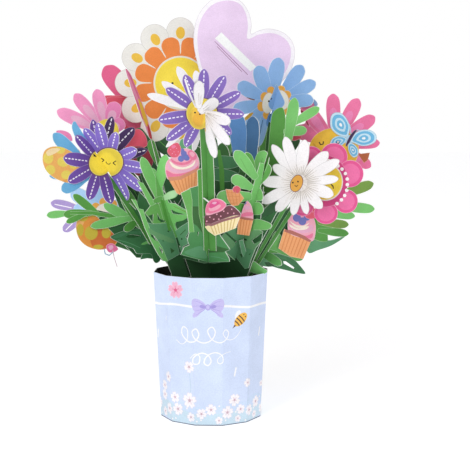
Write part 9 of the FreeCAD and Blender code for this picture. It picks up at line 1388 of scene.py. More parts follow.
CARDS["leaf_spray_left"] = ("AB", 0.8, "leaf_mid", [
    ("c", [(-63.9, 84.4), (-66.5, 87.8), (-69.6, 91.5), (-72.6, 94.6), (-75.8, 97.2), (-78.2, 98.3), (-80.7, 98.1), (-80.9, 95.6), (-79.7, 93.5), (-76.9, 90.5), (-73.6, 87.7), (-69.5, 84.9), (-65.8, 82.5)]),
    ("c", [(-84.7, 87.5), (-87.8, 87.9), (-91.2, 88.3), (-94.3, 88.3), (-97.3, 87.9), (-99.1, 87.2), (-100.4, 85.5), (-99.3, 84), (-97.5, 83.4), (-94.6, 83.3), (-91.5, 83.7), (-88, 84.4), (-84.8, 85.2)]),
    ("c", [(-69.8, 87), (-73.6, 87.8), (-78, 88.4), (-81.8, 88.6), (-85.5, 88.3), (-87.8, 87.5), (-89.5, 85.6), (-88.3, 83.7), (-86.1, 82.9), (-82.5, 82.6), (-78.6, 82.8), (-74.1, 83.5), (-70.1, 84.3)]),
    ("c", [(-74.4, 86.1), (-77.4, 85.6), (-80.7, 85), (-83.5, 84.2), (-86.2, 83.1), (-87.6, 82), (-88.4, 80.5), (-87, 79.6), (-85.2, 79.6), (-82.5, 80.3), (-79.7, 81.4), (-76.6, 82.9), (-73.9, 84.3)]),
    ("p", [(-84.9, 85.4), (-70.3, 84.4), (-46.7, 78.7), (-36.3, 72), (-25.3, 57), (-19.6, 47.7), (-14.3, 50.4), (-19.6, 60.4), (-31.9, 75.9), (-44.9, 82.4), (-69.6, 86.9), (-84.6, 87.3)]),
    ("c", [(-40.9, 79.6), (-44.1, 82.8), (-47.9, 86.3), (-51.6, 89), (-55.4, 91.1), (-58.2, 91.9), (-61.1, 91.1), (-61.1, 88.4), (-59.5, 86.3), (-56.1, 83.6), (-52.2, 81.3), (-47.4, 79), (-43, 77.1)]),
    ("c", [(-42.9, 82.4), (-48.9, 82.4), (-55.6, 82.1), (-61.5, 81.6), (-67.1, 80.5), (-70.4, 79.3), (-72.5, 77.1), (-70.2, 75.4), (-66.8, 75.1), (-61.3, 75.5), (-55.4, 76.5), (-48.8, 78.1), (-42.8, 79.7)]),
    ("c", [(-35.9, 76.3), (-36.4, 81.8), (-37.1, 87.9), (-38.3, 93.2), (-40.4, 97.8), (-42.6, 100.3), (-46.3, 101.1), (-48.8, 98), (-49.1, 94.6), (-48, 89.6), (-46, 84.7), (-43.1, 79.4), (-40.3, 74.7)]),
    ("c", [(-39.4, 80.5), (-42, 79.7), (-44.8, 78.7), (-47.2, 77.5), (-49.1, 76.1), (-50, 74.7), (-50, 72.9), (-48.3, 72), (-46.7, 72.2), (-44.4, 73.2), (-42.3, 74.7), (-40.1, 76.7), (-38.2, 78.5)]),
], [
    (0, "leaf_mid"),
    (1, "leaf_light"),
    (2, "leaf_mid"),
    (3, "leaf_mid"),
    (4, "leaf_mid"),
    (5, "leaf_light"),
    (6, "leaf_light"),
    (7, "leaf_mid"),
    (8, "leaf_mid"),
])
CARDS["leaf_dark_left"] = ("AB", 0.4, "leaf_dark", [
    ("c", [(-60.1, 69.3), (-56.4, 71.4), (-50.5, 73), (-44, 73.8), (-38.3, 73.8), (-33.5, 72.1), (-31.2, 65.3), (-27.6, 53.8), (-30.4, 50.7), (-32.7, 51.9), (-33.9, 56.6), (-39.2, 57.3), (-43.7, 57.8), (-45.6, 61), (-48.9, 62.5), (-54.6, 65.7)]),
    ("p", [(-42, 53.8), (-39.9, 57.3), (-33.9, 58.9), (-31.6, 55.4), (-33.1, 53.6), (-36.9, 54.2)]),
    ("c", [(-53.8, 60.5), (-50.6, 61), (-46.7, 59.1), (-42.9, 56.9), (-48.6, 56.2), (-52.5, 58.2)]),
    ("p", [(-35.6, 59.9), (-25.7, 51.4), (-17.5, 45), (-14.1, 47.8), (-20.8, 55.7), (-30.9, 64.4)]),
    ("h", [(-49.3, 69.3), (-46.8, 70.2), (-43.2, 70.1), (-38.7, 68.9), (-43.6, 68.1), (-47.6, 68.3)]),
], [
    (1, "leaf_dark"),
    (2, "teal"),
    (3, "leaf_dark"),
    (0, "leaf_dark"),
    (("c", [(-58.9, 69.2), (-54.4, 70.9), (-48.6, 72), (-42.8, 72.4), (-35.8, 71.8), (-38.9, 70.4), (-47.4, 70.9), (-54.8, 68.7)]), "leaf_teal2"),
    (("c", [(-39.5, 63.6), (-36.3, 65.1), (-33.1, 65.3), (-34.6, 63.9), (-37.7, 63.1)]), "leaf_light"),
    (("p", [(-55.1, 67.2), (-47.2, 64.4), (-40.7, 61.1), (-40.5, 61.5), (-47, 64.8), (-54.9, 67.6)]), "leaf_teal"),
])
CARDS["leaf_back_right"] = ("H02", 0, "leaf_mid", [
    ("c", [(51, 125.7), (52.5, 130.9), (54.1, 136.8), (55.2, 142.1), (55.6, 147.2), (55.1, 150.4), (53, 152.9), (50.3, 151.2), (48.8, 148.3), (47.7, 143.3), (47, 138), (46.7, 131.9), (46.5, 126.4)]),
    ("c", [(52, 134.9), (55.8, 136.4), (60, 138.2), (63.5, 140.1), (66.7, 142.3), (68.2, 144.1), (68.5, 146.6), (66.2, 147.4), (63.8, 146.9), (60.4, 145.2), (57.1, 142.9), (53.5, 140.1), (50.4, 137.5)]),
    ("c", [(46.3, 129.6), (49.3, 129.1), (52.6, 128.7), (55.5, 128.8), (58.2, 129.3), (59.8, 130.3), (60.7, 132.4), (59.4, 134.3), (57.7, 135), (54.9, 135.1), (52, 134.6), (48.9, 133.7), (46, 132.7)]),
    ("c", [(36.1, 119.7), (37.3, 133.7), (39.2, 143.7), (45.5, 146.3), (47.4, 136.2), (46.2, 126.1), (50.1, 113.4), (43.8, 94.4), (32.3, 94.3), (33.6, 110.2)]),
    ("p", [(37.3, 101.8), (26.2, 73), (20.5, 60), (23.9, 58.3), (30.9, 71), (42.6, 99.7)]),
    ("p", [(37, 100.7), (10.5, 30), (12.5, 30), (40.4, 100.7)]),
], [
    (5, "stem"),
    (("c", [(49.7, 126.7), (54.4, 127.9), (57.9, 126.7), (55.1, 123.3), (52.8, 121.5), (50.7, 123.6)]), "leaf_fresh"),
    (3, "leaf_mid"),
    (2, "leaf_light"),
    (1, "leaf_light"),
    (0, "leaf_light"),
])
CARDS["leaf_back_centre"] = ("BM", -0.36, "leaf_dark2", [
    ("c", [(-4.3, 115.2), (5.4, 116.1), (14.9, 115.6), (21.2, 112.6), (22.7, 106.5), (16.5, 101.3), (16.5, 79.3), (2.1, 75.3), (-12.7, 77.8), (-12.6, 100.3), (-9.2, 110)]),
    ("c", [(26.7, 114.2), (27.5, 120), (28.1, 126.5), (28.1, 132.2), (27, 137.7), (25.1, 140.9), (20.8, 142.9), (16.7, 140.6), (15.2, 137.2), (14.9, 131.6), (15.6, 125.8), (17.2, 119.4), (18.8, 113.6)]),
    ("c", [(35.2, 114.1), (36.3, 119.5), (37.3, 125.5), (37.7, 130.8), (37.3, 135.9), (36, 138.9), (32.7, 141), (29.2, 139.1), (27.7, 136), (27.1, 130.9), (27.2, 125.5), (27.9, 119.5), (28.7, 114.1)]),
    ("c", [(-4.3, 114), (8.6, 116.4), (21.2, 115.1), (23.5, 110.8), (13.3, 108.1), (2.1, 109.7)]),
    ("c", [(-4.3, 107), (7, 108.5), (19.6, 106.4), (22.7, 102.7), (11.7, 99.9), (-1.1, 102)]),
    ("c", [(21.4, 117.9), (23.7, 119.9), (26.3, 122.1), (28.3, 124.3), (29.7, 126.6), (30, 128.2), (28.9, 130), (26.3, 130.2), (24.5, 129.3), (22.5, 127.3), (20.8, 125), (19.2, 122.2), (17.9, 119.7)]),
    ("p", [(-6.1, 84.5), (18, 85.7), (13.3, 63.3), (6.9, 48.8), (-3.7, 47.9)]),
    ("c", [(5.5, 89.1), (3.7, 96.1), (1.4, 104), (-1.1, 110.8), (-4.5, 117.1), (-7.6, 120.5), (-12.5, 122.1), (-15.1, 118.5), (-15, 114.1), (-12.8, 107.4), (-9.5, 100.8), (-5.3, 93.4), (-1.4, 87)]),
    ("c", [(15.3, 91.4), (15.7, 98.1), (16, 105.6), (15.7, 112.1), (14.5, 118.4), (12.6, 122), (8.6, 124.3), (5, 121.5), (3.8, 117.5), (3.8, 111.2), (4.8, 104.6), (6.4, 97.2), (8.1, 90.7)]),
    ("c", [(21, 90.8), (23.7, 96.7), (26.6, 103.3), (28.7, 109.2), (30, 115), (29.8, 118.6), (27.4, 121.4), (23.5, 119.7), (21.2, 116.5), (18.9, 110.9), (17.3, 104.9), (16, 98), (15.1, 91.8)]),
    ("c", [(6.6, 88.6), (6.5, 94.9), (6.2, 102), (5.6, 108.3), (4.2, 114.2), (2.4, 117.7), (-1.1, 119.7), (-3.8, 117), (-4.5, 113.2), (-4.1, 107.2), (-2.9, 100.9), (-1, 93.9), (0.8, 87.8)]),
], [
    (6, "leaf_dark2"),
    (10, "leaf_deep"),
    (9, "leaf_deep"),
    (8, "leaf_deep"),
    (7, "leaf_deep"),
    (0, "leaf_dark2"),
    (5, "rust"),
    # the two blue back-wing petals are painted darker blue as painted shadow
    (2, "blue_deep"),
    (1, "blue_mid"),
    (3, "leaf_teal2"),
    (4, "leaf_teal2"),
    (("p", [(11.1, 89.8), (10.5, 107.5), (7.4, 120), (5, 119.7), (6.6, 107.1), (7.5, 89.5)]), "leaf_mid"),
])
CARDS["leaf_back_left"] = ("BM", -0.36, "leaf_dark2", [
    ("c", [(-75.1, 123.9), (-67.7, 130.7), (-59.6, 133.4), (-51.7, 126.8), (-44.7, 121.7), (-37.9, 112.6), (-34.6, 93.1), (-43.4, 76.2), (-55.7, 82.2), (-60.9, 98.8), (-71.6, 111.9)]),
    ("c", [(-76.1, 121.2), (-69.6, 129.3), (-61.4, 132.7), (-55.2, 128.1), (-54.4, 121.5), (-64.3, 120.1)]),
    ("c", [(-71.5, 118.6), (-60.6, 121.4), (-51.8, 117.6), (-49.2, 109.7), (-60.9, 101.4), (-68.1, 106.6)]),
    ("c", [(-33.9, 103.1), (-35.9, 108.1), (-38.4, 113.7), (-41.1, 118.4), (-44.5, 122.7), (-47.5, 124.9), (-51.7, 125.5), (-53.6, 122.6), (-53, 119.4), (-50.5, 114.7), (-47.1, 110.2), (-42.7, 105.4), (-38.6, 101.2)]),
], [
    (0, "leaf_dark2"),
    (1, "rose_red"),
    (2, "red_dark"),
    (3, "leaf_mid"),
])
CARDS["cupcake_left"] = ("BF", 0.8, "peach", [
    ("p", [(-2.8, 108.8), (23.1, 117.4), (23, 114.2), (16.8, 103), (2.9, 99.5), (0.8, 100.4)]),
    ("c", [(-4.2, 110.7), (-3.7, 116.6), (-0.8, 121.3), (3.4, 123.9), (6.3, 127.4), (11.4, 129.2), (17.7, 129.7), (22.1, 127.8), (24.2, 123.7), (23.7, 119.3), (21.2, 115.8), (13.8, 112.9), (4.3, 109.7), (-2.3, 109.1)]),
    ("c", [(1.2, 127.7), (5.1, 131.6), (11.1, 133.3), (12.6, 129.2), (8.9, 124.4), (3.7, 123.9)]),
    ("c", [(13.1, 125.9), (14.8, 127.8), (16.5, 129.9), (17.6, 131.9), (18.1, 133.8), (17.9, 134.9), (16.4, 135.9), (14.3, 135.3), (13.1, 134.2), (12, 132.4), (11.4, 130.4), (11.2, 128.1), (11.1, 126.1)]),
    ("c", [(17.6, 127), (19.7, 128.1), (21.9, 129.4), (23.7, 130.7), (25, 132.1), (25.5, 133.2), (25.2, 134.4), (23.6, 134.6), (22.3, 134), (20.6, 132.8), (19.1, 131.3), (17.7, 129.5), (16.6, 127.8)]),
], [
    (0, "peach"),
    (("p", [(0.4, 109.7), (3.6, 100), (4.4, 100.4), (1.4, 110.1)]), "peach_dark"),
    (("p", [(3.7, 110.9), (5.5, 100.5), (6.3, 100.7), (4.6, 111.2)]), "peach_dark"),
    (("p", [(6.9, 112), (7.3, 100.9), (8.1, 101.1), (7.8, 112.2)]), "peach_dark"),
    (("p", [(10.1, 113.1), (9.2, 101.4), (10, 101.5), (11, 113.2)]), "peach_dark"),
    (("p", [(13.2, 114.2), (11, 101.8), (11.8, 101.9), (14.2, 114.3)]), "peach_dark"),
    (("p", [(16.4, 115.3), (12.8, 102.2), (13.6, 102.3), (17.3, 115.3)]), "peach_dark"),
    (("p", [(19.5, 116.4), (14.6, 102.6), (15.4, 102.6), (20.4, 116.3)]), "peach_dark"),
    (3, "leaf_teal"),
    (4, "leaf_teal"),
    (1, "icing_pink"),
    (("c", [(-3.3, 115.3), (2.1, 113.2), (9.4, 113.8), (17, 115.9), (22.9, 119), (21.1, 115.9), (13, 113), (3.5, 110), (-2.5, 109.5)]), "icing_rose"),
    (("c", [(-1, 120), (2.3, 116.5), (9.1, 115.7), (16.5, 117.2), (22.5, 121.2), (20.5, 117.6), (13.5, 114.8), (5.4, 113.7), (-0.4, 115.4)]), "pink_pale"),
    (("c", [(1.3, 121.3), (5.3, 118.6), (11.3, 117.7), (18, 119.8), (21.5, 122.4), (19.4, 119.2), (13.3, 116.7), (6.2, 116.3), (2, 118.1)]), "cream"),
    (("c", [(2.6, 122.9), (6.8, 121), (13.7, 121), (19.8, 123.4), (16.7, 120.4), (10.1, 118.9), (4.1, 120.1)]), "icing_rose"),
    (("p", [(-3.1, 110.8), (6.4, 111.7), (23.1, 117.8), (23.2, 116.4), (6.6, 109.5), (-2.9, 108.2)]), "crumb_lt"),
    (("c", [(13.3, 123.2), (12.2, 121.8), (10.2, 121.1), (8.6, 121.7), (8.3, 123.1), (9.5, 124.6), (11.4, 125.2), (13, 124.7)]), "berry"),
    (("c", [(17.8, 124), (16.7, 122.5), (14.8, 121.9), (13.2, 122.4), (12.9, 123.9), (14, 125.3), (15.9, 126), (17.5, 125.4)]), "berry"),
    (("c", [(16.2, 126.5), (15.2, 125.1), (13.4, 124.5), (11.9, 125), (11.6, 126.4), (12.6, 127.8), (14.5, 128.3), (15.9, 127.8)]), "berry"),
    (("c", [(14.8, 128.5), (14, 127.5), (12.7, 127), (11.6, 127.4), (11.4, 128.4), (12.2, 129.4), (13.5, 129.8), (14.6, 129.5)]), "berry"),
    (("c", [(11, 123.7), (10.7, 123.3), (10.2, 123.2), (9.8, 123.3), (9.7, 123.7), (10, 124), (10.5, 124.2), (10.9, 124.1)]), "blue_mid"),
    (("c", [(15.7, 124.4), (15.4, 124.1), (14.9, 123.9), (14.5, 124.1), (14.4, 124.4), (14.7, 124.8), (15.2, 124.9), (15.6, 124.8)]), "blue_mid"),
    (("c", [(17.2, 127.6), (20.6, 128.9), (23.1, 127.1), (22.9, 123.7), (19.1, 122.4), (17.2, 124.8)]), "icing_rose"),
    (("c", [(18.2, 126.8), (20.6, 127.7), (22.1, 126.2), (20.1, 124.3)]), "icing_pink"),
    (2, "strawberry"),
    (("c", [(5.4, 130.7), (7.6, 131.9), (9.3, 131), (6.5, 129.5)]), "icing_rose"),
    (("c", [(4.7, 128.8), (4.5, 128.6), (4.2, 128.5), (4, 128.6), (4, 128.8), (4.1, 129), (4.4, 129.1), (4.6, 129)]), "pink_pale"),
    (("c", [(6.9, 127.4), (6.8, 127.2), (6.5, 127.2), (6.3, 127.2), (6.2, 127.4), (6.4, 127.6), (6.7, 127.7), (6.9, 127.6)]), "pink_pale"),
    (("c", [(9.6, 129.8), (9.5, 129.6), (9.2, 129.5), (9, 129.6), (8.9, 129.8), (9.1, 130), (9.4, 130.1), (9.6, 130)]), "pink_pale"),
    (("c", [(5.2, 126.3), (5, 126.1), (4.7, 126), (4.5, 126), (4.5, 126.3), (4.6, 126.5), (4.9, 126.5), (5.1, 126.5)]), "pink_pale"),
    (("c", [(7.6, 125.5), (7.5, 125.3), (7.2, 125.2), (7, 125.3), (6.9, 125.5), (7.1, 125.7), (7.4, 125.8), (7.6, 125.7)]), "pink_pale"),
    (("c", [(10.2, 127.5), (10.1, 127.3), (9.8, 127.2), (9.6, 127.3), (9.5, 127.5), (9.7, 127.7), (10, 127.8), (10.2, 127.7)]), "pink_pale"),
])
CARDS["cupcake_centre"] = ("Hb", 0, "cream_wrap", [
    ("p", [(12.8, 82.8), (20.1, 87.2), (34.7, 91.6), (40.5, 90.5), (35.1, 81.2), (29.2, 78.8), (19.5, 75.2), (15.6, 78.1)]),
    ("c", [(13.9, 84.2), (16.5, 89.8), (22.4, 91.4), (28.5, 94.3), (34.4, 96.6), (38, 94.7), (40.5, 90.5), (35.6, 89.6), (26.8, 86.5), (19.2, 83.4), (14.6, 81.5)]),
    ("c", [(16.6, 91.8), (19.3, 97.3), (24.4, 100.5), (29.7, 99.7), (32, 96.5), (28.2, 93), (20.8, 90.3), (17.1, 89.1)]),
    ("p", [(14.1, 100.5), (17.4, 100.3), (20.1, 97.7), (20.8, 98.4), (17.8, 100.9), (14.4, 101.1)]),
    ("h", [(13.03, 81.91), (13.12, 81.7), (13.64, 80.82), (13.85, 80.73), (14.07, 80.82), (14.15, 81.03), (15.08, 87.04), (14.99, 87.25), (14.78, 87.34), (14.57, 87.25), (14.48, 87.04), (13.24, 83.24)]),
    ("h", [(16.09, 100.36), (16.18, 100.15), (16.39, 100.06), (16.82, 100.03), (17.04, 100.12), (17.12, 100.33), (17.22, 100.95), (17.13, 101.16), (16.92, 101.25), (16.52, 101.27), (16.31, 101.19), (16.22, 100.97), (16.14, 100.64)]),
    ("h", [(12.5, 82.8), (12.59, 82.59), (12.87, 82.11), (13.08, 82.03), (13.3, 82.11), (13.38, 82.33), (13.49, 83.04), (13.4, 83.25), (13.19, 83.34), (12.98, 83.25), (12.59, 83.01)]),
    ("h", [(14.91, 100.43), (15, 100.22), (15.21, 100.13), (15.86, 100.09), (16.07, 100.18), (16.16, 100.39), (16.26, 101.01), (16.17, 101.22), (15.96, 101.31), (15.3, 101.35), (15.09, 101.26), (15, 101.05)]),
    ("h", [(12.64, 82.56), (12.73, 82.34), (13.07, 81.78), (13.26, 81.47), (13.47, 81.38), (13.68, 81.47), (13.77, 81.68), (14.03, 83.36), (13.94, 83.57), (13.73, 83.66), (13.51, 83.57), (13.05, 83.29), (12.79, 83.13), (12.7, 82.92)]),
    ("h", [(15.39, 100.4), (15.48, 100.19), (15.69, 100.1), (16.34, 100.06), (16.55, 100.15), (16.64, 100.36), (16.74, 100.98), (16.65, 101.19), (16.44, 101.28), (15.78, 101.32), (15.57, 101.23), (15.48, 101.02)]),
], [
    (0, "cream_wrap"),
    (("p", [(17, 84.8), (19, 75.9), (19.7, 76.2), (17.9, 85.2)]), "tan"),
    (("p", [(19.9, 85.7), (20.9, 76.4), (21.6, 76.7), (20.7, 85.9)]), "tan"),
    (("p", [(22.7, 86.5), (22.8, 77), (23.5, 77.2), (23.6, 86.7)]), "tan"),
    (("p", [(25.6, 87.3), (24.6, 77.6), (25.4, 77.8), (26.4, 87.4)]), "tan"),
    (("p", [(28.4, 88.1), (26.5, 78.2), (27.2, 78.3), (29.2, 88.2)]), "tan"),
    (("p", [(31.2, 88.9), (28.4, 78.8), (29.1, 78.8), (32, 88.9)]), "tan"),
    (("p", [(34, 89.7), (30.3, 79.4), (30.9, 79.3), (34.8, 89.6)]), "tan"),
    (("p", [(36.8, 90.5), (32.1, 80), (32.8, 79.9), (37.5, 90.3)]), "tan"),
    (1, "choco"),
    (2, "icing_rose"),
    (("c", [(19.5, 94), (23.6, 96.8), (28.3, 96.3), (25.6, 93.6), (20.5, 92)]), "icing_pink"),
    (("c", [(16.6, 85), (16.4, 84.7), (16, 84.5), (15.7, 84.6), (15.6, 85), (15.9, 85.3), (16.2, 85.5), (16.6, 85.4)]), "icing_pink"),
    (("c", [(19.3, 87.9), (19.1, 87.5), (18.7, 87.4), (18.4, 87.5), (18.4, 87.8), (18.6, 88.2), (19, 88.3), (19.3, 88.2)]), "icing_pink"),
    (("c", [(21.8, 86.6), (21.6, 86.3), (21.2, 86.1), (20.9, 86.3), (20.8, 86.6), (21.1, 86.9), (21.4, 87.1), (21.7, 87)]), "icing_pink"),
    (("c", [(24.6, 90.1), (24.4, 89.8), (24.1, 89.6), (23.7, 89.8), (23.7, 90.1), (23.9, 90.4), (24.3, 90.6), (24.6, 90.5)]), "icing_pink"),
    (("c", [(27.1, 88.9), (26.9, 88.6), (26.5, 88.4), (26.2, 88.5), (26.1, 88.9), (26.4, 89.2), (26.7, 89.4), (27, 89.2)]), "icing_pink"),
    (("c", [(29.9, 92.4), (29.7, 92.1), (29.3, 91.9), (29, 92), (28.9, 92.4), (29.2, 92.7), (29.5, 92.9), (29.8, 92.7)]), "icing_pink"),
    (("c", [(32.3, 91.2), (32.1, 90.8), (31.8, 90.7), (31.4, 90.8), (31.4, 91.1), (31.6, 91.5), (32, 91.6), (32.3, 91.5)]), "icing_pink"),
    (("c", [(35.6, 94), (35.4, 93.6), (35.1, 93.5), (34.7, 93.6), (34.7, 93.9), (34.9, 94.3), (35.3, 94.4), (35.6, 94.3)]), "icing_pink"),
    (("c", [(36.4, 91.3), (36.2, 91), (35.8, 90.9), (35.5, 91), (35.5, 91.3), (35.7, 91.6), (36, 91.8), (36.3, 91.7)]), "icing_pink"),
    (("c", [(25.3, 86.8), (25.1, 86.5), (24.7, 86.3), (24.4, 86.4), (24.3, 86.8), (24.5, 87.1), (24.9, 87.3), (25.2, 87.1)]), "icing_pink"),
    (3, "paperwhite"),
    (("c", [(16.8, 90.9), (20.8, 90.4), (26.7, 92.5), (30.8, 95.5), (28.9, 93), (22.2, 90.3), (17.8, 89.2)]), "icing_pink"),
    (("c", [(20.1, 95.3), (22.6, 98.4), (26.2, 99.2), (27.9, 97.7), (24.7, 95.5), (20.9, 94)]), "magenta"),
    (("c", [(22.4, 97.4), (24.4, 98.5), (26, 98.2), (24.3, 96.8)]), "pink_pale"),
    (("p", [(13.8, 83.9), (19.3, 83.5), (26.8, 86.6), (40.4, 90.5), (39.5, 89), (27.2, 85.1), (18.8, 81.7), (14.2, 82.4)]), "choco_lt"),
])
CARDS["cone_small"] = ("AF", 0.8, "peach", [
    ("p", [(-11.6, 103.5), (-2.4, 102.5), (3, 97), (-0.2, 92.5), (-4.5, 92), (-9.1, 96.9)]),
    ("c", [(-0.6, 102.8), (-1.1, 101), (-3, 100.3), (-5.2, 101.1), (-6.5, 103), (-6, 104.8), (-4.1, 105.5), (-1.9, 104.7)]),
], [
    (0, "peach"),
    (1, "strawberry"),
    (("p", [(-10.6, 102.8), (-5.5, 92.7), (-5.1, 92.8), (-10.2, 102.9)]), "peach_dark"),
    (("p", [(-7.7, 102.7), (-3.4, 92.6), (-2.9, 92.7), (-7.3, 102.8)]), "peach_dark"),
    (("p", [(-4.8, 102.6), (-1.2, 92.5), (-0.7, 92.6), (-4.4, 102.6)]), "peach_dark"),
    (("p", [(-1.9, 102.5), (1.1, 92.4), (1.5, 92.5), (-1.4, 102.5)]), "peach_dark"),
    (("p", [(-10.4, 101.4), (0.3, 100.3), (0.2, 100.6), (-10.4, 101.7)]), "peach_dark"),
    (("p", [(-9.8, 98.7), (-0.4, 98.2), (-0.4, 98.5), (-9.8, 99)]), "peach_dark"),
    (("p", [(-9.2, 96.1), (-1, 96.1), (-1.1, 96.4), (-9.3, 96.4)]), "peach_dark"),
    (("p", [(-8.6, 93.4), (-1.6, 94), (-1.7, 94.3), (-8.7, 93.7)]), "peach_dark"),
])
CARDS["cupcake_half"] = ("Hd", 0, "peach", [
    ("p", [(18.2, 83.1), (27.5, 81.5), (24.9, 70.2), (17.2, 71.2)]),
    ("c", [(19.8, 82.4), (21.1, 88.4), (23.5, 92.9), (26, 90.3), (27.2, 85.1), (26.9, 81.1), (22.8, 80.8)]),
], [
    (0, "peach"),
    (("p", [(19.7, 82.8), (18.4, 71), (19.1, 70.9), (20.5, 82.7)]), "peach_dark"),
    (("p", [(21.6, 82.5), (20, 70.8), (20.6, 70.7), (22.3, 82.4)]), "peach_dark"),
    (("p", [(23.4, 82.2), (21.5, 70.6), (22.2, 70.5), (24.1, 82.1)]), "peach_dark"),
    (("p", [(25.3, 81.9), (23.1, 70.4), (23.7, 70.3), (26, 81.7)]), "peach_dark"),
    (1, "icing_pink"),
    (("p", [(22.1, 90.5), (23.4, 91.8), (22.5, 92.7), (21.3, 91.4)]), "berry"),
    (("c", [(20, 84.4), (22.9, 85.7), (26.9, 85.5), (26.9, 83.5), (22.9, 83), (19.9, 82.4)]), "icing_rose"),
    (("c", [(21.3, 88.8), (23.5, 90.3), (26.2, 88.6), (23.5, 87.3)]), "pink_pale"),
    (("p", [(18.6, 83), (23.5, 82.2), (27.4, 81.4), (27.3, 80.2), (22.8, 80.7), (18.3, 81.6)]), "crumb"),
])
CARDS["cupcake_right"] = ("AF", 1.2, "peach", [
    ("p", [(38.4, 74.6), (62.4, 64.6), (59.3, 51.6), (48.2, 54.1), (37, 61)]),
    ("c", [(40.2, 78.4), (40.2, 83.2), (45.1, 85.4), (54.7, 85.3), (60.8, 80.1), (64.2, 72), (63.4, 64.2), (52.9, 67.3), (43.2, 71.2)]),
    ("c", [(51, 85.5), (54.7, 89.8), (61.4, 85.7), (61.1, 80.8), (54.6, 81.1)]),
    ("p", [(42.4, 91.8), (46.7, 90.2), (48.9, 88), (49.7, 92.2), (52, 88.2), (51.5, 84.1), (47.1, 83.9)]),
], [
    (0, "peach"),
    (("p", [(40.9, 73.6), (39.5, 59.3), (40.3, 59.1), (41.8, 73.3)]), "peach_dark"),
    (("p", [(43.8, 72.3), (42.2, 58.3), (43, 58), (44.8, 72)]), "peach_dark"),
    (("p", [(46.8, 71.1), (45, 57.2), (45.8, 56.9), (47.8, 70.8)]), "peach_dark"),
    (("p", [(49.8, 69.9), (47.7, 56.1), (48.5, 55.8), (50.8, 69.5)]), "peach_dark"),
    (("p", [(52.8, 68.6), (50.5, 55), (51.3, 54.7), (53.8, 68.2)]), "peach_dark"),
    (("p", [(55.8, 67.4), (53.3, 53.9), (54.1, 53.6), (56.8, 67)]), "peach_dark"),
    (("p", [(58.9, 66.1), (56.1, 52.9), (56.9, 52.5), (59.9, 65.7)]), "peach_dark"),
    (1, "icing_pink"),
    (("c", [(41.6, 77.6), (49.5, 74.3), (57.3, 75.3), (61.3, 72.2), (55.2, 70.8), (45.8, 73.1)]), "cream"),
    (3, "leaf_dark"),
    (("c", [(49.6, 81.7), (49.2, 79.8), (47.1, 79), (44.7, 80), (43.2, 82), (43.7, 84), (45.7, 84.7), (48.2, 83.8)]), "berry"),
    (("c", [(54.7, 79), (54.3, 77), (52.2, 76.3), (49.7, 77.3), (48.2, 79.3), (48.7, 81.3), (50.7, 82), (53.2, 81)]), "berry"),
    (("c", [(57.1, 81.7), (56.8, 80), (55, 79.4), (52.9, 80.2), (51.6, 82), (52, 83.6), (53.7, 84.2), (55.9, 83.4)]), "berry"),
    (2, "strawberry"),
    (("c", [(42.8, 72.6), (48.9, 70.4), (57.4, 68.6), (62.3, 70), (61.6, 66.2), (52.5, 68.9), (44.7, 71.4)]), "icing_rose"),
    (("c", [(41.6, 76.2), (48.2, 73.3), (56.2, 73.2), (59.3, 76.6), (62.2, 72.9), (58.4, 70.7), (49.4, 71.5)]), "pink_pale"),
    (("c", [(41.5, 79.7), (47.3, 76.9), (53.1, 76), (57.4, 77.7), (54.2, 74.8), (47.7, 75.1)]), "cream"),
    (("p", [(39.2, 74.5), (45.1, 72.9), (55.8, 68.6), (62.4, 64.7), (61.6, 63.6), (51.1, 68.1), (38.9, 72.6)]), "crumb"),
    (("c", [(54.1, 87), (54.1, 86.8), (53.8, 86.7), (53.5, 86.8), (53.3, 87), (53.4, 87.3), (53.7, 87.4), (54, 87.3)]), "pink_pale"),
    (("c", [(56.8, 87.7), (56.8, 87.5), (56.5, 87.4), (56.2, 87.5), (56, 87.8), (56.1, 88), (56.3, 88.1), (56.7, 88)]), "pink_pale"),
    (("c", [(58.7, 85.4), (58.7, 85.1), (58.4, 85), (58.1, 85.2), (57.9, 85.4), (58, 85.7), (58.2, 85.8), (58.5, 85.6)]), "pink_pale"),
    (("c", [(56.2, 84.5), (56.2, 84.3), (55.9, 84.2), (55.6, 84.3), (55.4, 84.6), (55.5, 84.8), (55.7, 84.9), (56, 84.8)]), "pink_pale"),
])
CARDS["petal_white_centre"] = ("AF", 1.2, "white", [
    ("c", [(-39.4, 154.7), (-39, 157.9), (-38.8, 161.5), (-39.1, 164.8), (-40, 167.8), (-41.2, 169.7), (-43.7, 170.9), (-45.7, 169.7), (-46.4, 167.8), (-46.2, 164.8), (-45.4, 161.6), (-43.9, 158), (-42.4, 154.7)]),
    ("c", [(-38.6, 151.1), (-35.6, 151.8), (-32.4, 152.8), (-30, 154.2), (-28.3, 155.9), (-27.9, 157.5), (-28.9, 159.8), (-31.5, 161.1), (-33.4, 160.9), (-35.6, 159.8), (-37.5, 158), (-39.2, 155.4), (-40.5, 153)]),
    ("c", [(-38.3, 153.7), (-38.4, 153), (-38.9, 152.5), (-39.6, 152.3), (-40.5, 152.5), (-41.1, 153), (-41.5, 153.7), (-41.4, 154.4), (-41, 155), (-40.2, 155.2), (-39.4, 155), (-38.7, 154.5)]),
], [
    (2, "white"),
    (0, "white"),
    (1, "white"),
    (("p", [(-40.8, 156.5), (-42.5, 163.6), (-42.8, 163.6), (-41.1, 156.5)]), "vein"),
    (("p", [(-39.9, 157.1), (-40.7, 162.4), (-41, 162.4), (-40.2, 157.1)]), "vein"),
    (("p", [(-37.4, 152.8), (-33.3, 155.6), (-33.4, 155.8), (-37.6, 153)]), "vein"),
    (("p", [(-37.9, 154), (-34.8, 156.7), (-35, 156.9), (-38.1, 154.2)]), "vein"),
    (("p", [(-36.7, 151.9), (-33.6, 153.8), (-33.7, 154), (-36.9, 152.2)]), "vein"),
])

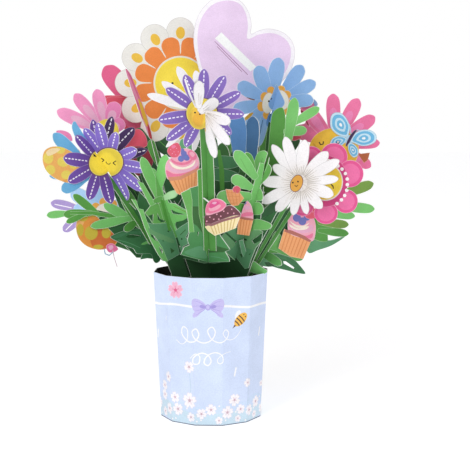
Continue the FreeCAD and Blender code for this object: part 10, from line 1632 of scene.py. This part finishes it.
# Notches that let other cards pass
NOTCH = {
    "lattice_b_back": [[(4.34, 100.41), (4.43, 100.2), (4.64, 100.11), (4.85, 100.2), (5.5, 100.48), (6.04, 100.84), (6.13, 101.05), (6.66, 111.36), (6.57, 111.57), (6.36, 111.66), (6.14, 111.57), (4.93, 110.45), (4.84, 110.24)]],
    "lattice_b_mid": [[(26.69, 52.56), (26.86, 51.92), (26.94, 51.71), (27.27, 51.11), (27.48, 51.02), (27.69, 51.11), (29.77, 55.09), (29.86, 55.3), (29.66, 55.88), (29.57, 56.09), (29.22, 56.64), (29.01, 56.72), (28.8, 56.64), (26.78, 52.78)]],
}

# ------------------------------------------------------------------ lattice
TOP = [(0.62, 62), (0.60, 84), (0.50, 78), (0.42, 98), (0.33, 82), (0.20, 94), (0.10, 82), (0.0, 100), (-0.10, 82), (-0.20, 94), (-0.33, 82), (-0.42, 98), (-0.50, 78), (-0.60, 84), (-0.62, 62)]
TOP_AB = [(0.62, 62), (0.60, 88), (0.50, 92), (0.42, 108), (0.33, 94), (0.20, 106), (0.10, 100), (0.0, 114), (-0.10, 82), (-0.20, 94), (-0.33, 82), (-0.42, 98), (-0.50, 78), (-0.60, 84), (-0.62, 62)]
TOP_BB = [(0.62, 54), (0.40, 60), (0.34, 56), (0.30, 66), (0.24, 60), (0.17, 74), (0.10, 70), (0.0, 112), (-0.10, 102), (-0.20, 112), (-0.33, 94), (-0.42, 104), (-0.50, 82), (-0.60, 84), (-0.62, 62)]
OUTER = [(-0.60, 52), (-0.30, 50), (0.0, 52), (0.30, 50), (0.60, 52)]
LATTICE = {
    "lattice_a_front": ("AF", 0.52, 0.70, True), "lattice_a_mid": ("AM", 0.62, 0.62, False), "lattice_a_back": ("AB", 0.72, 0.55, True),
    "lattice_b_front": ("BF", 0.80, 0.50, True), "lattice_b_mid": ("BM", 0.62, 0.62, False), "lattice_b_back": ("BB", 0.55, 0.44, True),
}


def lattice_outline(name, left, right, outer=True):
    gx, gy, deg = PLANES[name]
    t = math.radians(deg)
    pts = []
    top = {"AB": TOP_AB, "BB": TOP_BB}.get(name, TOP)
    for s, h in (OUTER + top) if outer else top:
        s = right if s > 0.55 else -left if s < -0.55 else s
        pts.append(local(PLANES[name], gx + s * math.cos(t), gy + s * math.sin(t), h))
    if not outer:
        pts += [(-32.5, 50.0), (-29.5, 43.0), (-28.0, -49.0), (28.0, -49.0), (29.5, 43.0), (32.5, 50.0)]
    return pts


for name, (plane, left, right, outer) in LATTICE.items():
    CARDS[name] = (plane, 0.0, "lattice", [("p", lattice_outline(plane, left, right, outer))] + [("h", q) for q in NOTCH.get(name, [])], [])

SPANS = {}
for plane in FAMILY:
    offs = [c[1] for c in CARDS.values() if c[0] == plane]
    SPANS[plane] = (min(offs), max(offs) + T)

# How far a card may bow out of its plane, in mm, and how painted shade darkens the cards down into the bouquet
GREENS = ("leaf", "frond", "sprig", "lattice")
BOW = {"H36": 0.4, "H31": 0.5, "H26": 0.4, "H20": 0.8, "H10": 0.8, "H02": 0.9, "H-12": 0.8, "H-20": 0.9, "KLs": 0.3, "Hb": 0.3, "Hd": 0.3, "Hf": 0.5}


def mix3(a, b, k):
    k = min(1.0, max(0.0, k))
    k = k * k * (3 - 2 * k)
    return tuple(p + (q - p) * k for p, q in zip(a, b))


# Printed shading round each flower middle, darkest at the disc rim where it also serves as painted soft shadow: (middle
# x, middle y, inner radius, outer radius, colour factor inside, outside), in the card's plane
SHADE = {
    "aster_purple_centre": (-37.7, 151.6, 8, 22, (0.80, 0.78, 0.84), (1.04, 1.04, 1.02)),
    "aster_white_centre": (35.1, 152.6, 3, 15, (0.90, 0.88, 0.84), (1.0, 1.0, 1.0)),
    "aster_purple_left": (-59.0, 117.9, 8, 22, (0.82, 0.80, 0.86), (1.04, 1.03, 1.02)),
    "aster_purple_left_b": (-49.9, 119.4, 8, 22, (0.86, 0.84, 0.90), (1.04, 1.04, 1.02)),
    "bloom_blue": (44.3, 149.7, 5, 20, (0.90, 0.95, 0.99), (1.03, 1.02, 1.0)),
    "bloom_blue_b": (20.8, 157.0, 5, 20, (0.90, 0.95, 0.99), (1.03, 1.02, 1.0)),
    "bloom_orange": (-23.5, 171.3, 14, 40, (0.97, 0.95, 0.86), (1.0, 1.0, 1.0)),
    "bloom_pink_left": (-70.1, 132.7, 8, 26, (0.90, 0.86, 0.90), (1.02, 1.02, 1.02)),
    "bloom_pink_right": (78.3, 124.0, 10, 28, (0.90, 0.84, 0.86), (1.02, 1.02, 1.02)),
    "bloom_scalloped": (71.6, 101.6, 8, 24, (0.90, 0.82, 0.86), (1.03, 1.03, 1.03)),
    "daisy_right": (55.4, 101.8, 3, 16, (0.84, 0.80, 0.74), (1.0, 0.995, 0.99)),
    "petals_rose_back": (-50.0, 153.2, 5, 30, (0.86, 0.80, 0.82), (1.02, 1.02, 1.02)),
    "petals_blue_left": (-68.8, 115.1, 6, 26, (0.86, 0.92, 0.96), (1.03, 1.02, 1.0)),
    "bloom_sky_left": (-65.3, 82.5, 6, 22, (0.90, 0.95, 0.99), (1.03, 1.02, 1.0)),
}


def tone_and_shade_of(name, plane_name):
    green = name.startswith(GREENS)

    def tone_and_shade(x, y, p):
        z = p[2] / MM
        c = (1.0, 1.0, 1.0)
        if name.startswith("lattice"):
            # deep shade down inside the pot
            c = mix3((0.10, 0.16, 0.11), (0.62, 0.72, 0.60), (z - 62.0) / 46.0)
            if z > 100:
                c = mix3(c, (1.0, 1.0, 1.0), (z - 100.0) / 34.0)
        elif green:
            # painted shade: greens darker lower down in the bouquet; the noise below is random tone
            c = mix3((0.82, 0.86, 0.84), (1.03, 1.02, 1.0), (z - 98.0) / 46.0)
            w = noise.noise(Vector((x * 0.11 + 3.0, y * 0.06, 9.0)))
            c = tuple(q * (1.0 + 0.09 * w) for q in c)
        elif name in SHADE:
            mx, my, r0, r1, inner, outer = SHADE[name]
            d = math.hypot(x - mx, y - my)
            c = mix3(inner, outer, (d - r0) / (r1 - r0))
            # painted soft shadow at the disc rim: bright inside the disc, darkening towards its edge
            if r0 >= 8 and d < r0:
                c = mix3((1.04, 1.03, 1.0), c, (d / r0 - 0.72) / 0.28)
        return c

    return tone_and_shade


def card(name):
    plane_name, off, base, cuts, art = CARDS[name]
    plane = PLANES[plane_name]
    u, v, n = axes(plane)
    regions = [outline(s) for s in cuts if s[0] != "h"]
    strips = slots(plane_name, off, SPANS)
    holes = [p if area(p) > 0 else p[::-1] for p in strips]
    for s in cuts:
        if s[0] == "h":
            holes.append(outline(s))
    if plane_name in FAMILY and not name.startswith("lattice"):
        fl = 36.0 if name == "leaf_foot_right" else 44.5 if name.startswith(("leaf", "frond", "sprig", "cupcake", "balloon")) else 63.0
        holes.append([(-300, -200), (300, -200), (300, fl), (-300, fl)])
    prints = []
    for shape, colour in art:
        p = outline(cuts[shape] if isinstance(shape, int) else shape)
        if isinstance(shape, int):
            prints.append((p, colour + "_rim"))
            prints.append((inset(p, 0.26), colour))
        else:
            prints.append((p, colour))
    if name.startswith("lattice"):
        prints.append((inset(outline(cuts[0]), 0.3), base))
    # crossing lines, where the card stays in its plane
    mids = []
    for p in strips:
        a, b, c, d = (Vector(q) for q in p)
        mids.append(((a + b) / 2, (c + d) / 2))
    bow = BOW.get(plane_name, 0.35)
    seed = float(sum(ord(ch) for ch in plane_name))

    def to3d(x, y, h):
        return (APEX + n * (off + h) + u * x + v * y) * MM

    def bend(x, y):
        q = Vector((x, y))
        k = min(1.0, max(0.0, (y - 62.0) / 30.0))
        for a, b in mids:
            ab = b - a
            t = min(1.0, max(0.0, (q - a).dot(ab) / ab.length_squared))
            k = min(k, max(0.0, ((q - a - ab * t).length - 1.5) / 14.0))
        k = k * k * (3 - 2 * k)
        w = noise.noise(Vector((x * 0.03 + seed, y * 0.03, seed * 1.7))) + 0.4 * noise.noise(Vector((x * 0.09, y * 0.09 + seed, 4.0)))
        return bow * k * w

    back = BACKS.get(base, base)
    ob = sheet_mesh(name, regions, holes, prints, to3d, T, bend, 3.0, base if name.startswith(GREENS) else back, base + "_rim", tone_and_shade_of(name, plane_name))
    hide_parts(name)
    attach(ob, "root")
    return ob


# Ground colour of the reverse sides, where no print covers it
BACKS = {"offwhite": "offwhite", "white": "white", "purple": "purple", "lilac": "lilac"}

for name in CARDS:
    card(name)


# ------------------------------------------------------------------ pot
FACET = 18.2
H_POT = 93.0
POT_T = 0.45


def pot3d(s, z, h):
    i = math.floor(s / FACET + 0.5)
    i = max(-6, min(5, i))
    fr = s / FACET + 0.5 - i
    r = 33.0 + 4.3 * z / H_POT - (POT_T - h) / math.cos(math.radians(15))
    a, b = math.radians(15 + 30 * (i - 1)), math.radians(15 + 30 * i)
    p = Vector((r * math.sin(a), -r * math.cos(a), z))
    q = Vector((r * math.sin(b), -r * math.cos(b), z))
    return p.lerp(q, fr) * MM


def ring(cx, cy, rx, ry=None, rot=0.0, n=14):
    ry = ry or rx
    c, s = math.cos(rot), math.sin(rot)
    return [(cx + rx * math.cos(t) * c - ry * math.sin(t) * s, cy + rx * math.cos(t) * s + ry * math.sin(t) * c) for t in (2 * math.pi * k / n for k in range(n))]


def petal(cx, cy, rot, reach, half, notch=0.0):
    c, s = math.cos(rot), math.sin(rot)
    pts = smooth([(0.08, -0.25), (0.45, -0.85), (0.85, -0.9), (1.0, -0.4), (1.0 - notch, 0.0), (1.0, 0.4), (0.85, 0.9), (0.45, 0.85), (0.08, 0.25)], 3)
    return [(cx + a * reach * c - b * half * s, cy + a * reach * s + b * half * c) for a, b in pts]


def blossom(cx, cy, r, rot, col="blossom_white", mid="blossom_core", petals=5, squash=1.0):
    out = []
    for k in range(petals):
        a = rot + 2 * math.pi * k / petals
        out.append((petal(cx, cy, a, r, r * 0.42, 0.12), col + "_line"))
        out.append((petal(cx, cy, a, r * 0.93, r * 0.36, 0.12), col))
        out.append((petal(cx, cy, a, r * 0.5, r * 0.10), mid + "_soft"))
    out.append((ring(cx, cy, r * 0.2, n=10), mid))
    return [([(cx + (x - cx), cy + (y - cy) * squash) for x, y in p], c) for p, c in out]


def stroke(pts, w0, w1=None, n=6):
    """A brush line along a smooth open curve, thin at its ends."""
    w1 = w0 if w1 is None else w1
    P = [pts[0]] + list(pts) + [pts[-1]]
    line = []
    for i in range(1, len(P) - 2):
        a, b, c, d = P[i - 1], P[i], P[i + 1], P[i + 2]
        for k in range(n):
            t = k / n
            line.append(tuple(0.5 * (2 * b[q] + (c[q] - a[q]) * t + (2 * a[q] - 5 * b[q] + 4 * c[q] - d[q]) * t * t + (3 * b[q] - a[q] - 3 * c[q] + d[q]) * t ** 3) for q in (0, 1)))
    line.append(pts[-1])
    out = []
    m = len(line) - 1

    def width(k):
        f = k / m
        return (w0 + (w1 - w0) * f) * min(1.0, 0.45 + 2.4 * min(f, 1 - f))

    for k in range(m):
        a, b = Vector(line[k]), Vector(line[k + 1])
        d = (b - a)
        if d.length < 1e-6:
            continue
        d.normalize()
        nrm = Vector((-d.y, d.x)) / 2
        e = d * 0.12
        wa, wb = width(k), width(k + 1)
        out.append([tuple(a - e - nrm * wa), tuple(b + e - nrm * wb), tuple(b + e + nrm * wb), tuple(a - e + nrm * wa)])
    return out


pot_art = []
lo, hi = -6.5 * FACET, 5.5 * FACET


def add(items):
    pot_art.extend(items)


# soft meadow tint; the painted shadow line at the foot is added with the folds further down
for s0, z0, rx, ry in [(-34, 10, 13, 8), (-20, 7, 13, 7), (-6, 6, 12, 6), (8, 6, 13, 7), (22, 7, 13, 7), (36, 9, 12, 8), (-47, 9, 12, 8), (52, 8, 13, 8), (68, 8, 14, 8), (86, 8, 13, 7), (-62, 8, 13, 8), (-80, 8, 13, 7), (-98, 8, 13, 8)]:
    add([(ring(s0, z0, rx, ry, n=22), "tint_far")])
for s0, z0, rx, ry in [(-33, 7, 11, 6), (-20, 4, 11, 5), (-6, 3.5, 10, 4), (8, 3.5, 11, 4.4), (22, 4, 11, 5), (36, 5, 10, 5), (-47, 5, 10, 5), (52, 5, 11, 5), (68, 5, 12, 5), (86, 5, 11, 5), (-62, 5, 11, 5), (-80, 5, 11, 5), (-98, 5, 11, 5)]:
    add([(ring(s0, z0, rx, ry, n=22), "tint")])
# ribbon round the pot
for k in range(-22, 19):
    s0, s1 = k * 5.0, (k + 1) * 5.0

    def rz(s):
        return 74.6 + 1.1 * math.sin(s * 0.06 + 1.9) + 0.5 * math.sin(s * 0.19)

    if s1 < lo or s0 > hi:
        continue
    add([([(max(s0, lo) - 0.05, rz(s0) - 0.72), (min(s1, hi) + 0.05, rz(s1) - 0.72), (min(s1, hi) + 0.05, rz(s1) + 0.72), (max(s0, lo) - 0.05, rz(s0) + 0.72)], "ribbon")])
# bow
for sx in (-1, 1):
    add([(smooth([(0.4 * sx, 74.9), (3.2 * sx, 78.6), (7.6 * sx, 80.4), (9.6 * sx, 78.4), (9.2 * sx, 74.6), (7.2 * sx, 71.8), (3.4 * sx, 73.2)], 5), "bow")])
    add([(smooth([(0.9 * sx, 74.2), (3.6 * sx, 72.4), (6.2 * sx, 69.4), (8.8 * sx, 68.6), (8.6 * sx, 71.2), (5.2 * sx, 73.6)], 5), "bow")])
    add([(smooth([(1.0 * sx, 75.0), (3.6 * sx, 76.6), (5.0 * sx, 75.4), (3.2 * sx, 74.2)], 4), "bow_line")])
    for a, b, c in [((1.2, 75.6), (4.8, 78.0), (8.2, 79.0)), ((1.4, 75.0), (5.2, 75.8), (8.9, 75.4)), ((1.2, 74.4), (4.6, 73.4), (7.8, 72.6)), ((1.6, 73.8), (4.6, 71.6), (7.6, 69.8))]:
        for q in stroke([(a[0] * sx, a[1]), (b[0] * sx, b[1]), (c[0] * sx, c[1])], 0.32, 0.16, 4):
            add([(q, "bow_line")])
add([(ring(0, 74.9, 1.5, 1.9, n=14), "bow_line"), (ring(0, 75.0, 1.1, 1.5, n=12), "bow")])
# pink blossom
add(blossom(-20.9, 84.6, 5.4, 0.4, "blossom_pink", "rose_deep"))
for k in range(5):
    a = 0.4 + 2 * math.pi * k / 5
    for q in stroke([(-20.9 + 0.8 * math.cos(a), 84.6 + 0.8 * math.sin(a)), (-20.9 + 2.6 * math.cos(a), 84.6 + 2.6 * math.sin(a))], 0.28, 0.2, 2):
        add([(q, "rose_deep")])
# bee
bc, bt = (20.9, 66.4), math.radians(43)


def bee(x, y):
    return (bc[0] + x * math.cos(bt) - y * math.sin(bt), bc[1] + x * math.sin(bt) + y * math.cos(bt))


add([([bee(x, y) for x, y in ring(0.4, 3.3, 3.4, 1.9, 0.5)], "bee_wing"), ([bee(x, y) for x, y in ring(-0.9, 2.8, 2.4, 1.4, 0.9)], "bee_wing")])
add([([bee(x, y) for x, y in ring(0, 0, 5.2, 3.1, n=26)], "bee")])
for x, w in ((-3.2, 0.75), (-1.2, 0.8), (0.9, 0.75)):
    hh = 3.0 * math.sqrt(max(0.0, 1 - (x / 5.2) ** 2))
    add([([bee(*q) for q in ((x - w / 2, -hh), (x + w / 2, -hh), (x + w / 2 + 0.3, 0), (x + w / 2, hh), (x - w / 2, hh), (x - w / 2 + 0.3, 0))], "bee_dark")])
add([([bee(*q) for q in ((-4.9, -0.7), (-4.9, 0.7), (-7.6, 0.0))], "bee_dark"), ([bee(x, y) for x, y in ring(3.5, 0.7, 0.42, n=8)], "bee_dark"), ([bee(x, y) for x, y in ring(3.4, -1.0, 0.42, n=8)], "bee_dark")])
# white flourish: loops and curls
LOOPS = [
    [(-21.5, 53.2), (-17.5, 51.0), (-13.6, 54.2), (-13.2, 60.4), (-16.4, 62.0), (-17.2, 57.6), (-13.0, 53.2), (-8.2, 53.6), (-5.6, 57.6), (-7.2, 61.4), (-9.8, 59.2), (-7.4, 54.6), (-2.4, 52.6), (2.4, 54.8), (4.4, 59.4), (2.4, 62.6), (-0.2, 60.2), (2.2, 55.0), (7.2, 52.8), (11.4, 55.0), (12.8, 58.8), (10.8, 60.8), (9.2, 58.2), (12.2, 54.6), (16.4, 54.6), (19.6, 57.4), (21.6, 60.6)],
    [(-11.6, 42.6), (-8.0, 45.6), (-5.2, 43.8), (-6.0, 39.6), (-9.4, 39.6), (-9.0, 43.4), (-4.2, 46.2), (0.2, 44.6), (1.8, 41.0), (-0.2, 38.4), (-2.6, 40.4), (-0.4, 44.6), (4.6, 46.6), (8.6, 44.6), (9.2, 40.8), (6.8, 39.6), (5.8, 42.2), (9.6, 45.6), (14.4, 46.8)],
]
for path in LOOPS:
    for q in stroke(path, 0.95, 0.6, 6):
        add([(q, "ribbon")])
for s0, z0, k in [(-43.6, 54.0, 1.0), (38.6, 56.6, 1.0), (17.8, 33.5, 1.0), (56, 40, 1.0), (-62, 62, 1.0), (74, 58, 1.0), (-82, 36, 1.0), (90, 44, 1.0), (-100, 60, 1.0), (-30, 66, 0.5), (62, 66, 0.8)]:
    add([([(s0 - 0.95 * k, z0 - 2.7 * k), (s0 + 0.15 * k, z0 - 2.9 * k), (s0 + 1.3 * k, z0 + 2.7 * k), (s0 + 0.2 * k, z0 + 2.9 * k)], "ribbon")])
# blossoms round the foot, thin stems to the tall ones
for s0, z0, z1 in [(27.4, 25.7, 9.0), (-12.6, 37.0, 14.0), (44.1, 22.0, 9.0), (62, 27, 8), (-66, 30, 9), (84, 24, 8), (-92, 26, 9)]:
    for q in stroke([(s0 + 0.2, z0 - 1.0), (s0 + 0.7, (z0 + z1) / 2), (s0 + 0.4, z1)], 0.28, 0.28, 5):
        add([(q, "thin_stem")])
FRONT = [(-30.3, 28.5, 3.6, 0.2), (-36.6, 21.7, 3.7, 0.9), (-37.3, 15.7, 3.8, 0.1), (-24.3, 16.3, 3.7, 0.5), (-12.8, 15.6, 5.3, 0.3), (-22.2, 8.9, 4.2, 0.7), (-30.5, 8.0, 3.9, 0.0), (1.7, 10.2, 3.8, 0.4), (-4.6, 7.5, 3.6, 1.0), (-12.0, 5.0, 3.2, 0.6),
         (17.9, 15.6, 4.2, 0.8), (12.8, 8.2, 4.4, 0.2), (22.5, 9.2, 3.3, 0.5), (30.0, 7.6, 3.8, 1.1), (38.0, 11.4, 4.0, 0.3), (27.4, 25.7, 3.0, 0.6), (-12.6, 37.0, 3.9, 0.9), (44.1, 22.0, 2.2, 0.2), (6.9, 3.4, 2.6, 0.4), (20.6, 3.4, 2.4, 0.1), (-37.6, 4.6, 3.2, 0.5), (36.6, 3.6, 2.6, 0.7)]
SIDE = [(46, 6, 3.6, 0.2), (54, 10, 4.2, 0.8), (62, 5, 3.2, 0.4), (70, 9, 4.0, 0.1), (78, 5, 3.6, 0.6), (86, 10, 4.3, 0.9), (94, 6, 3.4, 0.3), (62, 27, 3.2, 0.5), (84, 24, 3.0, 0.1), (50, 17, 3.2, 1.0), (91, 17, 3.0, 0.7),
        (-46, 9, 3.9, 0.1), (-54, 5, 3.4, 0.7), (-61, 10, 4.2, 0.4), (-70, 5, 3.6, 0.9), (-78, 10, 4.0, 0.2), (-86, 5, 3.4, 0.5), (-94, 10, 4.2, 0.8), (-103, 6, 3.8, 0.3), (-66, 30, 3.4, 0.6), (-92, 26, 3.2, 0.0), (-50, 17, 3.4, 0.5), (-98, 18, 3.0, 0.2), (-112, 8, 3.6, 0.5)]
for s0, z0, r, a in FRONT + SIDE:
    add(blossom(s0, z0, r, a))
# tiny buds between them
for k in range(54):
    s0 = lo + 2 + (hi - lo - 4) * ((k * 0.61803) % 1.0)
    z0 = 1.6 + 12.0 * ((k * 0.41421 + 0.13) % 1.0) ** 1.4
    if min((s0 - a) ** 2 + (z0 - b) ** 2 - (c + 0.3) ** 2 for a, b, c, _ in FRONT + SIDE) > 0:
        add([(ring(s0, z0, 0.62, n=8), "blossom_white")])
# painted shading lines along the folds and the painted shadow line at the foot
for i in range(-6, 6):
    x = (i - 0.5) * FACET
    if i > -6:
        pot_art.insert(0, ([(x - 0.28, 0.5), (x + 0.28, 0.5), (x + 0.28, H_POT - 0.4), (x - 0.28, H_POT - 0.4)], "pot_fold_shading"))
# painted shadow along the foot
pot_art.append(([(lo, 0.0), (hi, 0.0), (hi, 0.55), (lo, 0.55)], "foot_line"))
regions = [[((i - 0.5) * FACET, 0.0), ((i + 0.5) * FACET, 0.0), ((i + 0.5) * FACET, H_POT), ((i - 0.5) * FACET, H_POT)] for i in range(-6, 6)]
# the wall's inside faces are painted near black as painted shade
pot = sheet_mesh("pot_wall", regions, [], pot_art, pot3d, POT_T, None, 0, "pot_inside_shade", "pot")
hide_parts("pot_wall")
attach(pot, "root")

ring12 = [((32.4) * math.sin(math.radians(15 + 30 * i)), -(32.4) * math.cos(math.radians(15 + 30 * i))) for i in range(12)]
# its top face, inside the pot, is painted near black as painted shade
base = sheet_mesh("base_panel", [ring12], [], [], lambda x, y, h: Vector((x, y, h)) * MM, 0.45, None, 6.0, "pot", "pot_inside_shade")
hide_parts("base_panel")
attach(base, "root")

# ------------------------------------------------------------------ studio
fm = bpy.data.materials.new("studio_floor")
fm.use_nodes = True
bs = fm.node_tree.nodes["Principled BSDF"]
bs.inputs["Base Color"].default_value = (0.93, 0.93, 0.94, 1)
bs.inputs["Roughness"].default_value = 0.9
bs.inputs["Specular IOR Level"].default_value = 0.1
bs.inputs["Emission Color"].default_value = (1, 1, 1, 1)
bs.inputs["Emission Strength"].default_value = 0.30
me = bpy.data.meshes.new("floor")
me.from_pydata([(-6, -6, 0), (6, -6, 0), (6, 6, 0), (-6, 6, 0)], [], [(0, 1, 2, 3)])
me.materials.append(fm)
floor = bpy.data.objects.new("floor", me)
scene.collection.objects.link(floor)

world = scene.world or bpy.data.worlds.new("world")
scene.world = world
world.use_nodes = True
bg = world.node_tree.nodes["Background"]
bg.inputs["Color"].default_value = (1.0, 1.0, 1.0, 1)
bg.inputs["Strength"].default_value = 0.74
bg2 = world.node_tree.nodes.new("ShaderNodeBackground")
bg2.inputs["Color"].default_value = (1.0, 1.0, 1.0, 1)
bg2.inputs["Strength"].default_value = 1.0
path = world.node_tree.nodes.new("ShaderNodeLightPath")
mixw = world.node_tree.nodes.new("ShaderNodeMixShader")
world.node_tree.links.new(path.outputs["Is Camera Ray"], mixw.inputs[0])
world.node_tree.links.new(bg.outputs[0], mixw.inputs[1])
world.node_tree.links.new(bg2.outputs[0], mixw.inputs[2])
world.node_tree.links.new(mixw.outputs[0], world.node_tree.nodes["World Output"].inputs["Surface"])


def area_light(name, loc, target, size, power, colour=(1, 1, 1)):
    d = bpy.data.lights.new(name, "AREA")
    d.shape = "DISK"
    d.size = size
    d.energy = power
    d.color = colour
    o = bpy.data.objects.new(name, d)
    o.location = loc
    o.rotation_mode = "QUATERNION"
    o.rotation_quaternion = (Vector(target) - Vector(loc)).to_track_quat("-Z", "Y")
    scene.collection.objects.link(o)
    return o


area_light("key", (-0.55, -0.95, 0.95), (0, 0, 0.14), 0.6, 5.0)
area_light("fill", (0.9, -0.8, 0.5), (0, 0, 0.14), 0.9, 1.2)
scene.view_settings.view_transform = "Standard"
scene.view_settings.look = "None"
scene.view_settings.exposure = 0.0
scene.view_settings.gamma = 1.0
